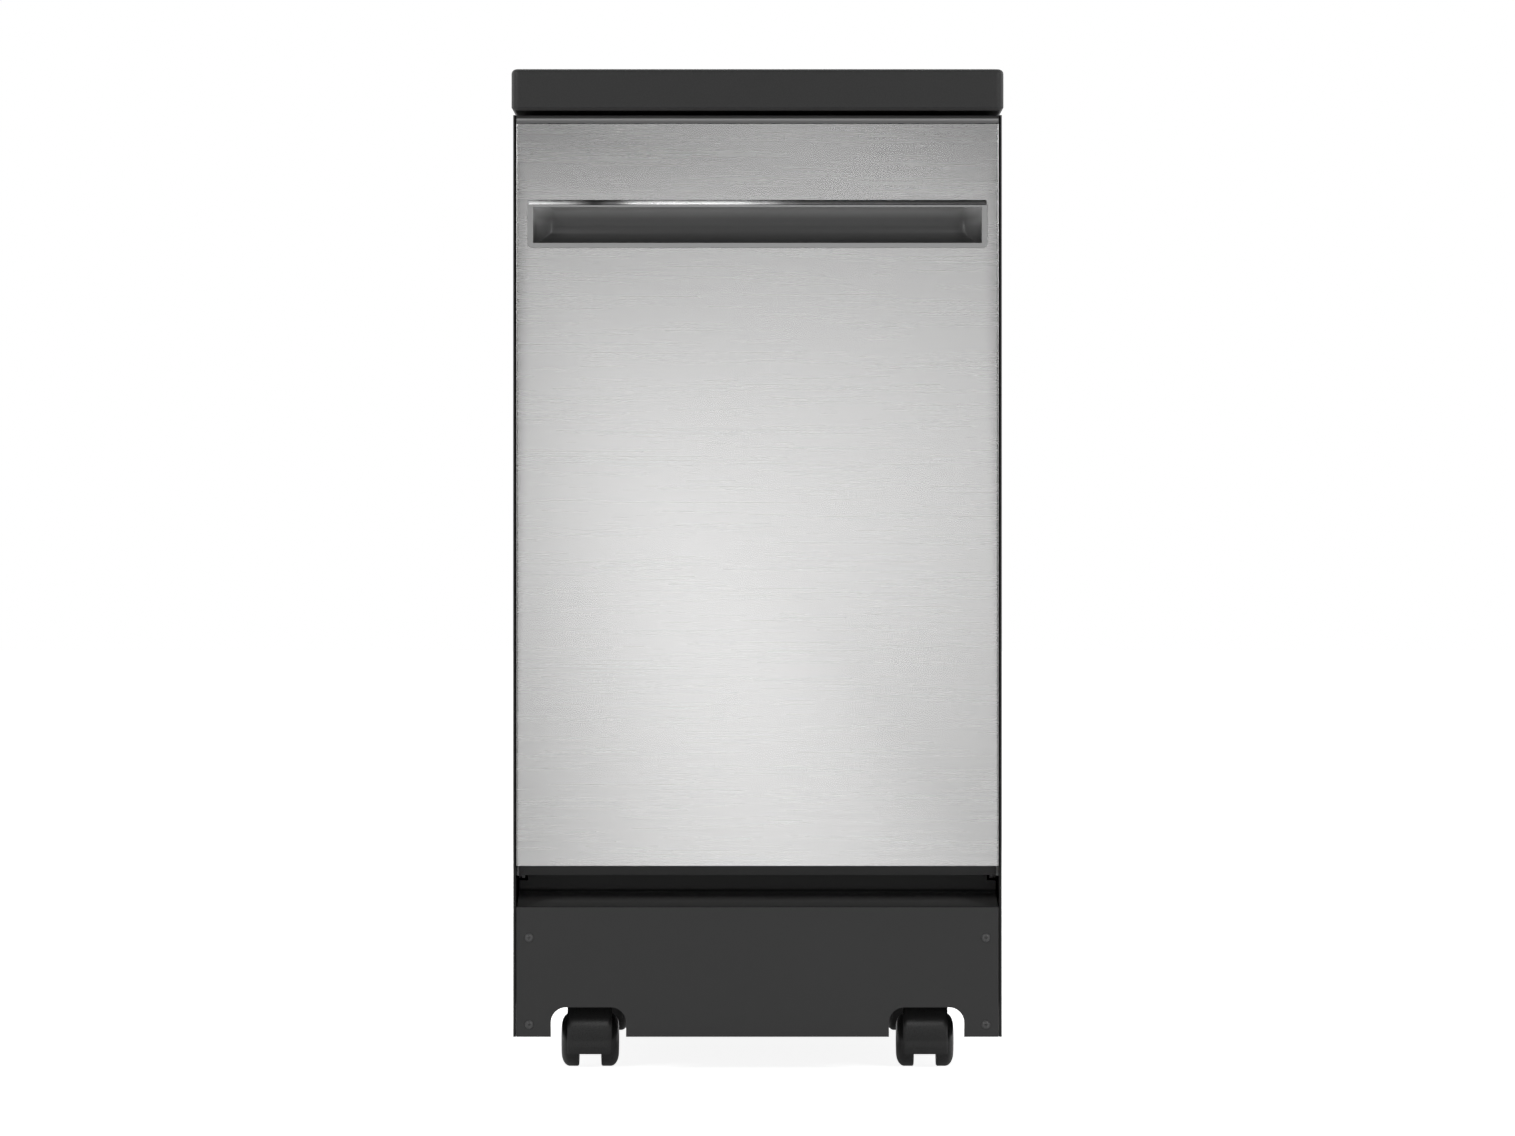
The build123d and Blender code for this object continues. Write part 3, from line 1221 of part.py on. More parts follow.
# SUPPLY DUCT: flat duct up the tub's back and along the ceiling, ending in the ceiling shower
DUCT_BACK_Y = TUB_REAR_Y - DUCT_WALL_GAP
DUCT_TOP_Z = TUB_CEILING_Z - DUCT_WALL_GAP
with BuildPart() as supply_duct:
    with BuildSketch(side_section(0)):
        with BuildLine():
            Polyline(
                (DUCT_BACK_Y, PAN_Z + DUCT_WALL_GAP),
                (DUCT_BACK_Y, DUCT_TOP_Z - DUCT_THICK),
                (DUCT_BACK_Y - DUCT_THICK, DUCT_TOP_Z),
                (TUB_CENTRE_Y, DUCT_TOP_Z),
                (TUB_CENTRE_Y, DUCT_TOP_Z - DUCT_THICK),
                (DUCT_BACK_Y - DUCT_THICK - DUCT_BEVEL, DUCT_TOP_Z - DUCT_THICK),
                (DUCT_BACK_Y - DUCT_THICK, DUCT_TOP_Z - DUCT_THICK - DUCT_BEVEL),
                (DUCT_BACK_Y - DUCT_THICK, PAN_Z + DUCT_WALL_GAP),
                close=True,
            )
        make_face()
    extrude(amount=DUCT_WIDTH / 2, both=True)
    chamfer(
        supply_duct.edges()
        .filter_by(Axis.Z)
        .filter_by_position(
            Axis.Y,
            DUCT_BACK_Y - DUCT_THICK - SHEET_GAP,
            DUCT_BACK_Y - DUCT_THICK + SHEET_GAP,
        ),
        DUCT_BEVEL / 2,
    )
    with BuildSketch(Plane.XY.offset(DUCT_TOP_Z - DUCT_THICK - SHOWER_DROP)):
        with Locations((0, TUB_CENTRE_Y)):
            disc(SHOWER_R, BOWL_SIDES)
    extrude(amount=SHOWER_DROP + DUCT_THICK)
    with BuildSketch(Plane.XY.offset(DUCT_TOP_Z - DUCT_THICK - SHOWER_DROP)):
        with Locations((0, TUB_CENTRE_Y)):
            with PolarLocations(SHOWER_JET_RING_R, SHOWER_JET_COUNT):
                Rectangle(JET_LENGTH, JET_WIDTH)
    extrude(amount=JET_DEPTH, mode=Mode.SUBTRACT)
    with BuildSketch(facing(DUCT_BACK_Y - DUCT_THICK)):
        with Locations((0, FEED_Z), (0, FEED_Z + UPPER_LIFT)):
            disc(DUCT_PORT_R, TUBE_SIDES)
            RegularPolygon(
                radius=FEED_R - FEED_WALL,
                side_count=TUBE_SIDES,
                mode=Mode.SUBTRACT,
            )
    extrude(amount=DUCT_PORT_LENGTH)
supply_duct.part.label = "supply_duct"
export_step(supply_duct.part, "parts/supply_duct.step")

# FLOAT: bell over its guide, lifted by the water
FLOAT_LOW_Z = PAN_Z + LID_GAP
with BuildPart() as float_bell:
    with BuildSketch(Plane.XY.offset(FLOAT_LOW_Z)):
        with Locations((FLOAT_X, FLOAT_Y)):
            disc(FLOAT_R, FLOAT_SIDES)
    extrude(amount=FLOAT_HEIGHT)
    chamfer(float_bell.faces().sort_by(Axis.Z)[-1].edges(), FLOAT_BEVEL)
    with BuildSketch(Plane.XY.offset(FLOAT_LOW_Z)):
        with Locations((FLOAT_X, FLOAT_Y)):
            disc(FLOAT_R - FLOAT_WALL, FLOAT_SIDES)
    extrude(amount=FLOAT_HEIGHT - FLOAT_BEVEL - FLOAT_WALL, mode=Mode.SUBTRACT)
    with BuildSketch(Plane.XY.offset(FLOAT_LOW_Z - FLOAT_STEM_LENGTH)):
        with Locations((FLOAT_X, FLOAT_Y)):
            disc(FLOAT_STEM_R, FLOAT_STEM_SIDES)
    extrude(amount=FLOAT_STEM_LENGTH + FLOAT_HEIGHT - FLOAT_BEVEL)
float_bell.part.label = "float_bell"
export_step(float_bell.part, "parts/float_bell.step")

# LOWER RACK: welded rods, a sloped toe in front, walls to a heavier rim, and two fixed tine rows
ROD_FLAT = cos(pi / ROD_SIDES)
GRID_STEP = 2 * GRID_ROD_R * ROD_FLAT


def rack(half, front_y, rear_y, floor_z, height, along_count, across_count, toe, toe_rise):
    """The rods of an open wire rack, whose floor rods run forward and rise over the toe in front."""
    along_x = spread(-half + TRACK_WIDTH, half - TRACK_WIDTH, along_count)
    across_y = spread(front_y + toe, rear_y - GRID_ROD_R * 4, across_count)
    across_z = floor_z + GRID_STEP
    top_z = floor_z + height
    flat = GRID_ROD_R * ROD_FLAT
    rim_flat = RIM_ROD_R * ROD_FLAT
    rim_x = half - GRID_ROD_R - RIM_ROD_R
    pieces = []
    pieces += rods(
        facing(rear_y - flat),
        [(x, floor_z) for x in along_x],
        rear_y - flat - front_y - toe,
        GRID_ROD_R,
    )
    slope = Vector(0, -toe, toe_rise)
    for x in along_x:
        toe_plane = Plane(origin=(x, front_y + toe, floor_z), x_dir=(1, 0, 0), z_dir=slope)
        pieces += rods(toe_plane, [(0, 0)], slope.length - flat, GRID_ROD_R)
    pieces += rods(
        side_section(-half + GRID_ROD_R),
        [(y, across_z) for y in across_y],
        2 * (half - GRID_ROD_R),
        GRID_ROD_R,
    )
    pieces += rods(
        Plane.XY.offset(across_z - flat),
        [(side * half, y) for side in (-1, 1) for y in across_y],
        top_z - across_z + flat,
        GRID_ROD_R,
    )
    pieces += rods(
        Plane.XY.offset(floor_z - flat),
        [(x, rear_y) for x in along_x],
        height + flat,
        GRID_ROD_R,
    )
    pieces += rods(
        Plane.XY.offset(floor_z + toe_rise - flat),
        [(x, front_y) for x in along_x],
        height - toe_rise + flat,
        GRID_ROD_R,
    )
    for rim_z in (top_z - RIM_ROD_R, floor_z + toe_rise + (height - toe_rise) * RIM_LOW_SHARE):
        pieces += rods(
            facing(rear_y + flat),
            [(side * rim_x, rim_z) for side in (-1, 1)],
            rear_y - front_y + 2 * flat,
            RIM_ROD_R,
        )
        pieces += rods(
            side_section(-rim_x + RIM_ROD_R),
            [(front_y + flat + rim_flat, rim_z), (rear_y - flat - rim_flat, rim_z)],
            2 * (rim_x - RIM_ROD_R),
            RIM_ROD_R,
        )
    return pieces, along_x, across_y


def tine_row(xs, y, low_z, height):
    """Upright tines in a row along X."""
    return rods(Plane.XY.offset(low_z), [(x, y) for x in xs], height, TINE_R)


lower_rods, lower_along_x, lower_across_y = rack(
    LOWER_RACK_HALF,
    LOWER_RACK_FRONT_Y,
    LOWER_RACK_REAR_Y,
    LOWER_FLOOR_Z,
    LOWER_RACK_HEIGHT,
    LOWER_ALONG_COUNT,
    LOWER_ACROSS_COUNT,
    LOWER_TOE,
    LOWER_TOE_RISE,
)
LOWER_CROSS_TOP_Z = LOWER_FLOOR_Z + GRID_STEP + GRID_ROD_R * ROD_FLAT
tine_x = [(a + b) / 2 for a, b in zip(lower_along_x, lower_along_x[1:])]
for bar in LOWER_TINE_BAR_COUNTS:
    lower_rods += tine_row(tine_x, lower_across_y[bar], LOWER_CROSS_TOP_Z, TINE_HEIGHT)

# FOLDING TINE ROW: a round axle rod in two clips on the rack's floor, its tines fold to the rear
FOLD_Y = (lower_across_y[FOLD_BAR_COUNT] + lower_across_y[FOLD_BAR_COUNT + 1]) / 2
FOLD_Z = LOWER_FLOOR_Z + GRID_ROD_R * ROD_FLAT + FOLD_AXLE_R + FOLD_LIFT
with BuildPart() as fold_axle:
    with BuildSketch(side_section(tine_x[0] - TRACK_WIDTH)):
        with Locations((FOLD_Y, FOLD_Z)):
            Circle(FOLD_AXLE_R)
    extrude(amount=tine_x[-1] - tine_x[0] + 2 * TRACK_WIDTH)
fold_rods = list(fold_axle.part.solids())
fold_rods += tine_row(tine_x, FOLD_Y, FOLD_Z + FOLD_AXLE_R, FOLD_TINE_HEIGHT)
lower_tines_fold = group("lower_tines_fold", fold_rods)
export_step(lower_tines_fold, "parts/lower_tines_fold.step")

# Each clip stands on the rack's outermost floor rods and closes round the axle
with BuildPart() as fold_clips:
    for clip_x in (lower_along_x[1], lower_along_x[-2]):
        with BuildSketch(side_section(clip_x - FOLD_CLIP_WIDTH / 2)):
            with Locations((FOLD_Y, FOLD_Z)):
                Rectangle(2 * (FOLD_AXLE_R + FOLD_CLIP), 2 * (FOLD_AXLE_R + FOLD_CLIP))
                Circle(FOLD_AXLE_R + PIN_CLEARANCE, mode=Mode.SUBTRACT)
            with Locations((FOLD_Y, LOWER_FLOOR_Z)):
                Rectangle(
                    2 * (FOLD_AXLE_R + FOLD_CLIP),
                    2 * GRID_ROD_R * ROD_FLAT,
                    mode=Mode.SUBTRACT,
                )
        extrude(amount=FOLD_CLIP_WIDTH)
lower_rods += list(fold_clips.part.solids())
lower_rack_wires = group("lower_rack_wires", lower_rods)
export_step(lower_rack_wires, "parts/lower_rack_wires.step")

# ROLLER BRACKETS: moulded plates on the rack's sides, each with an axle stub
BRACKET_X = LOWER_RACK_HALF + GRID_ROD_R + BRACKET_GAP
ROLLER_LINES = (ROLLER_FRONT_Y, ROLLER_REAR_Y)
with BuildPart() as bracket_set:
    with BuildSketch(side_section(BRACKET_X)):
        for line_y in ROLLER_LINES:
            with Locations((line_y, ROLLER_Z)):
                disc(BRACKET_BOSS_R, SOCKET_SIDES)
                Rectangle(
                    2 * BRACKET_HALF,
                    LOWER_FLOOR_Z + BRACKET_TOP_RISE - ROLLER_Z,
                    align=(Align.CENTER, Align.MIN),
                )
    extrude(amount=BRACKET_THICK)
    with BuildSketch(side_section(BRACKET_X + BRACKET_THICK)):
        with Locations(*[(line_y, ROLLER_Z) for line_y in ROLLER_LINES]):
            disc(ROLLER_AXLE_R + ROLLER_RIM / 2, SOCKET_SIDES)
    extrude(amount=ROLLER_X - BRACKET_X - BRACKET_THICK - LID_GAP)
    with BuildSketch(side_section(BRACKET_X + BRACKET_THICK)):
        with Locations(*[(line_y, ROLLER_Z) for line_y in ROLLER_LINES]):
            Circle(ROLLER_AXLE_R)
    extrude(amount=ROLLER_X - BRACKET_X - BRACKET_THICK + ROLLER_WIDTH)
lower_roller_brackets = group("lower_roller_brackets", mirrored(bracket_set.part))
export_step(lower_roller_brackets, "parts/lower_roller_brackets.step")

# ROLLERS: dished wheels, one pair for each axle line
for line_name, line_y in (("front", ROLLER_FRONT_Y), ("rear", ROLLER_REAR_Y)):
    with BuildPart() as roller:
        with BuildSketch(side_section(ROLLER_X)):
            with Locations((line_y, ROLLER_Z)):
                disc(ROLLER_R, ROLLER_SIDES)
        extrude(amount=ROLLER_WIDTH)
        chamfer(roller.faces().sort_by(Axis.X)[-1].edges(), ROLLER_EDGE)
        with BuildSketch(side_section(ROLLER_X + ROLLER_WIDTH)):
            with Locations((line_y, ROLLER_Z)):
                disc(ROLLER_R - ROLLER_RIM, ROLLER_SIDES)
                RegularPolygon(
                    radius=ROLLER_AXLE_R + ROLLER_RIM / 2,
                    side_count=SOCKET_SIDES,
                    mode=Mode.SUBTRACT,
                )
        extrude(amount=-ROLLER_DISH, mode=Mode.SUBTRACT)
        with BuildSketch(side_section(ROLLER_X)):
            with Locations((line_y, ROLLER_Z)):
                Circle(ROLLER_AXLE_R + ROLLER_CLEARANCE)
        extrude(amount=ROLLER_WIDTH, mode=Mode.SUBTRACT)
    roller_pair = group(f"lower_rollers_{line_name}", mirrored(roller.part))
    export_step(roller_pair, f"parts/lower_rollers_{line_name}.step")

# CUTLERY BASKET: tapered moulding with slotted walls and floor, dividers and a carrying bow
BASKET_Y = LOWER_RACK_FRONT_Y + LOWER_TOE + BASKET_WIDTH / 2 + BASKET_TOE_GAP
BASKET_LOW_Z = LOWER_CROSS_TOP_Z + BASKET_LIFT
BASKET_PITCH = (BASKET_LENGTH - BASKET_WALL) / BASKET_CELLS
with BuildPart() as cutlery_basket:
    with BuildSketch(Plane.XY.offset(BASKET_LOW_Z)):
        with Locations((0, BASKET_Y)):
            RectangleRounded(BASKET_LENGTH, BASKET_WIDTH, BASKET_CORNER_R)
    extrude(amount=BASKET_HEIGHT)
    with BuildSketch(Plane.XY.offset(BASKET_LOW_Z + BASKET_WALL)):
        with Locations((0, BASKET_Y)):
            RectangleRounded(
                BASKET_LENGTH - 2 * BASKET_WALL,
                BASKET_WIDTH - 2 * BASKET_WALL,
                BASKET_CORNER_R - BASKET_WALL,
            )
            for cell in range(1, BASKET_CELLS):
                with Locations((cell * BASKET_PITCH - BASKET_PITCH * BASKET_CELLS / 2, 0)):
                    Rectangle(BASKET_WALL, BASKET_WIDTH, mode=Mode.SUBTRACT)
    extrude(amount=BASKET_HEIGHT, mode=Mode.SUBTRACT)
    slot_pitch = BASKET_PITCH / (BASKET_SLOTS + 1)
    slot_x = [
        (cell - BASKET_CELLS / 2) * BASKET_PITCH + (slot + 1) * slot_pitch
        for cell in range(BASKET_CELLS)
        for slot in range(BASKET_SLOTS)
    ]
    with BuildSketch(facing(BASKET_Y + BASKET_WIDTH)):
        with Locations(*[(x, BASKET_LOW_Z + BASKET_HEIGHT / 2) for x in slot_x]):
            Rectangle(BASKET_SLOT_WIDTH, BASKET_HEIGHT - 2 * BASKET_RAIL)
    extrude(amount=2 * BASKET_WIDTH, mode=Mode.SUBTRACT)
    with BuildSketch(facing(BASKET_Y - BASKET_WALL)):
        with Locations((0, BASKET_LOW_Z + BASKET_HEIGHT - BASKET_RAIL)):
            Rectangle(
                2 * BASKET_PITCH + BASKET_BOW,
                BASKET_BOW_RISE + BASKET_RAIL,
                align=(Align.CENTER, Align.MIN),
            )
            Rectangle(
                2 * BASKET_PITCH - BASKET_BOW,
                BASKET_BOW_RISE + BASKET_RAIL - BASKET_BOW,
                align=(Align.CENTER, Align.MIN),
                mode=Mode.SUBTRACT,
            )
    extrude(amount=-2 * BASKET_WALL)
    fillet(
        cutlery_basket.edges().filter_by(Axis.Y).group_by(Axis.Z)[-1],
        BASKET_BOW * 2,
    )
cutlery_basket.part.label = "cutlery_basket"
export_step(cutlery_basket.part, "parts/cutlery_basket.step")

# UPPER RACK: shallower basket of the same rods with two rows of low tines
upper_rods, upper_along_x, upper_across_y = rack(
    UPPER_RACK_HALF,
    UPPER_RACK_FRONT_Y,
    UPPER_RACK_REAR_Y,
    UPPER_FLOOR_Z,
    UPPER_RACK_HEIGHT,
    UPPER_ALONG_COUNT,
    UPPER_ACROSS_COUNT,
    UPPER_TOE,
    UPPER_TOE_RISE,
)
UPPER_CROSS_TOP_Z = UPPER_FLOOR_Z + GRID_STEP + GRID_ROD_R * ROD_FLAT
upper_tine_x = [(a + b) / 2 for a, b in zip(upper_along_x, upper_along_x[1:])]
for bar in UPPER_TINE_BAR_COUNTS:
    upper_rods += tine_row(upper_tine_x, upper_across_y[bar], UPPER_CROSS_TOP_Z, UPPER_TINE_HEIGHT)
upper_rack_wires = group("upper_rack_wires", upper_rods)
export_step(upper_rack_wires, "parts/upper_rack_wires.step")

# TELESCOPIC RAILS: three nested channels on each side, the inner one carrying the rack
OUTER_LOW_X = TUB_HALF - RAIL_OUTER_WIDTH
MIDDLE_BACK_X = TUB_HALF - RAIL_SHEET - RAIL_CLEARANCE
MIDDLE_LOW_Z = RAIL_LOW_Z + RAIL_SHEET + RAIL_CLEARANCE
MIDDLE_HEIGHT = RAIL_HEIGHT - 2 * (RAIL_SHEET + RAIL_CLEARANCE)
INNER_FACE_X = MIDDLE_BACK_X - RAIL_SHEET - RAIL_CLEARANCE
INNER_LOW_Z = MIDDLE_LOW_Z + RAIL_SHEET + RAIL_CLEARANCE
INNER_HEIGHT = MIDDLE_HEIGHT - 2 * (RAIL_SHEET + RAIL_CLEARANCE)


def channel(open_x, back_x, low_z, height, front_y, length):
    """A C-channel along the tub: its back at back_x and its flanges reaching to open_x."""
    depth = back_x - open_x
    shift = RAIL_SHEET if depth > 0 else -RAIL_SHEET
    with BuildPart() as rail:
        with BuildSketch(facing(front_y)):
            with Locations(((open_x + back_x) / 2, low_z + height / 2)):
                Rectangle(abs(depth), height)
            with Locations(((open_x + back_x) / 2 - shift, low_z + height / 2)):
                Rectangle(abs(depth), height - 2 * RAIL_SHEET, mode=Mode.SUBTRACT)
        extrude(amount=-length)
    return rail.part


upper_rails_fixed = group(
    "upper_rails_fixed",
    mirrored(
        channel(
            OUTER_LOW_X,
            TUB_HALF,
            RAIL_LOW_Z,
            RAIL_HEIGHT,
            RAIL_OUTER_FRONT_Y,
            RAIL_OUTER_LENGTH,
        )
    ),
)
export_step(upper_rails_fixed, "parts/upper_rails_fixed.step")

upper_rails_middle = group(
    "upper_rails_middle",
    mirrored(
        channel(
            MIDDLE_BACK_X - RAIL_MIDDLE_WIDTH,
            MIDDLE_BACK_X,
            MIDDLE_LOW_Z,
            MIDDLE_HEIGHT,
            RAIL_OUTER_FRONT_Y - RAIL_STAGGER,
            RAIL_MIDDLE_LENGTH,
        )
    ),
)
export_step(upper_rails_middle, "parts/upper_rails_middle.step")

# RACK CARRIAGE: the inner rails with their height-adjuster plates
ADJUSTER_X = UPPER_RACK_HALF + GRID_ROD_R + ADJUSTER_HOOK + LID_GAP
with BuildPart() as carriage_side:
    add(
        channel(
            INNER_FACE_X,
            ADJUSTER_X + ADJUSTER_THICK,
            INNER_LOW_Z,
            INNER_HEIGHT,
            RAIL_OUTER_FRONT_Y - 2 * RAIL_STAGGER,
            RAIL_INNER_LENGTH,
        )
    )
    with BuildSketch(side_section(ADJUSTER_X)):
        with Locations(
            *[(y, INNER_LOW_Z + INNER_HEIGHT / 2 + ADJUSTER_RAISE) for y in ADJUSTER_POSITIONS]
        ):
            plate(ADJUSTER_WIDTH, ADJUSTER_HEIGHT, ADJUSTER_CORNER)
    extrude(amount=ADJUSTER_THICK)
upper_rack_carriage = group("upper_rack_carriage", mirrored(carriage_side.part))
export_step(upper_rack_carriage, "parts/upper_rack_carriage.step")

# RACK HOOKS: plates clipped on the rack's side rods, sliding up and down against the adjusters
with BuildPart() as hook_set:
    with BuildSketch(side_section(UPPER_RACK_HALF + GRID_ROD_R)):
        with Locations(*[(y, UPPER_FLOOR_Z + HOOK_RAISE) for y in ADJUSTER_POSITIONS]):
            plate(HOOK_WIDTH, HOOK_HEIGHT, ADJUSTER_CORNER)
    extrude(amount=ADJUSTER_HOOK)
upper_rack_hooks = group("upper_rack_hooks", mirrored(hook_set.part))
export_step(upper_rack_hooks, "parts/upper_rack_hooks.step")

# DOOR SKIN: brushed sheet folded back all round, with the handle opening
POCKET_TOP_Z = BEZEL_TOP_Z - POCKET_TOP_DROP
POCKET_LOW_Z = POCKET_TOP_Z - POCKET_HEIGHT
POCKET_BACK_Y = DOOR_FACE_Y + POCKET_DEPTH
BEZEL_FRONT_Y = DOOR_FACE_Y - BEZEL_PROUD
POCKET_HIGH_Z = POCKET_TOP_Z + POCKET_UNDERCUT
with BuildPart() as door_skin:
    with BuildSketch(facing(SKIN_BACK_Y)):
        with Locations((0, DOOR_BOTTOM_Z)):
            Rectangle(
                2 * DOOR_HALF,
                DOOR_SKIN_TOP_Z - DOOR_BOTTOM_Z,
                align=(Align.CENTER, Align.MIN),
            )
    extrude(amount=SKIN_RETURN)
    fillet(door_skin.edges().filter_by(Axis.Z).group_by(Axis.Y)[0], SKIN_EDGE_R)
    offset(amount=-SKIN_SHEET, openings=door_skin.faces().sort_by(Axis.Y)[-1])
    with BuildSketch(facing(DOOR_FACE_Y)):
        with Locations((0, (POCKET_LOW_Z + POCKET_HIGH_Z) / 2)):
            Rectangle(
                POCKET_WIDTH + 2 * (POCKET_WALL + SHEET_GAP),
                POCKET_HIGH_Z - POCKET_LOW_Z + 2 * (POCKET_WALL + SHEET_GAP),
            )
    extrude(amount=-SKIN_SHEET, mode=Mode.SUBTRACT)
door_skin.part.label = "door_skin"
export_step(door_skin.part, "parts/door_skin.step")


def scoop(grow, front_y):
    """The hand pocket's hollow, or its outer body when grown by the wall: an undercut hook section
    along the door, closed at both ends by the same sweep in plan."""
    with BuildPart() as hollow:
        with BuildSketch(side_section(0)) as hook:
            with BuildLine():
                Polyline(
                    (front_y, POCKET_LOW_Z - grow),
                    (POCKET_BACK_Y + grow, POCKET_LOW_Z - grow),
                    (POCKET_BACK_Y + grow, POCKET_HIGH_Z + grow),
                    (DOOR_FACE_Y + POCKET_LIP - grow, POCKET_HIGH_Z + grow),
                    (DOOR_FACE_Y + POCKET_LIP - grow, POCKET_TOP_Z + grow),
                    (front_y, POCKET_TOP_Z + grow),
                    close=True,
                )
            make_face()
            fillet(
                hook.vertices().group_by(Axis.X)[-1].sort_by(Axis.Y)[0],
                POCKET_SCOOP_R + grow,
            )
            fillet(
                hook.vertices().group_by(Axis.X)[-1].sort_by(Axis.Y)[-1],
                POCKET_ROOF_R + grow,
            )
        extrude(amount=POCKET_WIDTH / 2 + grow, both=True)
        with BuildSketch(Plane.XY.offset(POCKET_LOW_Z - grow)) as plan:
            with BuildLine():
                Polyline(
                    (-POCKET_WIDTH / 2 - grow, front_y),
                    (POCKET_WIDTH / 2 + grow, front_y),
                    (POCKET_WIDTH / 2 + grow, POCKET_BACK_Y + grow),
                    (-POCKET_WIDTH / 2 - grow, POCKET_BACK_Y + grow),
                    close=True,
                )
            make_face()
            fillet(plan.vertices().group_by(Axis.Y)[-1], POCKET_END_R + grow)
        extrude(amount=POCKET_HIGH_Z - POCKET_LOW_Z + 2 * grow, mode=Mode.INTERSECT)
    return hollow.part


# HANDLE POCKET: a raised bezel round a scooped, undercut hollow with swept ends
with BuildPart() as handle_pocket:
    with BuildSketch(facing(DOOR_FACE_Y)):
        with Locations((0, BEZEL_TOP_Z - BEZEL_HEIGHT / 2)):
            RectangleRounded(BEZEL_WIDTH, BEZEL_HEIGHT, BEZEL_CORNER_R)
    extrude(amount=BEZEL_PROUD)
    chamfer(handle_pocket.faces().sort_by(Axis.Y)[0].edges(), BEZEL_PROUD / 2)
    add(scoop(POCKET_WALL, DOOR_FACE_Y))
    add(scoop(0, BEZEL_FRONT_Y), mode=Mode.SUBTRACT)
handle_pocket.part.label = "handle_pocket"
export_step(handle_pocket.part, "parts/handle_pocket.step")

# HANDLE LIP: bright strip along the bezel's upper rail
with BuildPart() as handle_lip:
    with BuildSketch(facing(BEZEL_FRONT_Y)):
        with Locations((0, BEZEL_TOP_Z)):
            Rectangle(
                BEZEL_WIDTH - 2 * BEZEL_PROUD,
                LIP_HEIGHT,
                align=(Align.CENTER, Align.MAX),
            )
    extrude(amount=LIP_THICK)
    fillet(
        handle_lip.edges().filter_by(Axis.X).group_by(Axis.Y)[0],
        LIP_EDGE_R,
    )
handle_lip.part.label = "handle_lip"
export_step(handle_lip.part, "parts/handle_lip.step")

# DOOR INNER PANEL: steel tray with outward side flanges and a raised field facing the tub
INNER_LOW_Z = DOOR_BOTTOM_Z + SKIN_SHEET + SHEET_GAP + TRIM_WEB
FIELD_HEIGHT = EMBOSS_HIGH_Z - EMBOSS_LOW_Z
FIELD_Y = INNER_FACE_Y + EMBOSS_DEPTH
with BuildPart() as door_inner_panel:
    with BuildSketch(facing(INNER_FACE_Y)):
        with Locations((0, INNER_LOW_Z)):
            Rectangle(
                2 * INNER_HALF,
                INNER_EDGE_Z - INNER_LOW_Z,
                align=(Align.CENTER, Align.MIN),
            )
    extrude(amount=INNER_SIDE_DEPTH)
    fillet(door_inner_panel.edges().filter_by(Axis.Z).group_by(Axis.Y)[-1], PAN_BEND_R)
    with BuildSketch(facing(INNER_FACE_Y)):
        with Locations((0, FIELD_Z)):
            RectangleRounded(2 * EMBOSS_HALF, FIELD_HEIGHT, EMBOSS_CORNER_R)
    extrude(amount=-EMBOSS_DEPTH, taper=EMBOSS_TAPER_ANGLE)
    with BuildSketch(facing(INNER_FACE_Y - SKIN_SHEET)):
        with Locations((0, INNER_LOW_Z + SKIN_SHEET)):
            Rectangle(
                2 * (INNER_HALF - SKIN_SHEET),
                INNER_EDGE_Z - INNER_LOW_Z - 2 * SKIN_SHEET,
                align=(Align.CENTER, Align.MIN),
            )
    extrude(amount=INNER_SIDE_DEPTH, mode=Mode.SUBTRACT)
    with BuildSketch(facing(INNER_FACE_Y - SKIN_SHEET)):
        with Locations((0, FIELD_Z)):
            RectangleRounded(
                2 * (EMBOSS_HALF - SKIN_SHEET / 2),
                FIELD_HEIGHT - SKIN_SHEET,
                EMBOSS_CORNER_R,
            )
    extrude(amount=-EMBOSS_DEPTH, taper=EMBOSS_TAPER_ANGLE, mode=Mode.SUBTRACT)
    with BuildSketch(facing(INNER_FACE_Y - INNER_SIDE_DEPTH + SKIN_SHEET)):
        for side in (-1, 1):
            with Locations((side * (INNER_HALF - SKIN_SHEET + INNER_RIM / 2), INNER_LOW_Z)):
                Rectangle(
                    INNER_RIM,
                    INNER_EDGE_Z - INNER_LOW_Z,
                    align=(Align.CENTER, Align.MIN),
                )
    extrude(amount=SKIN_SHEET)
    with BuildSketch(facing(FIELD_Y)):
        with Locations((DISPENSER_X, DISPENSER_Z)):
            RectangleRounded(
                DISPENSER_WIDTH - 2 * DISPENSER_FACE,
                DISPENSER_HEIGHT - 2 * DISPENSER_FACE,
                DISPENSER_CORNER_R - DISPENSER_FACE,
            )
    extrude(amount=2 * EMBOSS_DEPTH, mode=Mode.SUBTRACT)
    with BuildSketch(facing(INNER_FACE_Y)):
        with Locations((0, LATCH_SLOT_LOW_Z)):
            Rectangle(
                2 * LATCH_SLOT_HALF,
                INNER_EDGE_Z - LATCH_SLOT_LOW_Z,
                align=(Align.CENTER, Align.MIN),
            )
    extrude(amount=LATCH_PIVOT_BACK + LATCH_BOSS_R, mode=Mode.SUBTRACT)
door_inner_panel.part.label = "door_inner_panel"
export_step(door_inner_panel.part, "parts/door_inner_panel.step")

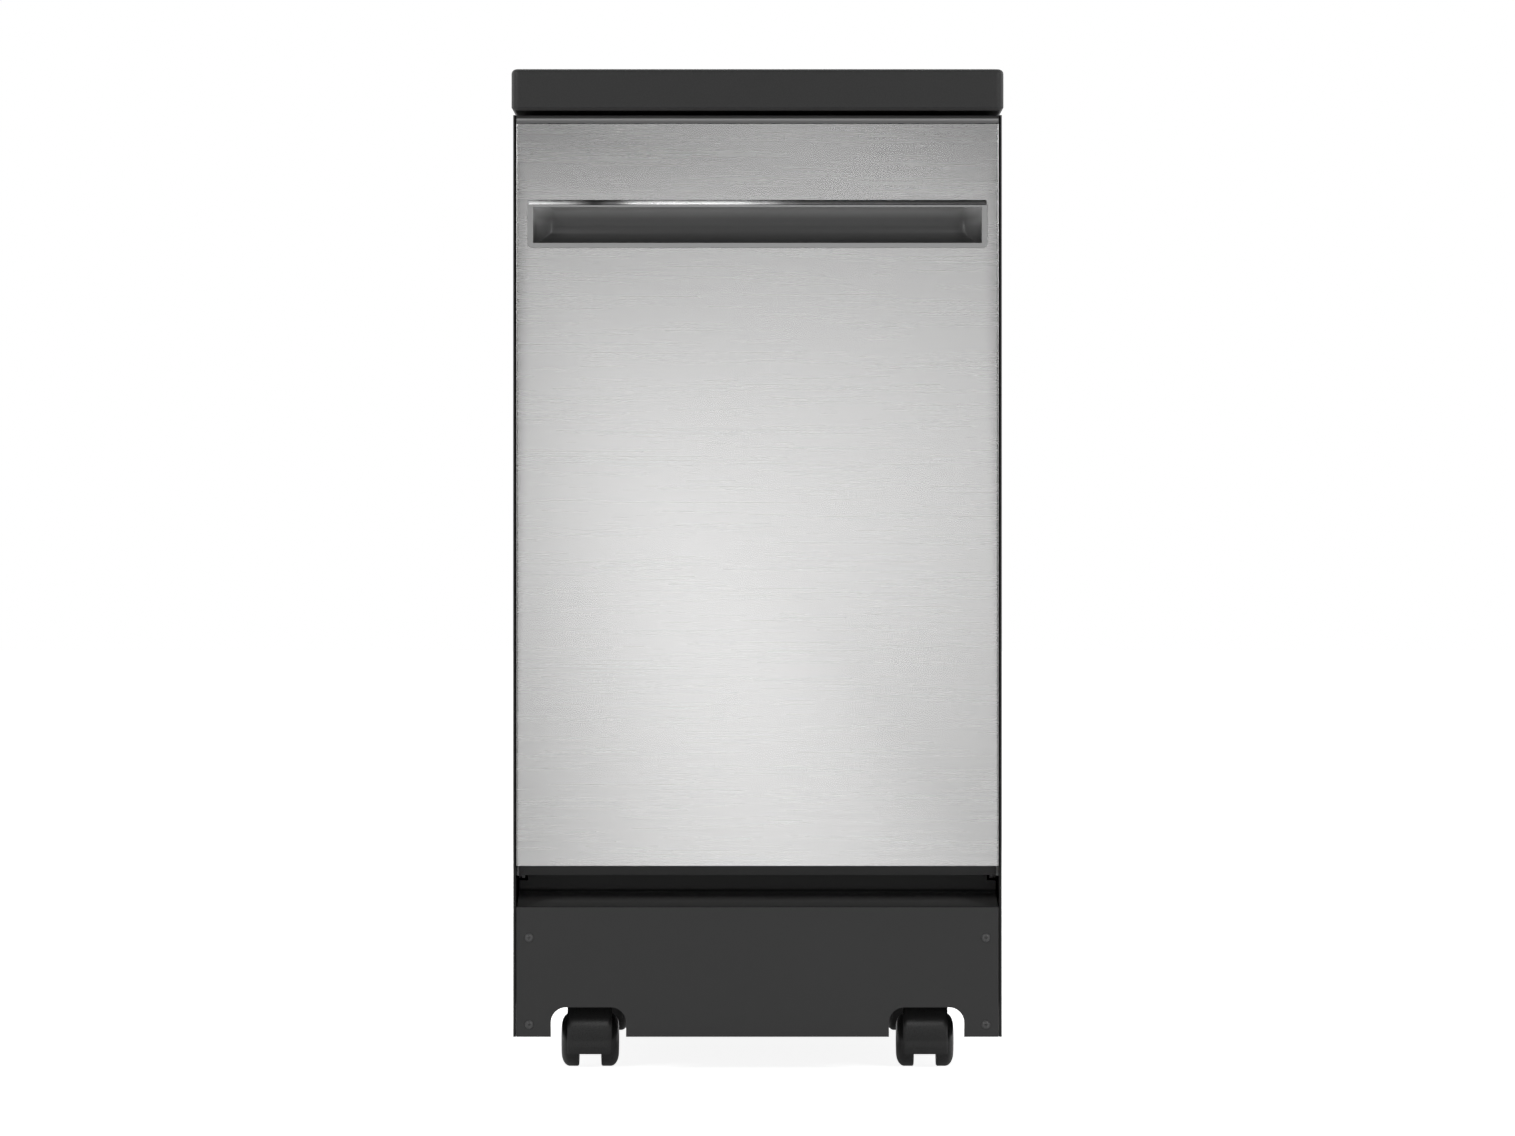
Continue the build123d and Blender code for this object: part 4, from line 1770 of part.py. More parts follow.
# DOOR BOTTOM TRIM: moulded closing strip whose wider front lip hangs below the steel skin
TRIM_WEB_Z = DOOR_BOTTOM_Z + SKIN_SHEET + SHEET_GAP / 2
TRIM_LIP_Z = DOOR_BOTTOM_Z - TRIM_LIP_DROP
with BuildPart() as door_bottom_trim:
    with BuildSketch(side_section(0)):
        with Locations((SKIN_BACK_Y, TRIM_WEB_Z)):
            Rectangle(INNER_FACE_Y - SKIN_BACK_Y, TRIM_WEB, align=(Align.MIN, Align.MIN))
    extrude(amount=INNER_HALF - TRIM_WEB_INSET, both=True)
    with BuildSketch(side_section(0)):
        with Locations((SKIN_BACK_Y, TRIM_LIP_Z)):
            Rectangle(
                TRIM_LIP,
                TRIM_WEB_Z + TRIM_WEB - TRIM_LIP_Z,
                align=(Align.MIN, Align.MIN),
            )
    extrude(amount=DOOR_HALF - TRIM_LIP_INSET, both=True)
    chamfer(
        door_bottom_trim.edges().filter_by(Axis.X).group_by(Axis.Z)[0],
        TRIM_LIP / 4,
    )
door_bottom_trim.part.label = "door_bottom_trim"
export_step(door_bottom_trim.part, "parts/door_bottom_trim.step")

# CONTROL PANEL: moulded cap along the door's top, with a bead in front and holes for the keys
KEY_Y = DOOR_FACE_Y + KEY_DEPTH_FROM_FACE
KEY_NAMES = {"power": -KEY_SPAN, "program": 0.0, "start": KEY_SPAN}
PANEL_BACK_Y = DOOR_FACE_Y + PANEL_DEPTH
with BuildPart() as control_panel:
    with BuildSketch(Plane.XY.offset(PANEL_LOW_Z)):
        with Locations((0, DOOR_FACE_Y)):
            Rectangle(2 * DOOR_HALF, PANEL_DEPTH, align=(Align.CENTER, Align.MIN))
    extrude(amount=PANEL_TOP_Z - PANEL_LOW_Z)
    fillet(
        control_panel.edges().filter_by(Axis.X).group_by(Axis.Z)[-1],
        PANEL_EDGE_R,
    )
    offset(amount=-PANEL_WALL, openings=control_panel.faces().sort_by(Axis.Z)[0])
    with BuildSketch(side_section(0)):
        with Locations((DOOR_FACE_Y, PANEL_TOP_Z - BEAD_DROP)):
            Circle(BEAD_R)
    extrude(amount=DOOR_HALF, both=True)
    with BuildSketch(Plane.XY.offset(PANEL_TOP_Z)):
        with Locations(*[(x, KEY_Y) for x in KEY_NAMES.values()]):
            Rectangle(KEY_LENGTH + 2 * KEY_GAP, KEY_WIDTH + 2 * KEY_GAP)
    extrude(amount=-PANEL_WALL, mode=Mode.SUBTRACT)
    with BuildSketch(facing(PANEL_BACK_Y)):
        with Locations((0, PANEL_LOW_Z)):
            Rectangle(
                2 * LATCH_SLOT_HALF,
                PANEL_TOP_Z - PANEL_LOW_Z - PANEL_WALL,
                align=(Align.CENTER, Align.MIN),
            )
    extrude(amount=PANEL_WALL, mode=Mode.SUBTRACT)
control_panel.part.label = "control_panel"
export_step(control_panel.part, "parts/control_panel.step")

# KEYS: proud caps with a flange held under the panel
KEY_LOW_Z = PANEL_TOP_Z - PANEL_WALL - LID_GAP - KEY_FLANGE_THICK
for key_name, key_x in KEY_NAMES.items():
    with BuildPart() as key:
        with BuildSketch(Plane.XY.offset(KEY_LOW_Z)):
            with Locations((key_x, KEY_Y)):
                Rectangle(KEY_LENGTH, KEY_WIDTH)
        extrude(amount=PANEL_TOP_Z + KEY_PROUD - KEY_LOW_Z)
        chamfer(key.faces().sort_by(Axis.Z)[-1].edges(), KEY_PROUD / 2)
        with BuildSketch(Plane.XY.offset(KEY_LOW_Z)):
            with Locations((key_x, KEY_Y)):
                Rectangle(
                    KEY_LENGTH + 2 * (KEY_GAP + KEY_FLANGE),
                    KEY_WIDTH + 2 * (KEY_GAP + KEY_FLANGE),
                )
        extrude(amount=KEY_FLANGE_THICK)
    key.part.label = f"key_{key_name}"
    export_step(key.part, f"parts/key_{key_name}.step")

# LATCH: a hook on a pin between two cheeks inside the door's top edge
LATCH_Y = INNER_FACE_Y - LATCH_PIVOT_BACK
CHEEK_LOW_X = LATCH_THICK / 2 + LATCH_CHEEK_GAP
with BuildPart() as latch_hook:
    with BuildSketch(side_section(0)):
        with Locations((LATCH_Y, LATCH_PIVOT_Z)):
            Circle(LATCH_BOSS_R)
        with BuildLine():
            Polyline(
                (LATCH_Y, LATCH_PIVOT_Z + LATCH_ARM_LOW),
                (LATCH_Y + LATCH_REACH, LATCH_PIVOT_Z + LATCH_ARM_LOW),
                (LATCH_Y + LATCH_REACH, LATCH_PIVOT_Z + LATCH_NOSE_RISE - LATCH_NOSE_LENGTH / 2),
                (LATCH_Y + LATCH_REACH - LATCH_NOSE_LENGTH / 2, LATCH_PIVOT_Z + LATCH_NOSE_RISE),
                (LATCH_Y + LATCH_REACH - LATCH_NOSE_LENGTH, LATCH_PIVOT_Z + LATCH_NOSE_RISE),
                (LATCH_Y + LATCH_REACH - LATCH_NOSE_LENGTH, LATCH_PIVOT_Z + LATCH_ARM_HIGH),
                (LATCH_Y, LATCH_PIVOT_Z + LATCH_ARM_HIGH),
                close=True,
            )
        make_face()
        with Locations((LATCH_Y, LATCH_PIVOT_Z)):
            Circle(LATCH_PIN_R + PIN_CLEARANCE, mode=Mode.SUBTRACT)
    extrude(amount=LATCH_THICK / 2, both=True)
latch_hook.part.label = "latch_hook"
export_step(latch_hook.part, "parts/latch_hook.step")

with BuildPart() as latch_housing:
    for side in (-1, 1):
        with BuildSketch(side_section(side * (CHEEK_LOW_X + LATCH_CHEEK / 2))):
            with Locations((LATCH_Y, LATCH_PIVOT_Z)):
                RectangleRounded(
                    2 * (LATCH_PIVOT_BACK - SKIN_SHEET - SHEET_GAP),
                    2 * LATCH_HOUSING_HALF,
                    LATCH_CHEEK,
                )
        extrude(amount=LATCH_CHEEK / 2, both=True)
    with BuildSketch(side_section(-CHEEK_LOW_X)):
        with Locations((LATCH_Y, LATCH_PIVOT_Z)):
            Circle(LATCH_PIN_R)
    extrude(amount=2 * CHEEK_LOW_X)
    with BuildSketch(side_section(-CHEEK_LOW_X)):
        with Locations((LATCH_Y - LATCH_PIVOT_BACK + SKIN_SHEET + SHEET_GAP, LATCH_PIVOT_Z)):
            Rectangle(
                LATCH_CHEEK,
                2 * (LATCH_HOUSING_HALF - LATCH_CHEEK),
                align=(Align.MIN, Align.CENTER),
            )
    extrude(amount=2 * CHEEK_LOW_X)
latch_housing.part.label = "latch_housing"
export_step(latch_housing.part, "parts/latch_housing.step")

# DISPENSER: face plate with a detergent cup behind a sliding lid, and a rinse-aid well
DISPENSER_FACE_Y = FIELD_Y + DISPENSER_FACE
DETERGENT_X = DISPENSER_X + DETERGENT_SHIFT
DETERGENT_Z = DISPENSER_Z + DETERGENT_RAISE
RINSE_CENTRE = (DISPENSER_X + RINSE_X, DISPENSER_Z - RINSE_DROP)
with BuildPart() as dispenser_body:
    with BuildSketch(facing(FIELD_Y)):
        with Locations((DISPENSER_X, DISPENSER_Z)):
            RectangleRounded(DISPENSER_WIDTH, DISPENSER_HEIGHT, DISPENSER_CORNER_R)
    extrude(amount=-DISPENSER_FACE)
    with BuildSketch(facing(FIELD_Y)):
        with Locations((DISPENSER_X, DISPENSER_Z)):
            RectangleRounded(
                DISPENSER_WIDTH - 2 * DISPENSER_FACE - 2 * SHEET_GAP,
                DISPENSER_HEIGHT - 2 * DISPENSER_FACE - 2 * SHEET_GAP,
                DISPENSER_CORNER_R - DISPENSER_FACE,
            )
    extrude(amount=DISPENSER_DEPTH)
    with BuildSketch(facing(DISPENSER_FACE_Y)):
        with Locations((DETERGENT_X, DETERGENT_Z)):
            RectangleRounded(DETERGENT_WIDTH, DETERGENT_HEIGHT, DETERGENT_CORNER_R)
    extrude(amount=DETERGENT_DEPTH, mode=Mode.SUBTRACT)
    with BuildSketch(facing(DISPENSER_FACE_Y)):
        for end in (-1, 1):
            with Locations(
                (
                    DETERGENT_X + LID_TRAVEL / 2,
                    DETERGENT_Z + end * (LID_HEIGHT / 2 + LID_GAP + GUIDE_HEIGHT / 2),
                )
            ):
                Rectangle(LID_WIDTH + LID_TRAVEL, GUIDE_HEIGHT)
    extrude(amount=-LID_THICK - LID_GAP)
dispenser_body.part.label = "dispenser_body"
export_step(dispenser_body.part, "parts/dispenser_body.step")

with BuildPart() as dispenser_lid:
    with BuildSketch(facing(DISPENSER_FACE_Y + LID_GAP)):
        with Locations((DETERGENT_X, DETERGENT_Z)):
            plate(LID_WIDTH, LID_HEIGHT, LID_CORNER)
    extrude(amount=-LID_THICK)
    chamfer(dispenser_lid.faces().sort_by(Axis.Y)[-1].edges(), LID_BEVEL)
dispenser_lid.part.label = "dispenser_lid"
export_step(dispenser_lid.part, "parts/dispenser_lid.step")

with BuildPart() as rinse_aid_cap:
    with BuildSketch(facing(DISPENSER_FACE_Y + RINSE_CLEARANCE)):
        with Locations(RINSE_CENTRE):
            Circle(RINSE_R)
    extrude(amount=-RINSE_THICK)
    with BuildSketch(facing(DISPENSER_FACE_Y + RINSE_CLEARANCE + RINSE_THICK)):
        for side in (-1, 1):
            with Locations((RINSE_CENTRE[0], RINSE_CENTRE[1] + side * RINSE_GRIP_HALF)):
                Rectangle(
                    2 * (RINSE_GRIP_REACH - RINSE_GRIP_HALF),
                    RINSE_GRIP_REACH - 2 * RINSE_GRIP_HALF,
                    align=(Align.CENTER, Align.MIN if side > 0 else Align.MAX),
                )
    extrude(amount=RINSE_GRIP_DEPTH, mode=Mode.SUBTRACT)
rinse_aid_cap.part.label = "rinse_aid_cap"
export_step(rinse_aid_cap.part, "parts/rinse_aid_cap.step")

# HINGE ARMS: riveted to the door's sides, pinned near its lower edge, with a lever for the spring
HINGE_ARM_X = INNER_HALF + ARM_GAP
with BuildPart() as hinge_arm:
    with BuildSketch(side_section(HINGE_ARM_X)):
        with Locations((HINGE_Y, HINGE_Z)):
            disc(ARM_BOSS_R, TUBE_SIDES)
            Rectangle(2 * ARM_UPPER_HALF, ARM_UPPER, align=(Align.CENTER, Align.MIN))
            Rectangle(ARM_LEVER, 2 * ARM_LEVER_HALF, align=(Align.MIN, Align.CENTER))
            Circle(PIN_R + PIN_CLEARANCE, mode=Mode.SUBTRACT)
        with Locations((HINGE_Y + ARM_LEVER - ARM_LEVER_HALF, HINGE_Z)):
            RegularPolygon(radius=ARM_EYE_R, side_count=SPRING_SIDES, mode=Mode.SUBTRACT)
    extrude(amount=ARM_PLATE)
    with BuildSketch(side_section(INNER_HALF)):
        with Locations(*[(HINGE_Y, HINGE_Z + rise) for rise in ARM_RIVET_RISES]):
            disc(ARM_RIVET_R, ROD_SIDES)
    extrude(amount=ARM_GAP)
hinge_arms = group("hinge_arms", mirrored(hinge_arm.part))
export_step(hinge_arms, "parts/hinge_arms.step")

# HINGE BRACKETS: plates on the side panels with the hinge pins, and the springs' rear anchors
HINGE_BRACKET_X = HINGE_ARM_X + ARM_PLATE + ARM_GAP
SPRING_FRONT_Y = HINGE_Y + ARM_LEVER + SPRING_HOOK
SPRING_REAR_Y = SPRING_FRONT_Y + SPRING_LENGTH
with BuildPart() as hinge_bracket:
    with BuildSketch(side_section(HINGE_BRACKET_X)):
        with Locations((HINGE_Y, HINGE_Z)):
            disc(HINGE_BRACKET_RISE, TUBE_SIDES)
            Rectangle(
                HINGE_BRACKET_BACK,
                2 * HINGE_BRACKET_RISE,
                align=(Align.MIN, Align.CENTER),
            )
    extrude(amount=BRACKET_SHEET)
    with BuildSketch(side_section(HINGE_BRACKET_X)):
        with Locations((HINGE_Y + HINGE_BRACKET_BACK, HINGE_Z)):
            Rectangle(
                2 * HINGE_BRACKET_RISE,
                2 * HINGE_BRACKET_RISE,
                align=(Align.MAX, Align.CENTER),
            )
    extrude(amount=BODY_HALF - SHEET - HINGE_BRACKET_X)
    with BuildSketch(side_section(HINGE_BRACKET_X + BRACKET_SHEET)):
        with Locations((HINGE_Y, HINGE_Z)):
            Circle(PIN_R)
    extrude(amount=-BRACKET_SHEET - 2 * ARM_GAP - ARM_PLATE + PIN_END_GAP)
    with BuildSketch(Plane.XY.offset(HINGE_Z - HINGE_BRACKET_RISE)):
        with Locations((HINGE_ARM_X - SPRING_R, SPRING_REAR_Y)):
            Rectangle(
                BODY_HALF - SHEET - HINGE_ARM_X + SPRING_R,
                SPRING_ANCHOR,
                align=(Align.MIN, Align.MIN),
            )
    extrude(amount=2 * HINGE_BRACKET_RISE)
hinge_brackets = group("hinge_brackets", mirrored(hinge_bracket.part))
export_step(hinge_brackets, "parts/hinge_brackets.step")

# DOOR SPRINGS: balance springs from the hinge levers to the rear, outside the tub
with BuildPart() as door_spring:
    with BuildSketch(facing(SPRING_FRONT_Y)):
        with Locations((HINGE_ARM_X + ARM_PLATE / 2, HINGE_Z)):
            disc(SPRING_R, SPRING_SIDES)
            RegularPolygon(radius=SPRING_BORE_R, side_count=SPRING_SIDES, mode=Mode.SUBTRACT)
    extrude(amount=-SPRING_LENGTH)
door_springs = group("door_springs", mirrored(door_spring.part))
export_step(door_springs, "parts/door_springs.step")

# TOP FRAME: folded rails across the front and rear under the worktop, with the latch strike
FRAME_TOP_Z = BODY_TOP_Z - SHEET - SHEET_GAP
FRAME_HALF = BODY_HALF - SHEET - FRAME_SIDE_GAP
STRIKE_Y = INNER_FACE_Y + STRIKE_BACK
FRAME_FRONT_Y = INNER_FACE_Y + FRAME_SETBACK
FRAME_REAR_Y = BODY_REAR_Y - FRAME_DEPTH - FRAME_SETBACK
with BuildPart() as top_frame:
    for rail_y in (FRAME_FRONT_Y, FRAME_REAR_Y):
        with BuildSketch(side_section(0)):
            with BuildLine():
                Polyline(
                    (rail_y, FRAME_TOP_Z),
                    (rail_y + FRAME_DEPTH, FRAME_TOP_Z),
                    (rail_y + FRAME_DEPTH, FRAME_TOP_Z - FRAME_HEIGHT),
                    (rail_y + FRAME_DEPTH - FRAME_SHEET, FRAME_TOP_Z - FRAME_HEIGHT),
                    (rail_y + FRAME_DEPTH - FRAME_SHEET, FRAME_TOP_Z - FRAME_SHEET),
                    (rail_y, FRAME_TOP_Z - FRAME_SHEET),
                    close=True,
                )
            make_face()
        extrude(amount=FRAME_HALF, both=True)
    with BuildSketch(side_section(0)):
        with Locations((STRIKE_Y, STRIKE_Z)):
            Circle(STRIKE_R)
    extrude(amount=STRIKE_HALF, both=True)
    with BuildSketch(Plane.XY.offset(STRIKE_Z)):
        with Locations((-STRIKE_HALF + STRIKE_R, STRIKE_Y), (STRIKE_HALF - STRIKE_R, STRIKE_Y)):
            Circle(STRIKE_R)
    extrude(amount=FRAME_TOP_Z - STRIKE_Z - FRAME_SHEET / 2)
top_frame.part.label = "top_frame"
export_step(top_frame.part, "parts/top_frame.step")

# WASH PUMP: motor barrel on a wider volute, lying on its foot in the base
BASE_INSIDE_Z = BASE_FLOOR_Z + BASE_FLOOR_THICK
PUMP_X = SUMP_BORE_R + PUMP_SUMP_GAP
PUMP_Y = TUB_CENTRE_Y + PUMP_BACK
PUMP_Z = BASE_INSIDE_Z + PUMP_FOOT + PUMP_VOLUTE_R
with BuildPart() as wash_pump:
    with BuildSketch(facing(PUMP_Y)):
        with Locations((PUMP_X, PUMP_Z)):
            disc(PUMP_R, MOTOR_SIDES)
    extrude(amount=PUMP_LENGTH / 2, both=True)
    with BuildSketch(facing(PUMP_Y - PUMP_LENGTH / 2)):
        with Locations((PUMP_X, PUMP_Z)):
            disc(PUMP_VOLUTE_R, MOTOR_SIDES)
    extrude(amount=PUMP_VOLUTE_LENGTH)
    chamfer(wash_pump.faces().sort_by(Axis.Y)[-1].edges(), PUMP_BEVEL)
    with BuildSketch(Plane.XY.offset(BASE_INSIDE_Z)):
        with Locations((PUMP_X, PUMP_Y)):
            Rectangle(2 * PUMP_FOOT, PUMP_LENGTH)
    extrude(amount=PUMP_VOLUTE_R)
wash_pump.part.label = "wash_pump"
export_step(wash_pump.part, "parts/wash_pump.step")

# DRAIN PUMP: smaller motor on its own foot
DRAIN_PUMP_X = -SUMP_BORE_R - DRAIN_PUMP_SUMP_GAP
DRAIN_PUMP_Y = TUB_CENTRE_Y - DRAIN_PUMP_AHEAD
with BuildPart() as drain_pump:
    with BuildSketch(facing(DRAIN_PUMP_Y)):
        with Locations((DRAIN_PUMP_X, BASE_INSIDE_Z + PUMP_FOOT + DRAIN_PUMP_R)):
            disc(DRAIN_PUMP_R, MOTOR_SIDES)
    extrude(amount=DRAIN_PUMP_LENGTH / 2, both=True)
    chamfer(drain_pump.faces().filter_by(Axis.Y).edges(), PUMP_BEVEL)
    with BuildSketch(Plane.XY.offset(BASE_INSIDE_Z)):
        with Locations((DRAIN_PUMP_X, DRAIN_PUMP_Y)):
            Rectangle(PUMP_FOOT, DRAIN_PUMP_LENGTH - 4 * PUMP_BEVEL)
    extrude(amount=PUMP_FOOT + PUMP_BEVEL)
drain_pump.part.label = "drain_pump"
export_step(drain_pump.part, "parts/drain_pump.step")
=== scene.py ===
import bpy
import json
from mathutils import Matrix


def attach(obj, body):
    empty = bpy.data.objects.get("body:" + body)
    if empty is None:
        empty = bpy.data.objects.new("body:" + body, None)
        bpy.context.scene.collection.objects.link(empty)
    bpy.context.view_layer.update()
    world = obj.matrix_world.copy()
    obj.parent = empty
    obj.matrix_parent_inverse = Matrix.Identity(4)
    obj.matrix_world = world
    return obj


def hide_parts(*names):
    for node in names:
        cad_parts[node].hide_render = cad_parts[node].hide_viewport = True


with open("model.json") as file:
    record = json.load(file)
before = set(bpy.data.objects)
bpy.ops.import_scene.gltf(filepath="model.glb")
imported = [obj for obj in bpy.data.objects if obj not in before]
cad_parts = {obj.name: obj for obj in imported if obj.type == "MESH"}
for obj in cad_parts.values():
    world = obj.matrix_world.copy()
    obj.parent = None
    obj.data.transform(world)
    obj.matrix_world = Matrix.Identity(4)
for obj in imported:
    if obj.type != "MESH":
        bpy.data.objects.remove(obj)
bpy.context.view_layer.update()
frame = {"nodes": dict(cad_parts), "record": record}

# Portable dishwasher: the looks of each piece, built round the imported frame.
# Sizes in the dataclasses are millimetres in the machine's own frame, and every mesh is made in metres.

import json
import logging
import math
from dataclasses import dataclass, fields
from enum import Enum
from typing import Sequence

import bmesh
import bpy
from mathutils import Euler, Matrix, Vector

LOG = logging.getLogger("dishwasher")
MM = 0.001
WHITE = (1.0, 1.0, 1.0, 1.0)
Point = tuple[float, float, float]
Pair = tuple[float, float]
Socket = bpy.types.NodeSocket
Corner = bmesh.types.BMVert
BODY_OF = {
    node: body
    for body, nodes in frame["record"]["behaviour"]["bodies"].items()
    for node in nodes
}
HINGE_PLACES = {
    joint["name"]: tuple(value / MM for value in joint["pos_m"])
    for joint in frame["record"]["behaviour"]["joints"]
    if joint["type"] == "hinge"
}
CASTERS = ("fl", "fr", "rl", "rr")


class Axis(Enum):
    """A direction of the machine: across, along or upright."""

    ACROSS = 0
    ALONG = 1
    UPRIGHT = 2


class Ray(Enum):
    """A kind of light ray, by the name of its socket."""

    CAMERA = "Is Camera Ray"
    GLOSSY = "Is Glossy Ray"
    TRANSMISSION = "Is Transmission Ray"


class Coordinates(Enum):
    """What a pattern is placed by: the piece's own frame or, for the sky, the world's directions."""

    OBJECT = "Object"
    DIRECTION = "Generated"


class Blend(Enum):
    """How colours pass from stop to stop."""

    STRAIGHT = "LINEAR"
    EASED = "EASE"


def spread(low: float, high: float, count: int) -> list[float]:
    """Evenly spaced values from low to high."""
    return [low + (high - low) * i / (count - 1) for i in range(count)]


# Shader trees

# Most values of a noise texture lie in this range.
NOISE_RANGE = (0.3, 0.7)


class ShaderTree:
    """Writes nodes into a shader tree."""

    def __init__(self, tree: bpy.types.NodeTree) -> None:
        """Takes the tree to write into."""
        self.tree = tree

    def node(self, kind: str, **settings: object) -> bpy.types.Node:
        """Adds a node.

        Args:
            kind: the node's type name without its ShaderNode prefix.
            settings: attributes to set on the node.

        Returns:
            The new node.
        """
        made = self.tree.nodes.new("ShaderNode" + kind)
        for key, value in settings.items():
            setattr(made, key, value)
        return made

    def join(self, output: Socket, target: Socket) -> None:
        """Links one socket to another."""
        self.tree.links.new(output, target)

    def calculate(self, operation: str, *terms: Socket | float) -> Socket:
        """Adds a Math node.

        Args:
            operation: the node's operation.
            terms: its inputs in order, each a socket or a plain value.

        Returns:
            The result's socket.
        """
        made = self.node("Math", operation=operation)
        for target, term in zip(made.inputs, terms):
            if isinstance(term, Socket):
                self.join(term, target)
            else:
                target.default_value = term
        return made.outputs["Value"]

    def remap(self, value: Socket, source: Pair, result: Pair = (0.0, 1.0)) -> Socket:
        """Maps one range of a value onto another, and holds the ends beyond it.

        Args:
            value: the socket to read.
            source: the range that the value runs over.
            result: the range that it is mapped onto.

        Returns:
            The mapped value's socket.
        """
        mapped = self.node("MapRange")
        for name, end in zip(("From Min", "From Max", "To Min", "To Max"), (*source, *result)):
            mapped.inputs[name].default_value = end
        self.join(value, mapped.inputs["Value"])
        return mapped.outputs["Result"]

    def axes(self, system: Coordinates = Coordinates.OBJECT) -> bpy.types.Node:
        """Splits a coordinate system into its axes.

        Args:
            system: the coordinates to split.

        Returns:
            A node whose outputs are X, Y and Z.
        """
        place = self.node("TexCoord")
        split = self.node("SeparateXYZ")
        self.join(place.outputs[system.value], split.inputs["Vector"])
        return split

    def rays(self, *kinds: Ray) -> Socket:
        """Tells kinds of ray apart from the rest.

        Args:
            kinds: the kinds of ray to tell apart from the rest.

        Returns:
            A socket that is 1 for rays of any of the kinds, else 0.
        """
        path = self.node("LightPath")
        seen = path.outputs[kinds[0].value]
        for kind in kinds[1:]:
            seen = self.calculate("MAXIMUM", seen, path.outputs[kind.value])
        return seen


def tone(level: float, warm: float = 0.0) -> Point:
    """A neutral linear colour, slightly warm or cool.

    Args:
        level: linear brightness.
        warm: share by which red is raised and blue lowered.

    Returns:
        Red, green and blue.
    """
    return (level * (1 + warm), level, level * (1 - warm))


class ShaderSheet(ShaderTree):
    """Writes the shader nodes of one material."""

    def __init__(self, name: str) -> None:
        """Starts a material whose only shader is a principled one.

        Args:
            name: the material's name.
        """
        self.material = bpy.data.materials.new(name)
        self.material.use_nodes = True
        super().__init__(self.material.node_tree)
        self.shader = self.tree.nodes["Principled BSDF"]

    def noise(self, cells: Point | float, detail: float = 3.0, rough: float = 0.55) -> Socket:
        """Adds noise on Object coordinates.

        Args:
            cells: noise cells in a metre, one value or one for each of X, Y and Z.
            detail: octaves of finer noise.
            rough: how strong the finer octaves are.

        Returns:
            The noise's value socket.
        """
        place = self.node("TexCoord")
        scale = self.node("Mapping")
        scale.inputs["Scale"].default_value = cells if isinstance(cells, tuple) else (cells,) * len(Axis)
        noise = self.node("TexNoise")
        for name, value in (("Scale", 1.0), ("Detail", detail), ("Roughness", rough)):
            noise.inputs[name].default_value = value
        self.join(place.outputs["Object"], scale.inputs["Vector"])
        self.join(scale.outputs["Vector"], noise.inputs["Vector"])
        return noise.outputs["Fac"]

    def ramp(
        self, value: Socket, stops: Sequence[tuple[float, Point]], blend: Blend = Blend.STRAIGHT
    ) -> Socket:
        """Maps a value onto colours.

        Args:
            value: the socket to read.
            stops: positions with their linear colours.
            blend: how colours pass from stop to stop.

        Returns:
            The colour socket.
        """
        ramp = self.node("ValToRGB")
        ramp.color_ramp.interpolation = blend.value
        while len(ramp.color_ramp.elements) < len(stops):
            ramp.color_ramp.elements.new(position=0.5)
        for element, (position, colour) in zip(ramp.color_ramp.elements, stops):
            element.position = position
            element.color = (*colour, 1.0)
        self.join(value, ramp.inputs["Fac"])
        return ramp.outputs["Color"]

    def bands(self, place: Socket, stops: Sequence[Pair], blend: Blend = Blend.STRAIGHT) -> Socket:
        """Maps a place onto grey levels.

        Args:
            place: the coordinate's socket.
            stops: places in millimetres, each with its linear level.
            blend: how levels pass from stop to stop.

        Returns:
            The colour socket.
        """
        low, high = stops[0][0], stops[-1][0]
        share = self.remap(place, (low * MM, high * MM))
        levels = [((stop - low) / (high - low), tone(level)) for stop, level in stops]
        return self.ramp(share, levels, blend)

    def vary_colour(self, value: Socket, ends: Pair, colour: Point, shades: Pair) -> None:
        """Lets the base colour drift with a value.

        Args:
            value: the socket to read.
            ends: the values at which the colour is darkest and lightest.
            colour: the finish's own colour.
            shades: what it is multiplied by at each end.
        """
        stops = [
            (end, tuple(min(1.0, channel * shade) for channel in colour))
            for end, shade in zip(ends, shades)
        ]
        self.join(self.ramp(value, stops), self.shader.inputs["Base Color"])

    def vary_roughness(self, value: Socket, middle: float, swing: float) -> None:
        """Lets the roughness swing about its middle with a value of noise."""
        rough = self.remap(value, NOISE_RANGE, (middle - swing, middle + swing))
        self.join(rough, self.shader.inputs["Roughness"])

    def relief(self, value: Socket, depth: float, strength: float) -> None:
        """Raises the surface by a value.

        Args:
            value: the height's socket.
            depth: the relief's full depth in millimetres.
            strength: how much of it shows.
        """
        bump = self.node("Bump")
        bump.inputs["Distance"].default_value = depth * MM
        bump.inputs["Strength"].default_value = strength
        self.join(value, bump.inputs["Height"])
        self.join(bump.outputs["Normal"], self.shader.inputs["Normal"])

    def set(self, **values: float) -> None:
        """Sets plain values on the shader's own sockets, named with underscores for spaces."""
        for key, value in values.items():
            self.shader.inputs[key.replace("_", " ")].default_value = value


# Finishes


@dataclass(frozen=True)
class Finish:
    """A surface finish that makes its material once. Its cells are counted in a metre."""

    name: str

    def write(self, sheet: ShaderSheet) -> None:
        """Writes the finish's nodes.

        Args:
            sheet: the sheet of the finish's material.
        """
        raise NotImplementedError

    def material(self) -> bpy.types.Material:
        """Makes the finish's material on first use.

        Returns:
            The finish's material.
        """
        made = bpy.data.materials.get(self.name)
        if made is None:
            sheet = ShaderSheet(self.name)
            self.write(sheet)
            made = sheet.material
        return made


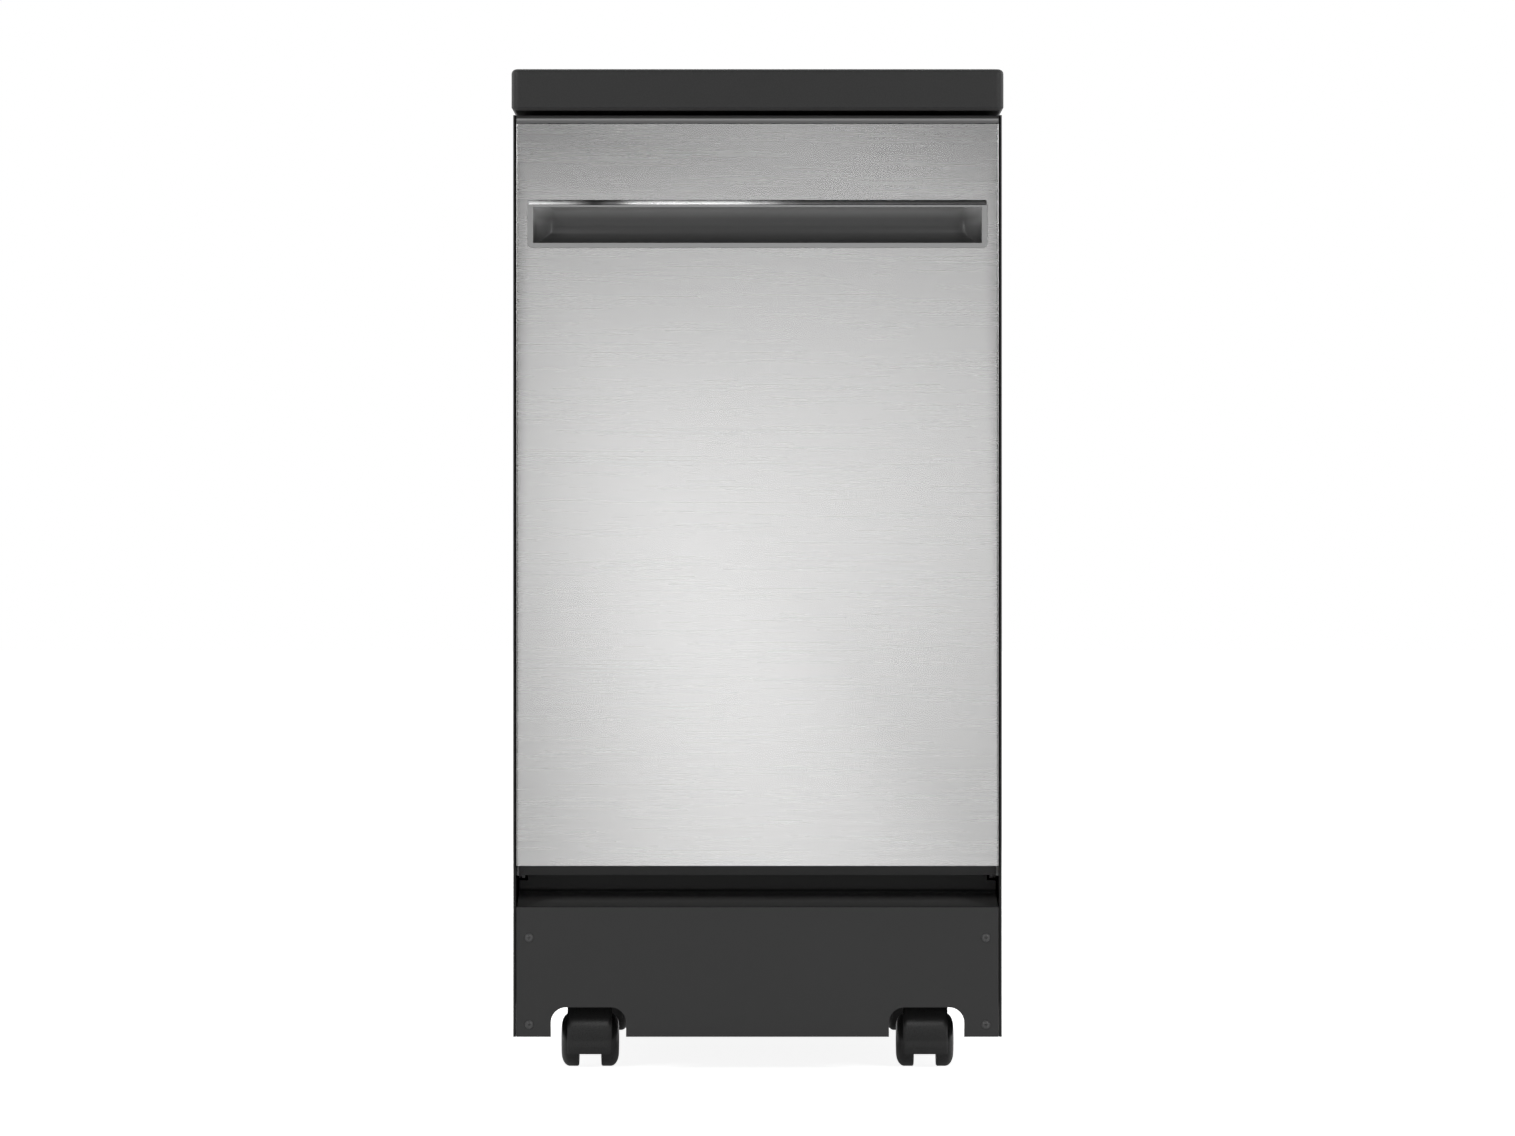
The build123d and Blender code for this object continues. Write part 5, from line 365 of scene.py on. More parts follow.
@dataclass(frozen=True)
class BrushedSheet(Finish):
    """Stainless sheet brushed in one direction."""

    grain: Axis = Axis.ACROSS
    level: float = 0.6
    roughness: float = 0.3
    swing: float = 0.012
    contrast: float = 0.03
    warmth: float = 0.004
    fine_cells: Pair = (11.0, 620.0)
    broad_cells: Pair = (6.0, 210.0)
    ramp_ends: Pair = (0.3, 0.6)

    def cells(self, counts: Pair) -> Point:
        """Returns the cells along each axis: the first count with the grain, the second over it."""
        return tuple(counts[0] if axis == self.grain else counts[1] for axis in Axis)

    def write(self, sheet: ShaderSheet) -> None:
        """Fine long scratches over broader bands, both along the grain.

        Args:
            sheet: the sheet of the finish's material.
        """
        fine = sheet.noise(self.cells(self.fine_cells), detail=2.0, rough=0.5)
        broad = sheet.noise(self.cells(self.broad_cells), detail=3.0, rough=0.6)
        both = sheet.calculate("MULTIPLY", sheet.calculate("ADD", fine, broad), 0.5)
        shades = (1 - self.contrast, 1 + self.contrast)
        sheet.vary_colour(both, self.ramp_ends, tone(self.level, self.warmth), shades)
        sheet.vary_roughness(both, self.roughness, self.swing)
        sheet.set(Metallic=1.0)


@dataclass(frozen=True)
class Enamel(Finish):
    """Baked enamel on sheet, with a faint orange peel."""

    level: float = 0.03
    roughness: float = 0.4
    swing: float = 0.03
    shades: Pair = (0.95, 1.05)
    cloud_cells: float = 9.0
    peel_cells: float = 420.0
    peel: float = 0.03

    def write(self, sheet: ShaderSheet) -> None:
        """Even colour, slight gloss changes and low soft relief.

        Args:
            sheet: the sheet of the finish's material.
        """
        cloud = sheet.noise(self.cloud_cells)
        peel = sheet.noise(self.peel_cells, detail=2.0)
        sheet.vary_colour(cloud, NOISE_RANGE, tone(self.level), self.shades)
        sheet.vary_roughness(cloud, self.roughness, self.swing)
        sheet.relief(peel, self.peel, strength=0.3)
        sheet.set(Specular_IOR_Level=0.4)


@dataclass(frozen=True)
class Laminate(Finish):
    """Dark laminate with a fine pebbled texture."""

    level: float = 0.036
    roughness: float = 0.5
    swing: float = 0.04
    shades: Pair = (0.88, 1.12)
    ramp_ends: Pair = (0.35, 0.65)
    pebble_cells: float = 900.0
    cloud_cells: float = 6.0
    pebble: float = 0.06

    def write(self, sheet: ShaderSheet) -> None:
        """Speckled colour and pebbled relief.

        Args:
            sheet: the sheet of the finish's material.
        """
        pebble = sheet.noise(self.pebble_cells, detail=2.0)
        cloud = sheet.noise(self.cloud_cells, detail=2.0)
        sheet.vary_colour(pebble, self.ramp_ends, tone(self.level), self.shades)
        sheet.vary_roughness(cloud, self.roughness, self.swing)
        sheet.relief(pebble, self.pebble, strength=0.4)
        sheet.set(Specular_IOR_Level=0.35)


@dataclass(frozen=True)
class Moulded(Finish):
    """Moulded plastic with a spark-eroded grain."""

    colour: Point = (0.2, 0.2, 0.2)
    roughness: float = 0.45
    swing: float = 0.05
    shades: Pair = (0.93, 1.07)
    grain_cells: float = 2200.0
    drift_cells: float = 14.0
    grain: float = 0.05
    gloss: float = 0.45

    def write(self, sheet: ShaderSheet) -> None:
        """Fine grain, slight colour drift and gloss changes.

        Args:
            sheet: the sheet of the finish's material.
        """
        grain = sheet.noise(self.grain_cells, detail=2.0)
        drift = sheet.noise(self.drift_cells)
        sheet.vary_colour(drift, NOISE_RANGE, self.colour, self.shades)
        sheet.vary_roughness(grain, self.roughness, self.swing)
        sheet.relief(grain, self.grain, strength=0.35)
        sheet.set(Specular_IOR_Level=self.gloss)


@dataclass(frozen=True)
class PaintedReflectionStrip(Finish):
    """Polished strip with reflections painted into its colour along its length: places across the
    machine and levels.
    """

    stops: tuple[Pair, ...] = ((-206.0, 0.7), (206.0, 0.1))
    roughness: float = 0.25
    swing: float = 0.05
    haze_cells: Point = (30.0, 30.0, 900.0)

    def write(self, sheet: ShaderSheet) -> None:
        """A polished metal with painted reflection bands along X.

        Args:
            sheet: the sheet of the finish's material.
        """
        # Painted reflections: bands of tone along X stand for what the rounded lip mirrors.
        colour = sheet.bands(sheet.axes().outputs["X"], self.stops, Blend.EASED)
        sheet.join(colour, sheet.shader.inputs["Base Color"])
        sheet.vary_roughness(sheet.noise(self.haze_cells), self.roughness, self.swing)
        sheet.set(Metallic=1.0)


@dataclass(frozen=True)
class PaintedShadeMoulding(Finish):
    """Satin moulding with light and shade painted into its colour by height: places above the floor and
    levels.

    A frame in front of a plane has a level of its own, and the ends beyond a place get painted light,
    which makes them lighter.
    """

    stops: tuple[Pair, ...] = ((755.0, 0.1), (799.0, 0.2))
    roughness: float = 0.4
    swing: float = 0.04
    frame_y: float = -1000.0
    frame_level: float = 0.3
    end_x: Pair = (1000.0, 1012.0)
    end_gain: float = 1.0
    grain_cells: float = 1800.0
    grain: float = 0.02

    def write(self, sheet: ShaderSheet) -> None:
        """Fine grain over painted light and shade whose tone follows Z.

        Args:
            sheet: the sheet of the finish's material.
        """
        axes = sheet.axes()
        # Painted light and shade: the tone by height stands for how light falls on the piece.
        shade = sheet.bands(axes.outputs["Z"], self.stops)
        # Painted light: the ends beyond end_x are made lighter by the end gain.
        reach = sheet.calculate("ABSOLUTE", axes.outputs["X"])
        ends = sheet.remap(reach, tuple(x * MM for x in self.end_x), (1.0, self.end_gain))
        scaled = sheet.node("VectorMath", operation="SCALE")
        sheet.join(shade, scaled.inputs["Vector"])
        sheet.join(ends, scaled.inputs["Scale"])
        mixed = sheet.node("Mix", data_type="RGBA")
        slots = {slot.identifier: slot for slot in (*mixed.inputs, *mixed.outputs)}
        in_front = sheet.calculate("LESS_THAN", axes.outputs["Y"], self.frame_y * MM)
        sheet.join(in_front, slots["Factor_Float"])
        sheet.join(scaled.outputs["Vector"], slots["A_Color"])
        slots["B_Color"].default_value = (*tone(self.frame_level), 1.0)
        sheet.join(slots["Result_Color"], sheet.shader.inputs["Base Color"])
        grain = sheet.noise(self.grain_cells, detail=2.0)
        sheet.vary_roughness(grain, self.roughness, self.swing)
        sheet.relief(grain, self.grain, strength=0.2)
        sheet.set(Specular_IOR_Level=0.5)


@dataclass(frozen=True)
class ZincSheet(Finish):
    """Zinc-coated sheet with its spangle."""

    level: float = 0.45
    shades: Pair = (0.9, 1.07)
    ramp_ends: Pair = (0.2, 0.8)
    spangle_cells: float = 130.0
    roughness: float = 0.45
    swing: float = 0.07

    def write(self, sheet: ShaderSheet) -> None:
        """Crystal patches of slightly different grey and gloss.

        Args:
            sheet: the sheet of the finish's material.
        """
        place = sheet.node("TexCoord")
        crystals = sheet.node("TexVoronoi")
        crystals.inputs["Scale"].default_value = self.spangle_cells
        sheet.join(place.outputs["Object"], crystals.inputs["Vector"])
        grey = sheet.node("RGBToBW")
        sheet.join(crystals.outputs["Color"], grey.inputs["Color"])
        sheet.vary_colour(grey.outputs["Val"], self.ramp_ends, tone(self.level), self.shades)
        sheet.vary_roughness(grey.outputs["Val"], self.roughness, self.swing)
        sheet.set(Metallic=0.9)


@dataclass(frozen=True)
class Casting(Finish):
    """Cast metal with a sandy skin."""

    level: float = 0.3
    shades: Pair = (0.85, 1.1)
    sand_cells: float = 700.0
    sand: float = 0.1
    roughness: float = 0.525
    swing: float = 0.075

    def write(self, sheet: ShaderSheet) -> None:
        """Sandy relief on dull metal.

        Args:
            sheet: the sheet of the finish's material.
        """
        sand = sheet.noise(self.sand_cells)
        sheet.vary_colour(sand, NOISE_RANGE, tone(self.level), self.shades)
        sheet.vary_roughness(sand, self.roughness, self.swing)
        sheet.relief(sand, self.sand, strength=0.5)
        sheet.set(Metallic=0.8)


DOOR_STEEL = BrushedSheet("door_steel_brushed", Axis.ACROSS, level=0.66, roughness=0.27, contrast=0.05)
TUB_STEEL = BrushedSheet("tub_steel_bright", Axis.ALONG)
PANEL_STEEL = BrushedSheet("inner_door_steel", Axis.UPRIGHT)
RAIL_STEEL = BrushedSheet("rail_steel_drawn", Axis.ALONG, level=0.55, roughness=0.28, contrast=0.05)
TOP_LAMINATE = Laminate("worktop_laminate_black")
BODY_ENAMEL = Enamel("cabinet_enamel_black", level=0.011, roughness=0.42)
KICK_ENAMEL = Enamel("lower_panel_enamel", level=0.034, roughness=0.45)
SCREW_BLACK = Enamel("screw_head_black", level=0.085, roughness=0.4)
ZINC = ZincSheet("zinc_sheet_spangled")
BASE_PLASTIC = Moulded("base_plastic_black", tone(0.03), roughness=0.55)
CASTER_PLASTIC = Moulded("caster_nylon_black", tone(0.022), roughness=0.3, grain=0.02, gloss=0.6)
TREAD_PLASTIC = Moulded("caster_tread_black", tone(0.02), roughness=0.3, grain=0.02, gloss=0.6)
KEY_PLASTIC = Moulded("key_cap_grey", tone(0.2), roughness=0.4)
GREY_PLASTIC = Moulded("mid_grey_moulding", (0.27, 0.29, 0.31))
DARK_GREY_PLASTIC = Moulded("dark_grey_moulding", (0.1, 0.105, 0.115))
WIRE_NYLON = Moulded("rack_nylon_grey", (0.36, 0.4, 0.45), roughness=0.32, grain=0.02, gloss=0.5)
SEAL_RUBBER = Moulded("door_seal_rubber", tone(0.02), roughness=0.6, grain=0.04, gloss=0.3)
PUMP_METAL = Casting("pump_casting")
# Handle pocket: painted shade, lighter at the top and dark at the bottom, and painted light on its ends;
# the frame level is the bezel's own colour.
POCKET_PAINTED_SHADE = PaintedShadeMoulding(
    "pocket_dark_silver",
    stops=((755.0, 0.04), (764.0, 0.045), (776.0, 0.1), (784.0, 0.22), (792.0, 0.46), (799.0, 0.5)),
    roughness=0.38,
    frame_y=-297.3,
    frame_level=0.36,
    end_x=(188.0, 200.0),
    end_gain=1.7,
)
# Toe recess: painted light on the ledge, rising towards its back, and painted shade on the wall above
# it.
RECESS_PAINTED_SHADE = PaintedShadeMoulding(
    "toe_recess_enamel",
    stops=((149.8, 0.055), (156.0, 0.11), (160.5, 0.17), (162.0, 0.02), (188.0, 0.014)),
    roughness=0.5,
)
# Control strip: a light band at 871.8 to 873.4 mm, and the top painted darkest as shade in the gap under
# the worktop.
STRIP_PAINTED_SHADE = PaintedShadeMoulding(
    "control_strip_black",
    stops=((869.5, 0.14), (871.4, 0.15), (871.8, 0.3), (873.4, 0.3), (873.9, 0.03), (877.0, 0.02)),
    roughness=0.35,
)
# Handle lip: painted reflections, bright and dark bands along its length.
LIP_PAINTED_REFLECTIONS = PaintedReflectionStrip(
    "handle_lip_bright",
    stops=(
        (-210.0, 0.95), (-196.0, 0.85), (-180.0, 0.55), (-150.0, 0.05), (-132.0, 0.15), (-108.0, 0.85),
        (-90.0, 0.98), (-20.0, 0.98), (8.0, 0.45), (28.0, 0.18), (44.0, 0.1), (210.0, 0.08),
    ),
)


# Meshes and their places in the scene


def place_piece(name: str, mesh: bpy.types.Mesh, finish: Finish, node: str) -> bpy.types.Object:
    """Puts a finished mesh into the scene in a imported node's stead, on the node's body.

    Args:
        name: the piece's name.
        mesh: its mesh, in metres at its place.
        finish: its finish, which the hidden node gets too.
        node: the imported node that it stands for.

    Returns:
        The piece.
    """
    piece = bpy.data.objects.new(name, mesh)
    bpy.context.scene.collection.objects.link(piece)
    for dressed in (mesh, frame["nodes"][node].data):
        dressed.materials.clear()
        dressed.materials.append(finish.material())
    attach(piece, BODY_OF[node])
    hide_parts(node)
    LOG.info("%s: %d faces on %s", name, len(mesh.polygons), BODY_OF[node])
    return piece


def smooth(mesh: bpy.types.Mesh, crisp: float) -> None:
    """Shades a mesh smoothly, with edges sharper than crisp degrees left crisp."""
    mesh.polygons.foreach_set("use_smooth", [True] * len(mesh.polygons))
    mesh.set_sharp_from_angle(angle=math.radians(crisp))


def mesh_of(name: str, form: bmesh.types.BMesh) -> bpy.types.Mesh:
    """Turns a form into a mesh.

    Args:
        name: the mesh's name.
        form: the form, which is freed.

    Returns:
        The mesh.
    """
    mesh = bpy.data.meshes.new(name)
    form.to_mesh(mesh)
    form.free()
    return mesh


def finished(name: str, form: bmesh.types.BMesh, crisp: float = 40.0) -> bpy.types.Mesh:
    """Turns a form into a mesh with its faces outwards and its round stretches smooth.

    Args:
        name: the mesh's name.
        form: the form, which is freed.
        crisp: edges sharper than this stay crisp, in degrees.

    Returns:
        The mesh.
    """
    bmesh.ops.recalc_face_normals(form, faces=form.faces)
    mesh = mesh_of(name, form)
    smooth(mesh, crisp)
    return mesh


def combine(name: str, meshes: Sequence[bpy.types.Mesh], crisp: float = 40.0) -> bpy.types.Mesh:
    """Joins meshes of one finish into one.

    Args:
        name: the new mesh's name.
        meshes: the meshes to join.
        crisp: edges sharper than this stay crisp, in degrees.

    Returns:
        The joined mesh.
    """
    form = bmesh.new()
    for mesh in meshes:
        form.from_mesh(mesh)
    joined = mesh_of(name, form)
    smooth(joined, crisp)
    return joined


def add_corner(form: bmesh.types.BMesh, place: Sequence[float]) -> Corner:
    """Adds a corner at a place in millimetres."""
    return form.verts.new([value * MM for value in place])


def skin(form: bmesh.types.BMesh, rings: Sequence[Sequence[Corner]], capped: bool = True) -> None:
    """Adds the faces between closed rings of corners.

    Args:
        form: the mesh to add to.
        rings: the rings in order, each with as many corners.
        capped: whether a face closes the first and the last ring.
    """
    for first, second in zip(rings, rings[1:]):
        for i, corner in enumerate(first):
            form.faces.new([first[i - 1], corner, second[i], second[i - 1]])
    if capped:
        form.faces.new(rings[0])
        form.faces.new(rings[-1][::-1])


def lathe(
    form: bmesh.types.BMesh, profile: Sequence[Pair], centre: Point, axis: Axis, steps: int
) -> None:
    """Adds a turned form, closed where its profile meets the axis.

    Args:
        form: the mesh to add to.
        profile: places along the axis, each with its radius, in millimetres.
        centre: the axis's zero point, in millimetres.
        axis: the axis of turning.
        steps: faces round the axis.
    """
    along = axis.value
    side, up = [(along + turn) % len(Axis) for turn in (1, 2)]
    rings = []
    for place, radius in profile:
        ring = []
        for step in range(steps if radius > 0 else 1):
            angle = math.tau * step / steps
            corner = list(centre)
            corner[along] += place
            corner[side] += radius * math.cos(angle)
            corner[up] += radius * math.sin(angle)
            ring.append(add_corner(form, corner))
        rings.append(ring)
    for first, second in zip(rings, rings[1:]):
        for step in range(steps):
            after = (step + 1) % steps
            corners = [
                first[step % len(first)],
                first[after % len(first)],
                second[after % len(second)],
                second[step % len(second)],
            ]
            form.faces.new(list(dict.fromkeys(corners)))


@dataclass(frozen=True)
class Dress:
    """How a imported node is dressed: its finish, and the rounding of its edges in millimetres."""

    finish: Finish
    rounding: float = 0.0
    rounding_faces: int = 2
    crisp: float = 34.0
    flat: float = 0.6
    merge_gap: float = 0.002

    def merged(self, node: str) -> bpy.types.Mesh:
        """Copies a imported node's mesh and merges its loose triangles.

        Args:
            node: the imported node.

        Returns:
            The copy, smooth-shaded.
        """
        source = frame["nodes"][node].data
        form = bmesh.new()
        corners = [form.verts.new(vertex.co) for vertex in source.vertices]
        for polygon in source.polygons:
            face = [corners[index] for index in polygon.vertices]
            if len(set(face)) == len(face) and form.faces.get(face) is None:
                form.faces.new(face)
        gap = self.merge_gap * MM
        bmesh.ops.remove_doubles(form, verts=form.verts, dist=gap)
        bmesh.ops.dissolve_degenerate(form, edges=form.edges, dist=gap)
        if self.rounding:
            flat = math.radians(self.flat)
            bmesh.ops.dissolve_limit(form, verts=form.verts, edges=form.edges, angle_limit=flat)
        mesh = mesh_of(node + "_dressed", form)
        smooth(mesh, self.crisp)
        return mesh

    def put_on(self, node: str) -> None:
        """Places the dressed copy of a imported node, with its edges slightly rounded.

        Args:
            node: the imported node.
        """
        piece = place_piece(node + "_dressed", self.merged(node), self.finish, node)
        if self.rounding:
            bevel = piece.modifiers.new("edge_rounding", "BEVEL")
            bevel.width = self.rounding * MM
            bevel.segments = self.rounding_faces
            bevel.limit_method = "ANGLE"
            bevel.angle_limit = math.radians(self.crisp)


# Geometry Nodes recipes


class NodeRecipe:
    """A Geometry Nodes tree with named inputs, run on one carrier mesh."""

    def __init__(self, name: str, **sizes: str) -> None:
        """Starts a tree.

        Args:
            name: the tree's name.
            sizes: the kinds of its named inputs, next to the Material that each tree asks for.
        """
        self.tree = bpy.data.node_groups.new(name, "GeometryNodeTree")
        for way in ("INPUT", "OUTPUT"):
            self.tree.interface.new_socket("Geometry", in_out=way, socket_type="NodeSocketGeometry")
        self.inputs: dict[str, str] = {}
        for size, kind in {**sizes, "Material": "Material"}.items():
            socket = self.tree.interface.new_socket(
                size, in_out="INPUT", socket_type="NodeSocket" + kind
            )
            self.inputs[size] = socket.identifier
        self.enter = self.tree.nodes.new("NodeGroupInput")
        self.leave = self.tree.nodes.new("NodeGroupOutput")
        self.carrier = self.enter.outputs["Geometry"]

    def node(self, kind: str, **settings: object) -> bpy.types.Node:
        """Adds a node.

        Args:
            kind: the node's type name without its GeometryNode prefix.
            settings: attributes to set on the node.

        Returns:
            The new node.
        """
        made = self.tree.nodes.new("GeometryNode" + kind)
        for key, value in settings.items():
            setattr(made, key, value)
        return made

    def join(self, output: Socket, target: Socket) -> None:
        """Links one socket to another."""
        self.tree.links.new(output, target)

    def feed(self, size: str, *targets: Socket) -> None:
        """Links a named input to sockets.

        Args:
            size: the input's name.
            targets: the sockets that it feeds.
        """
        source = next(s for s in self.enter.outputs if s.identifier == self.inputs[size])
        for target in targets:
            self.join(source, target)

    def sweep(self, path: Socket) -> None:
        """Ends the tree with round wire along a path, of the named radius and sides.

        Args:
            path: the curve's socket.
        """
        profile = self.node("CurvePrimitiveCircle")
        self.feed("Wire radius", profile.inputs["Radius"])
        self.feed("Sides", profile.inputs["Resolution"])
        tube = self.node("CurveToMesh")
        tube.inputs["Fill Caps"].default_value = True
        self.join(path, tube.inputs["Curve"])
        self.join(profile.outputs["Curve"], tube.inputs["Profile Curve"])
        self.close(tube.outputs["Mesh"])

    def repeat(self, form: Socket) -> None:
        """Ends the tree with the form on every point of the carrier.

        Args:
            form: the form's geometry socket.
        """
        copies = self.node("InstanceOnPoints")
        self.join(self.carrier, copies.inputs["Points"])
        self.join(form, copies.inputs["Instance"])
        self.close(copies.outputs["Instances"])

    def close(self, geometry: Socket) -> None:
        """Ends the tree with real, smooth-shaded geometry in the named material.

        Args:
            geometry: the geometry socket to finish.
        """
        realize = self.node("RealizeInstances")
        shade = self.node("SetShadeSmooth")
        dress = self.node("SetMaterial")
        self.join(geometry, realize.inputs["Geometry"])
        self.join(realize.outputs["Geometry"], shade.inputs["Geometry"])
        self.join(shade.outputs["Geometry"], dress.inputs["Geometry"])
        self.feed("Material", dress.inputs["Material"])
        self.join(dress.outputs["Geometry"], self.leave.inputs["Geometry"])

    def run(self, carrier: bpy.types.Mesh, values: dict[str, object]) -> bpy.types.Mesh:
        """Runs the tree on a carrier mesh.

        Args:
            carrier: the mesh that the tree reads.
            values: the named inputs' values.

        Returns:
            The result as a plain mesh.
        """
        holder = bpy.data.objects.new("carrier", carrier)
        bpy.context.scene.collection.objects.link(holder)
        modifier = holder.modifiers.new("recipe", "NODES")
        modifier.node_group = self.tree
        for size, value in values.items():
            modifier[self.inputs[size]] = value
        holder.update_tag()
        graph = bpy.context.evaluated_depsgraph_get()
        made = bpy.data.meshes.new_from_object(holder.evaluated_get(graph))
        holder.modifiers.remove(modifier)
        bpy.data.objects.remove(holder)
        return made


@dataclass(frozen=True)
class Line:
    """A chain of straight runs between points in millimetres."""

    points: tuple[Point, ...]
    closed: bool = False


def lines_mesh(name: str, lines: Sequence[Line]) -> bpy.types.Mesh:
    """A mesh of bare edges, one chain for each line.

    Args:
        name: the mesh's name.
        lines: the lines to draw.

    Returns:
        The mesh.
    """
    points: list[Point] = []
    edges: list[tuple[int, int]] = []
    for line in lines:
        start = len(points)
        points += [tuple(value * MM for value in point) for point in line.points]
        edges += [(i, i + 1) for i in range(start, len(points) - 1)]
        if line.closed:
            edges.append((len(points) - 1, start))
    mesh = bpy.data.meshes.new(name)
    mesh.from_pydata(points, edges, [])
    return mesh


@dataclass
class WireShop:
    """Bends rack wires and rounds their tips."""

    finish: Finish = WIRE_NYLON
    tip_segments: int = 10
    tip_rings: int = 6

    def __post_init__(self) -> None:
        """Makes both recipes."""
        self.wires = self.wire_recipe()
        self.tips = self.tip_recipe()

    def wire_recipe(self) -> NodeRecipe:
        """Writes the recipe for bent round wire along chains of edges.

        Returns:
            The recipe.
        """
        sizes = {"Wire radius": "Float", "Bend radius": "Float", "Bend steps": "Int", "Sides": "Int"}
        recipe = NodeRecipe("bent_wire", **sizes)
        curve = recipe.node("MeshToCurve")
        bend = recipe.node("FilletCurve", mode="POLY")
        bend.inputs["Limit Radius"].default_value = True
        recipe.join(recipe.carrier, curve.inputs["Mesh"])
        recipe.join(curve.outputs["Curve"], bend.inputs["Curve"])
        recipe.feed("Bend radius", bend.inputs["Radius"])
        recipe.feed("Bend steps", bend.inputs["Count"])
        recipe.sweep(bend.outputs["Curve"])
        return recipe

    def tip_recipe(self) -> NodeRecipe:
        """Writes the recipe for a small round tip on every point.

        Returns:
            The recipe.
        """
        recipe = NodeRecipe("round_tips", **{"Tip radius": "Float"})
        ball = recipe.node("MeshUVSphere")
        ball.inputs["Segments"].default_value = self.tip_segments
        ball.inputs["Rings"].default_value = self.tip_rings
        recipe.feed("Tip radius", ball.inputs["Radius"])
        recipe.repeat(ball.outputs["Mesh"])
        return recipe

    def bend(
        self, lines: Sequence[Line], radius: float, sides: int, bend: float = 0.0, steps: int = 1
    ) -> bpy.types.Mesh:
        """Bends wires.

        Args:
            lines: the wires' lines.
            radius: the wires' radius.
            sides: faces round a wire.
            bend: the radius of a bend.
            steps: runs in a bend.

        Returns:
            The wires' mesh.
        """
        values = {
            "Wire radius": radius * MM,
            "Bend radius": bend * MM,
            "Bend steps": steps,
            "Sides": sides,
            "Material": self.finish.material(),
        }
        return self.wires.run(lines_mesh("wire_lines", lines), values)

    def round_off(self, lines: Sequence[Line], radius: float) -> bpy.types.Mesh:
        """Rounds the wires' last ends.

        Args:
            lines: the wires' lines.
            radius: the wires' radius.

        Returns:
            The tips' mesh.
        """
        ends = [Line(line.points[-1:]) for line in lines]
        values = {"Tip radius": radius * MM, "Material": self.finish.material()}
        return self.tips.run(lines_mesh("wire_tips", ends), values)


# Pieces that keep their packed form


@dataclass
class SubAssembly:
    """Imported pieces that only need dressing: each field is named for its node."""

    def build(self) -> None:
        """Dresses every piece."""
        for piece in fields(self):
            getattr(self, piece.name).put_on(piece.name)


@dataclass
class Cabinet(SubAssembly):
    """Worktop, panels, base and top frame."""

    worktop: Dress = Dress(TOP_LAMINATE)
    side_panel_left: Dress = Dress(BODY_ENAMEL)
    side_panel_right: Dress = Dress(BODY_ENAMEL)
    lower_front_panel: Dress = Dress(KICK_ENAMEL, 0.25)
    toe_recess_panel: Dress = Dress(RECESS_PAINTED_SHADE, 0.3)
    base_pan: Dress = Dress(BASE_PLASTIC, 0.6)
    top_frame: Dress = Dress(ZINC)
    hinge_brackets: Dress = Dress(ZINC, 0.25)


@dataclass
class RearBay(SubAssembly):
    """Rear panel, its fittings and the pumps before it."""

    rear_panel: Dress = Dress(ZINC, 0.2)
    rear_fittings: Dress = Dress(DARK_GREY_PLASTIC, 0.4)
    wash_pump: Dress = Dress(PUMP_METAL, 0.8)
    drain_pump: Dress = Dress(PUMP_METAL, 0.8)


@dataclass
class DoorFront(SubAssembly):
    """What shows of the closed door, and the keys on its top edge."""

    door_skin: Dress = Dress(DOOR_STEEL, 0.25)
    handle_pocket: Dress = Dress(POCKET_PAINTED_SHADE, 0.35)
    handle_lip: Dress = Dress(LIP_PAINTED_REFLECTIONS)
    control_panel: Dress = Dress(STRIP_PAINTED_SHADE)
    door_bottom_trim: Dress = Dress(BASE_PLASTIC, 0.2)
    key_power: Dress = Dress(KEY_PLASTIC, 0.4)
    key_program: Dress = Dress(KEY_PLASTIC, 0.4)
    key_start: Dress = Dress(KEY_PLASTIC, 0.4)


@dataclass
class DoorInside(SubAssembly):
    """The door's inner panel with its dispenser, latch and hinge arms."""

    door_inner_panel: Dress = Dress(PANEL_STEEL, 0.3)
    dispenser_body: Dress = Dress(GREY_PLASTIC, 0.5)
    dispenser_lid: Dress = Dress(DARK_GREY_PLASTIC, 0.6)
    rinse_aid_cap: Dress = Dress(DARK_GREY_PLASTIC, 0.5)
    latch_housing: Dress = Dress(BASE_PLASTIC, 0.3)
    latch_hook: Dress = Dress(KEY_PLASTIC, 0.3)
    hinge_arms: Dress = Dress(ZINC, 0.3)


@dataclass
class Tub(SubAssembly):
    """The tub, its gasket and its float."""

    tub_wrap: Dress = Dress(TUB_STEEL)
    tub_back: Dress = Dress(TUB_STEEL)
    tub_floor: Dress = Dress(TUB_STEEL)
    door_gasket: Dress = Dress(SEAL_RUBBER)
    float_bell: Dress = Dress(GREY_PLASTIC, 0.6)


@dataclass
class WaterPath(SubAssembly):
    """Sump, filters, spray arms and what feeds them."""

    sump: Dress = Dress(BASE_PLASTIC, 0.5)
    filter_plate: Dress = Dress(TUB_STEEL, 0.2)
    filter_cup: Dress = Dress(DARK_GREY_PLASTIC, 0.4)
    lower_spray_arm: Dress = Dress(GREY_PLASTIC, 1.6)
    upper_spray_arm: Dress = Dress(GREY_PLASTIC, 1.6)
    upper_feed_tube: Dress = Dress(GREY_PLASTIC, 0.5)
    supply_duct: Dress = Dress(GREY_PLASTIC, 0.8)


@dataclass
class RackFittings(SubAssembly):
    """Cutlery basket, rollers, rails and hooks of the racks."""

    cutlery_basket: Dress = Dress(DARK_GREY_PLASTIC, 0.5)
    lower_roller_brackets: Dress = Dress(GREY_PLASTIC, 0.5)
    lower_rollers_front: Dress = Dress(GREY_PLASTIC, 0.5)
    lower_rollers_rear: Dress = Dress(GREY_PLASTIC, 0.5)
    upper_rails_fixed: Dress = Dress(RAIL_STEEL, 0.2)
    upper_rails_middle: Dress = Dress(RAIL_STEEL, 0.2)
    upper_rack_carriage: Dress = Dress(RAIL_STEEL, 0.2)
    upper_rack_hooks: Dress = Dress(GREY_PLASTIC, 0.4)


# Racks


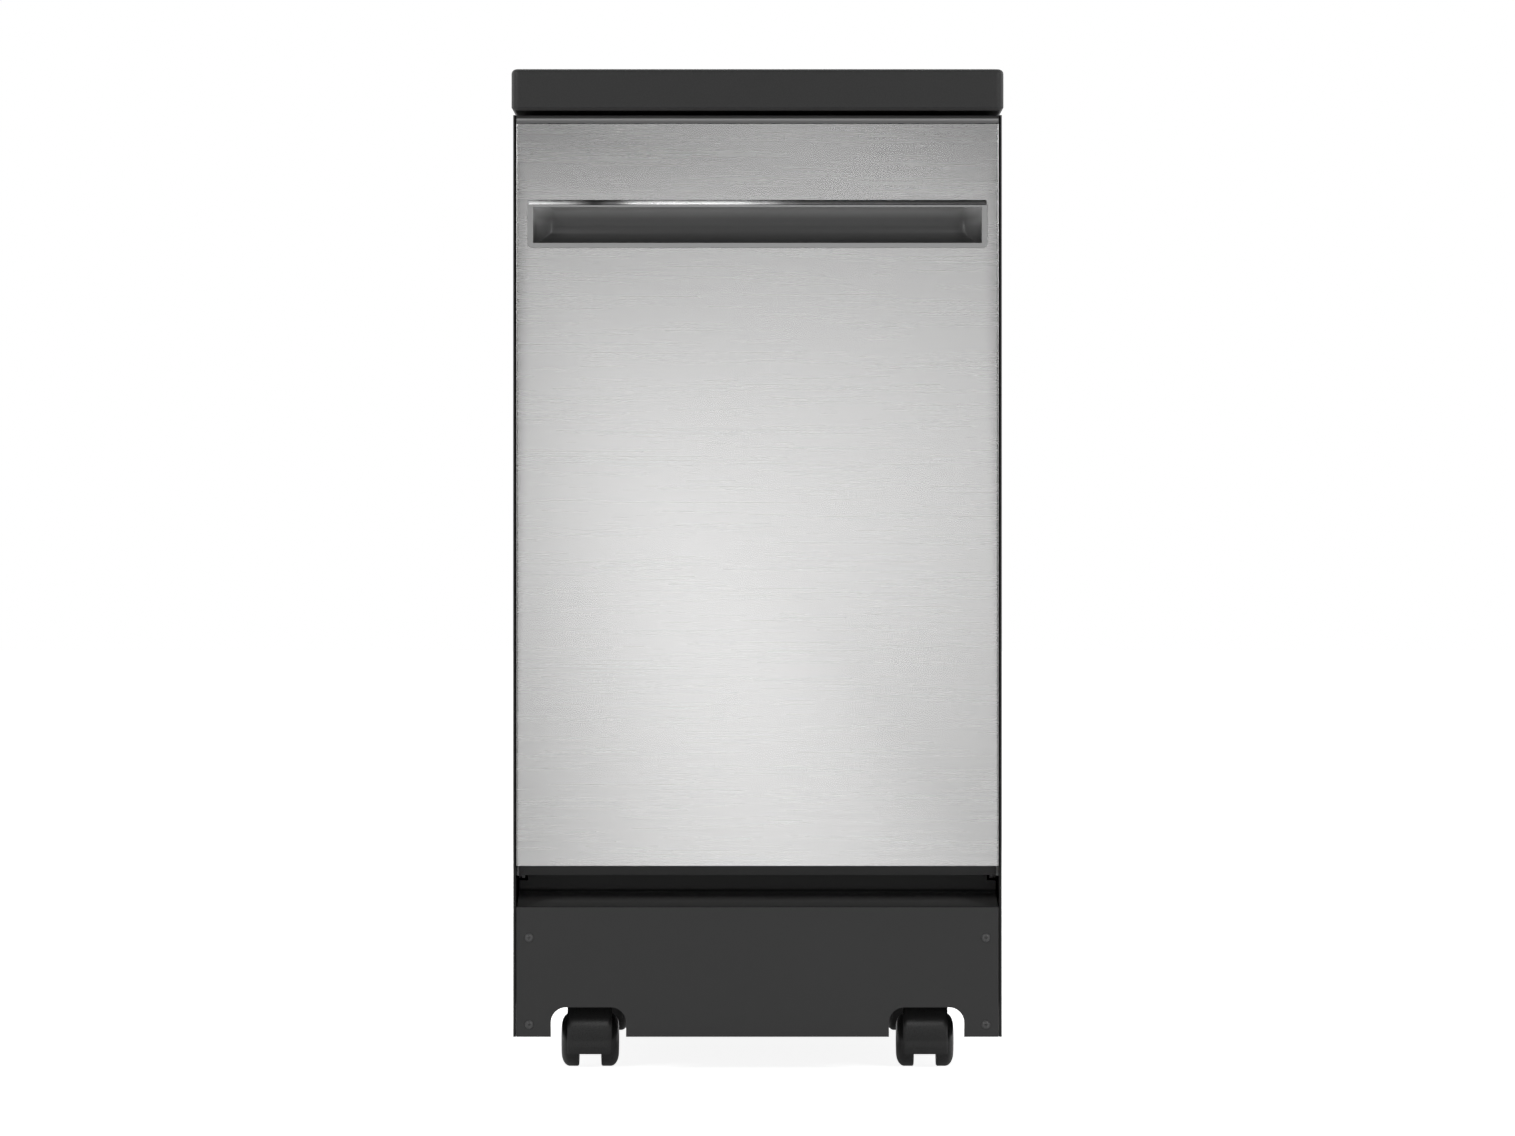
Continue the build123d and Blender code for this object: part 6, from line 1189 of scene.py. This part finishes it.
@dataclass
class WireBasket:
    """An open rack of bent wires, as its solids lie."""

    name: str
    node: str
    half: float
    front: float
    rear: float
    floor: float
    height: float
    along: int
    across: int
    toe: float
    toe_rise: float
    tine_rows: tuple[int, ...]
    tine_height: float
    track: float = 17.0
    last_row: float = 6.8
    wire: float = 1.7
    wire_round: float = 1.52
    rim: float = 2.4
    rim_round: float = 2.2
    bend: float = 11.0
    rim_bend: float = 12.0
    bend_steps: int = 4
    sides: int = 10

    def __post_init__(self) -> None:
        """Works out the heights of the rim and of the cross wires, which lie on the lengthwise ones."""
        self.top = self.floor + self.height
        self.cross = self.floor + 2 * self.wire * math.cos(math.pi / 6)

    def columns(self) -> list[float]:
        """Places of the lengthwise wires across the machine."""
        return spread(-self.half + self.track, self.half - self.track, self.along)

    def rows(self) -> list[float]:
        """Places of the cross wires along the machine."""
        return spread(self.front + self.toe, self.rear - self.last_row, self.across)

    def lengthwise(self, x: float) -> Line:
        """Draws a wire down the front, over the raised toe, along the floor and up the rear.

        Args:
            x: the wire's place across the machine.

        Returns:
            The wire's line.
        """
        return Line(
            (
                (x, self.front, self.top),
                (x, self.front, self.floor + self.toe_rise),
                (x, self.front + self.toe, self.floor),
                (x, self.rear, self.floor),
                (x, self.rear, self.top),
            )
        )

    def crosswise(self, y: float) -> Line:
        """Returns a wire down one side, across the floor and up the other side."""
        half, top, cross = self.half, self.top, self.cross
        return Line(((-half, y, top), (-half, y, cross), (half, y, cross), (half, y, top)))

    def rims(self) -> list[Line]:
        """Draws the top rim and the middle one, inside the upright wires.

        Returns:
            The closed lines of both.
        """
        x = self.half - self.wire - self.rim
        front, rear = self.front + self.wire + self.rim, self.rear - self.wire - self.rim
        corners = ((-x, front), (x, front), (x, rear), (-x, rear))
        middle = self.floor + (self.height + self.toe_rise) / 2
        return [
            Line(tuple((x, y, z) for x, y in corners), closed=True)
            for z in (self.top - self.rim, middle)
        ]

    def pins(self) -> list[Line]:
        """Draws the fixed tines, halfway between the lengthwise wires.

        Returns:
            A line for each tine.
        """
        columns, rows = self.columns(), self.rows()
        tip = self.cross + self.wire + self.tine_height
        return [
            Line((((a + b) / 2, rows[row], self.cross), ((a + b) / 2, rows[row], tip)))
            for row in self.tine_rows
            for a, b in zip(columns, columns[1:])
        ]

    def extras(self) -> list[bpy.types.Mesh]:
        """Returns further meshes that belong to the rack."""
        return []

    def build(self, shop: WireShop) -> None:
        """Makes the rack as one mesh and puts it on its body.

        Args:
            shop: the wires' shop.
        """
        grid = [self.lengthwise(x) for x in self.columns()] + [self.crosswise(y) for y in self.rows()]
        pins = self.pins()
        parts = [
            shop.bend(grid, self.wire_round, self.sides, self.bend, self.bend_steps),
            shop.bend(self.rims(), self.rim_round, self.sides, self.rim_bend, self.bend_steps),
            shop.bend(pins, self.wire_round, self.sides),
            shop.round_off(pins, self.wire_round),
            *self.extras(),
        ]
        place_piece(self.name, combine(self.name, parts), shop.finish, self.node)


@dataclass
class LowerBasket(WireBasket):
    """The lower rack, with the two clips that hold the folding row's axle."""

    name: str = "lower_rack_bent_wires"
    node: str = "lower_rack_wires"
    half: float = 183.0
    front: float = -203.0
    rear: float = 236.0
    floor: float = 254.0
    height: float = 112.0
    along: int = 9
    across: int = 9
    toe: float = 46.0
    toe_rise: float = 26.0
    tine_rows: tuple[int, ...] = (5, 7)
    tine_height: float = 72.0
    bore_r: float = 2.46
    clip_half: float = 5.4
    clip_width: float = 8.0
    clip_corner: float = 2.4
    clip_steps: int = 32

    def ring(self, form: bmesh.types.BMesh, x: float, bore: bool) -> list[Corner]:
        """Adds the corners of a clip's bore or of its outline, a square with cut corners.

        Args:
            form: the mesh to add to.
            x: the ring's place across the machine.
            bore: whether it is the bore.

        Returns:
            The ring's corners.
        """
        _, axle_y, axle_z = HINGE_PLACES["lower_tines_fold_pivot"]
        widest = self.clip_half * math.sqrt(2) - self.clip_corner
        corners = []
        for step in range(self.clip_steps):
            turn = math.tau * (step + 0.5) / self.clip_steps
            dy, dz = math.cos(turn), math.sin(turn)
            size = self.bore_r if bore else min(self.clip_half / max(abs(dy), abs(dz)), widest)
            corners.append(add_corner(form, (x, axle_y + size * dy, axle_z + size * dz)))
        return corners

    def extras(self) -> list[bpy.types.Mesh]:
        """Makes the two clips, each a rounded block with the axle's bore.

        Returns:
            One mesh that holds both.
        """
        form = bmesh.new()
        for x in (self.columns()[1], self.columns()[-2]):
            left, right = x - self.clip_width / 2, x + self.clip_width / 2
            sides = ((left, False), (right, False), (right, True), (left, True))
            rings = [self.ring(form, place, bore) for place, bore in sides]
            skin(form, [*rings, rings[0]], capped=False)
        return [finished("fold_clips", form)]


@dataclass
class UpperBasket(WireBasket):
    """The upper rack."""

    name: str = "upper_rack_bent_wires"
    node: str = "upper_rack_wires"
    half: float = 176.0
    front: float = -200.0
    rear: float = 222.0
    floor: float = 574.0
    height: float = 96.0
    along: int = 8
    across: int = 8
    toe: float = 30.0
    toe_rise: float = 16.0
    tine_rows: tuple[int, ...] = (2, 5)
    tine_height: float = 48.0


@dataclass
class FoldingTines:
    """A row of tines on one axle across the lower rack."""

    axle_half: float = 162.25
    axle_r: float = 2.4
    tine_r: float = 1.45
    tine_top: float = 324.7
    tine_half: float = 145.25
    tine_count: int = 8
    sides: int = 12

    def build(self, shop: WireShop) -> None:
        """Makes the axle and its tines.

        Args:
            shop: the wires' shop.
        """
        _, y, z = HINGE_PLACES["lower_tines_fold_pivot"]
        axle = Line(((-self.axle_half, y, z), (self.axle_half, y, z)))
        top = self.tine_top - self.tine_r
        tines = [
            Line(((x, y, z), (x, y, top)))
            for x in spread(-self.tine_half, self.tine_half, self.tine_count)
        ]
        parts = [
            shop.bend([axle], self.axle_r, self.sides),
            shop.bend(tines, self.tine_r, self.sides),
            shop.round_off(tines, self.tine_r),
        ]
        name = "folding_tine_row"
        place_piece(name, combine(name, parts), shop.finish, "lower_tines_fold")


# Casters


@dataclass
class CasterWheels:
    """Twin wheels of the four casters, turned with domed faces."""

    radius: float = 24.6
    half: float = 26.5
    inner: float = 10.4
    edge: float = 1.0
    bulge: float = 7.6
    face_r: float = 12.5
    dome_steps: int = 12
    hub: float = 7.0
    hub_depth: float = 1.2
    axle_r: float = 4.0
    axle_overlap: float = 1.0
    wheel_steps: int = 64
    axle_steps: int = 24
    crisp: float = 34.0

    def profile(self) -> list[Pair]:
        """Draws one wheel's outline from its inner face outwards.

        Returns:
            Places along the axle, each with its radius.
        """
        dome = []
        for turn in spread(0.0, math.pi / 2, self.dome_steps + 1):
            place = self.half - self.bulge * (1 - math.sin(turn))
            dome.append((place, self.face_r + (self.radius - self.face_r) * math.cos(turn)))
        return [
            (self.inner, 0.0),
            (self.inner, self.radius - self.edge),
            (self.inner + self.edge, self.radius),
            *dome,
            (self.half, self.hub),
            (self.half - self.hub_depth, self.hub - self.hub_depth),
            (self.half - self.hub_depth, 0.0),
        ]

    def build(self) -> None:
        """Makes each caster's pair on its own body."""
        axle_end = self.inner + self.axle_overlap
        axle = [(-axle_end, 0.0), (-axle_end, self.axle_r), (axle_end, self.axle_r), (axle_end, 0.0)]
        for corner in CASTERS:
            centre = HINGE_PLACES[f"caster_roll_{corner}"]
            form = bmesh.new()
            for way in (-1, 1):
                outline = [(way * place, radius) for place, radius in self.profile()]
                lathe(form, outline, centre, Axis.ACROSS, self.wheel_steps)
            lathe(form, axle, centre, Axis.ACROSS, self.axle_steps)
            name = f"twin_wheels_{corner}"
            mesh = finished(name, form, self.crisp)
            place_piece(name, mesh, TREAD_PLASTIC, f"caster_wheels_{corner}")


@dataclass
class CasterHoods:
    """Moulded hoods of the four casters, each with its web, collar and stem."""

    trail: float = 14.0
    reach: float = 28.4
    wall: float = 2.2
    half: float = 20.5
    shoulder: float = 4.5
    shoulder_drop: float = 1.54
    shoulder_steps: int = 5
    lip: float = 0.3
    low_angle: float = 25.0
    crest: float = 33.2
    swell: float = 13.0
    swell_end: float = 120.0
    swell_shape: float = 1.3
    hood_steps: int = 60
    web_half: float = 9.8
    web_low: float = 11.1
    web_r: float = 27.0
    web_steps: int = 40
    collar_r: float = 9.0
    collar_z: float = 58.0
    stem_r: float = 5.0
    stem_z: float = 90.0
    stem_edge: float = 1.0
    stem_steps: int = 32
    crisp: float = 42.0

    def outline(self, angle: float) -> Pair:
        """Returns a point of the hood's outer line, raised over the stem and flat on top.

        Args:
            angle: degrees from the front, over the top.

        Returns:
            Y and Z from the wheel's centre.
        """
        turn = math.radians(angle)
        share = min(max(angle, 0.0), self.swell_end) / self.swell_end
        rise = max(0.0, math.sin(math.pi * share))
        size = self.reach + self.swell * rise**self.swell_shape
        return -size * math.cos(turn), min(size * math.sin(turn), self.crest)

    def section(self) -> list[Pair]:
        """Draws the hood's cross section.

        Returns:
            Places across, each with its depth below the outer line.
        """
        right = []
        for turn in spread(0.0, math.pi / 2, self.shoulder_steps + 1):
            across = self.half - self.shoulder * (1 - math.sin(turn))
            right.append((across, self.shoulder_drop * (1 - math.cos(turn))))
        right.append((self.half - self.lip, self.wall))
        return [(-across, drop) for across, drop in reversed(right)] + right

    def shell(self, form: bmesh.types.BMesh, centre: Point) -> None:
        """Adds the crowned hood over both wheels.

        Args:
            form: the mesh to add to.
            centre: the middle between the wheels.
        """
        x, y, z = centre
        rings = []
        for angle in spread(-self.low_angle, 180.0 + self.low_angle, self.hood_steps):
            out_y, out_z = self.outline(angle)
            length = math.hypot(out_y, out_z)
            ring = []
            for across, drop in self.section():
                share = (length - drop) / length
                ring.append(add_corner(form, (x + across, y + out_y * share, z + out_z * share)))
            rings.append(ring)
        skin(form, rings)

    def web(self, form: bmesh.types.BMesh, centre: Point) -> None:
        """Adds the web between the wheels.

        Args:
            form: the mesh to add to.
            centre: the middle between the wheels.
        """
        x, y, z = centre
        start = math.asin(self.web_low / self.web_r)
        turns = spread(-start, math.pi + start, self.web_steps)
        edge = [(y - self.web_r * math.cos(turn), z + self.web_r * math.sin(turn)) for turn in turns]
        sides = (x - self.web_half, x + self.web_half)
        skin(form, [[add_corner(form, (side, *place)) for place in edge] for side in sides])

    def stem(self, form: bmesh.types.BMesh, centre: Point) -> None:
        """Adds the collar and the swivel stem, which stand the trail before the axle.

        Args:
            form: the mesh to add to.
            centre: the middle between the wheels.
        """
        x, y, z = centre
        collar, top = self.collar_z - z, self.stem_z - z
        profile = [
            (0.0, 0.0),
            (0.0, self.collar_r),
            (collar, self.collar_r),
            (collar, self.stem_r),
            (top - self.stem_edge, self.stem_r),
            (top, self.stem_r - self.stem_edge),
            (top, 0.0),
        ]
        lathe(form, profile, (x, y - self.trail, z), Axis.UPRIGHT, self.stem_steps)

    def build(self) -> None:
        """Makes each hood on its own body."""
        for corner in CASTERS:
            centre = HINGE_PLACES[f"caster_roll_{corner}"]
            form = bmesh.new()
            self.shell(form, centre)
            self.web(form, centre)
            self.stem(form, centre)
            name = f"hooded_fork_{corner}"
            mesh = finished(name, form, self.crisp)
            place_piece(name, mesh, CASTER_PLASTIC, f"caster_hood_{corner}")


# Screws and springs


@dataclass
class PanelScrews:
    """Four cross-recessed screws of the lower front panel."""

    x: float = 209.4
    rows: Pair = (122.8, 43.1)
    seat_y: float = -294.0
    head_r: float = 4.0
    head_rise: float = 1.75
    crown_steps: int = 7
    crown_shape: float = 0.6
    shank_r: float = 1.9
    shank: float = 9.0
    turned_steps: int = 28
    recess: float = 1.3
    recess_half: float = 0.45
    recess_reach: float = 2.1
    recess_taper: float = 0.4
    recess_arms: int = 4
    crisp: float = 35.0

    def body(self) -> bpy.types.Mesh:
        """Turns the screw at the origin, its head towards -Y.

        Returns:
            The screw's mesh.
        """
        crown = [
            (-self.head_rise * math.sin(turn), self.head_r * math.cos(turn) ** self.crown_shape)
            for turn in spread(0.0, math.pi / 2, self.crown_steps + 1)[:-1]
        ]
        profile = [
            (self.shank, 0.0),
            (self.shank, self.shank_r),
            (0.0, self.shank_r),
            *crown,
            (-self.head_rise, 0.0),
        ]
        form = bmesh.new()
        lathe(form, profile, (0.0, 0.0, 0.0), Axis.ALONG, self.turned_steps)
        return finished("screw_form", form)

    def cross(self) -> bpy.types.Mesh:
        """Makes the tapered cross that is cut from the head.

        Returns:
            The cross's mesh.
        """
        half, reach = self.recess_half, self.recess_reach
        arm = [(half, half), (half, reach), (-half, reach)]
        outline = []
        for _ in range(self.recess_arms):
            outline += arm
            arm = [(-z, x) for x, z in arm]
        form = bmesh.new()
        ends = ((-self.head_rise - self.recess, 1.0), (-self.head_rise + self.recess, self.recess_taper))
        skin(form, [[add_corner(form, (x * size, y, z * size)) for x, z in outline] for y, size in ends])
        return finished("cross_form", form)

    def screw(self) -> bpy.types.Object:
        """Cuts the cross in the head of one screw.

        Returns:
            The screw's object, in the scene.
        """
        screw, cross = [
            bpy.data.objects.new(mesh.name, mesh) for mesh in (self.body(), self.cross())
        ]
        for item in (screw, cross):
            bpy.context.scene.collection.objects.link(item)
        cut = screw.modifiers.new("cross", "BOOLEAN")
        cut.operation = "DIFFERENCE"
        cut.solver = "EXACT"
        cut.object = cross
        graph = bpy.context.evaluated_depsgraph_get()
        mesh = bpy.data.meshes.new_from_object(screw.evaluated_get(graph))
        screw.modifiers.clear()
        screw.data = mesh
        mesh.materials.clear()
        mesh.materials.append(SCREW_BLACK.material())
        bpy.data.objects.remove(cross)
        return screw

    def recipe(self) -> NodeRecipe:
        """Writes the recipe for a form on every point.

        Returns:
            The recipe.
        """
        recipe = NodeRecipe("repeated_form", Form="Object")
        form = recipe.node("ObjectInfo")
        recipe.feed("Form", form.inputs["Object"])
        recipe.repeat(form.outputs["Geometry"])
        return recipe

    def build(self) -> None:
        """Sets a screw in each corner of the panel."""
        screw = self.screw()
        seats = [Line(((side * self.x, self.seat_y, z),)) for side in (-1, 1) for z in self.rows]
        values = {"Form": screw, "Material": SCREW_BLACK.material()}
        mesh = self.recipe().run(lines_mesh("screw_seats", seats), values)
        bpy.data.objects.remove(screw)
        mesh.set_sharp_from_angle(angle=math.radians(self.crisp))
        place_piece("cross_recess_screws", mesh, SCREW_BLACK, "panel_screws")


@dataclass
class DoorSprings:
    """Coil springs that balance the door, one behind each side panel."""

    x: float = 215.3
    z: float = 186.0
    front: float = -212.4
    rear: float = -5.6
    coil_r: float = 4.6
    wire_r: float = 0.8
    turns: float = 74.0
    turn_steps: int = 14
    wire_sides: int = 6

    def recipe(self) -> NodeRecipe:
        """Writes the recipe for a helix along +Z from the origin.

        Returns:
            The recipe.
        """
        lengths = {"Coil radius": "Float", "Length": "Float", "Wire radius": "Float"}
        counts = {"Turns": "Float", "Steps": "Int", "Sides": "Int"}
        recipe = NodeRecipe("coil_spring", **lengths, **counts)
        helix = recipe.node("CurveSpiral")
        recipe.feed("Steps", helix.inputs["Resolution"])
        recipe.feed("Turns", helix.inputs["Rotations"])
        recipe.feed("Length", helix.inputs["Height"])
        recipe.feed("Coil radius", helix.inputs["Start Radius"], helix.inputs["End Radius"])
        recipe.sweep(helix.outputs["Curve"])
        return recipe

    def build(self) -> None:
        """Winds both springs."""
        recipe = self.recipe()
        values = {
            "Coil radius": self.coil_r * MM,
            "Length": (self.rear - self.front) * MM,
            "Wire radius": self.wire_r * MM,
            "Turns": self.turns,
            "Steps": self.turn_steps,
            "Sides": self.wire_sides,
            "Material": ZINC.material(),
        }
        parts = []
        for side in (-1, 1):
            coil = recipe.run(lines_mesh("spring_start", [Line(((0.0, 0.0, 0.0),))]), values)
            start = Vector((side * self.x, self.front, self.z)) * MM
            coil.transform(Matrix.LocRotScale(start, Euler((-math.pi / 2, 0.0, 0.0)), None))
            parts.append(coil)
        name = "balance_springs"
        place_piece(name, combine(name, parts), ZINC, "door_springs")


# Camera, lamps, floor and sky


@dataclass(frozen=True)
class Lamp:
    """A rectangular soft lamp: its places in metres, its size across and up, and its power."""

    name: str
    place: Point
    aim: Point
    size: Pair
    watts: float

    def hang(self) -> None:
        """Adds the lamp to the scene, unseen by the camera."""
        data = bpy.data.lights.new(self.name, "AREA")
        data.shape = "RECTANGLE"
        data.size, data.size_y = self.size
        data.energy = self.watts
        lamp = bpy.data.objects.new(self.name, data)
        lamp.visible_camera = False
        lamp.location = self.place
        lamp.rotation_euler = (Vector(self.aim) - Vector(self.place)).to_track_quat("-Z", "Y").to_euler()
        bpy.context.scene.collection.objects.link(lamp)


LAMPS = (
    Lamp("front_glow", place=(0.03, -7.3, 0.41), aim=(0.03, 0.0, 0.41), size=(1.6, 1.0), watts=15.5),
    Lamp("front_left", place=(-3.0, -4.0, 2.6), aim=(0.0, 0.0, 0.4), size=(1.4, 1.2), watts=62.0),
    Lamp("front_right", place=(3.0, -4.0, 2.6), aim=(0.0, 0.0, 0.4), size=(1.4, 1.2), watts=62.0),
    Lamp("left_soft", place=(-3.6, 0.6, 1.8), aim=(0.0, 0.0, 0.5), size=(1.6, 2.0), watts=30.0),
    Lamp("right_soft", place=(3.6, 0.6, 1.8), aim=(0.0, 0.0, 0.5), size=(1.6, 2.0), watts=30.0),
    Lamp("rear_soft", place=(0.6, 3.8, 2.2), aim=(0.0, 0.0, 0.5), size=(2.0, 2.0), watts=60.0),
)


@dataclass
class Studio:
    """The photograph's view and light: lengths in metres, the lens and film in millimetres."""

    lamps: tuple[Lamp, ...] = LAMPS
    camera_distance: float = 6.0
    camera_height: float = 0.4618
    front_plane: float = -0.297
    lens: float = 155.6
    film: float = 36.0
    far: float = 100.0
    floor_half: float = 30.0
    floor_front: float = -2.4
    floor_colour: Point = (0.8, 0.8, 0.8)
    floor_glow: float = 0.9
    floor_shine: float = 0.1
    sky_level: float = 0.3
    room_level: float = 0.06
    room_edge: float = 0.35

    def camera(self) -> None:
        """The photograph's view: level, straight at the door."""
        data = bpy.data.cameras.new("view_camera")
        data.sensor_fit = "HORIZONTAL"
        data.sensor_width = self.film
        data.lens = self.lens
        data.clip_end = self.far
        camera = bpy.data.objects.new("view_camera", data)
        camera.location = (0, self.front_plane - self.camera_distance, self.camera_height)
        camera.rotation_euler = (math.pi / 2, 0, 0)
        bpy.context.scene.collection.objects.link(camera)
        bpy.context.scene.camera = camera

    def sky(self) -> None:
        """Plain grey sky, white to the camera and to shine, but dim behind the camera for shine."""
        world = bpy.data.worlds.new("studio_sky")
        bpy.context.scene.world = world
        world.use_nodes = True
        sheet = ShaderTree(world.node_tree)
        plain = world.node_tree.nodes["Background"]
        shown = sheet.node("Background")
        for sky in (plain, shown):
            sky.inputs["Color"].default_value = WHITE
        plain.inputs["Strength"].default_value = self.sky_level
        ahead = sheet.axes(Coordinates.DIRECTION).outputs["Y"]
        room = sheet.remap(ahead, (-self.room_edge, self.room_edge), (self.room_level, 1.0))
        level = sheet.calculate("MAXIMUM", room, sheet.rays(Ray.CAMERA))
        sheet.join(level, shown.inputs["Strength"])
        mix = sheet.node("MixShader")
        sheet.join(sheet.rays(*Ray), mix.inputs["Fac"])
        for sky, target in zip((plain, shown), list(mix.inputs)[1:]):
            sheet.join(sky.outputs["Background"], target)
        sheet.join(mix.outputs["Shader"], world.node_tree.nodes["World Output"].inputs["Surface"])

    def floor(self) -> None:
        """Plain pale floor that keeps a soft shadow."""
        mesh = bpy.data.meshes.new("studio_floor")
        half, front = self.floor_half, self.floor_front
        corners = [(-half, front, 0), (half, front, 0), (half, half, 0), (-half, half, 0)]
        mesh.from_pydata(corners, [], [range(len(corners))])
        floor = bpy.data.objects.new("studio_floor", mesh)
        bpy.context.scene.collection.objects.link(floor)
        sheet = ShaderSheet("studio_floor_pale")
        sheet.set(Roughness=0.9, Specular_IOR_Level=0.0)
        sheet.shader.inputs["Base Color"].default_value = (*self.floor_colour, 1.0)
        sheet.shader.inputs["Emission Color"].default_value = WHITE
        shine = sheet.calculate("MULTIPLY", sheet.rays(*Ray), self.floor_shine)
        extra = self.floor_glow - self.floor_shine
        glow = sheet.calculate("MULTIPLY_ADD", sheet.rays(Ray.CAMERA), extra, shine)
        sheet.join(glow, sheet.shader.inputs["Emission Strength"])
        mesh.materials.append(sheet.material)

    def build(self) -> None:
        """Sets the whole stage."""
        bpy.context.scene.view_settings.view_transform = "Standard"
        self.camera()
        self.sky()
        self.floor()
        for lamp in self.lamps:
            lamp.hang()


def main() -> None:
    """Builds every piece in order."""
    logging.basicConfig(level=logging.INFO, format="%(name)s: %(message)s")
    for assembly in (
        Studio(),
        Cabinet(),
        RearBay(),
        DoorFront(),
        DoorInside(),
        Tub(),
        WaterPath(),
        RackFittings(),
        CasterWheels(),
        CasterHoods(),
        PanelScrews(),
        DoorSprings(),
    ):
        assembly.build()
    shop = WireShop()
    for rack in (LowerBasket(), UpperBasket(), FoldingTines()):
        rack.build(shop)


if __name__ == "__main__":
    main()
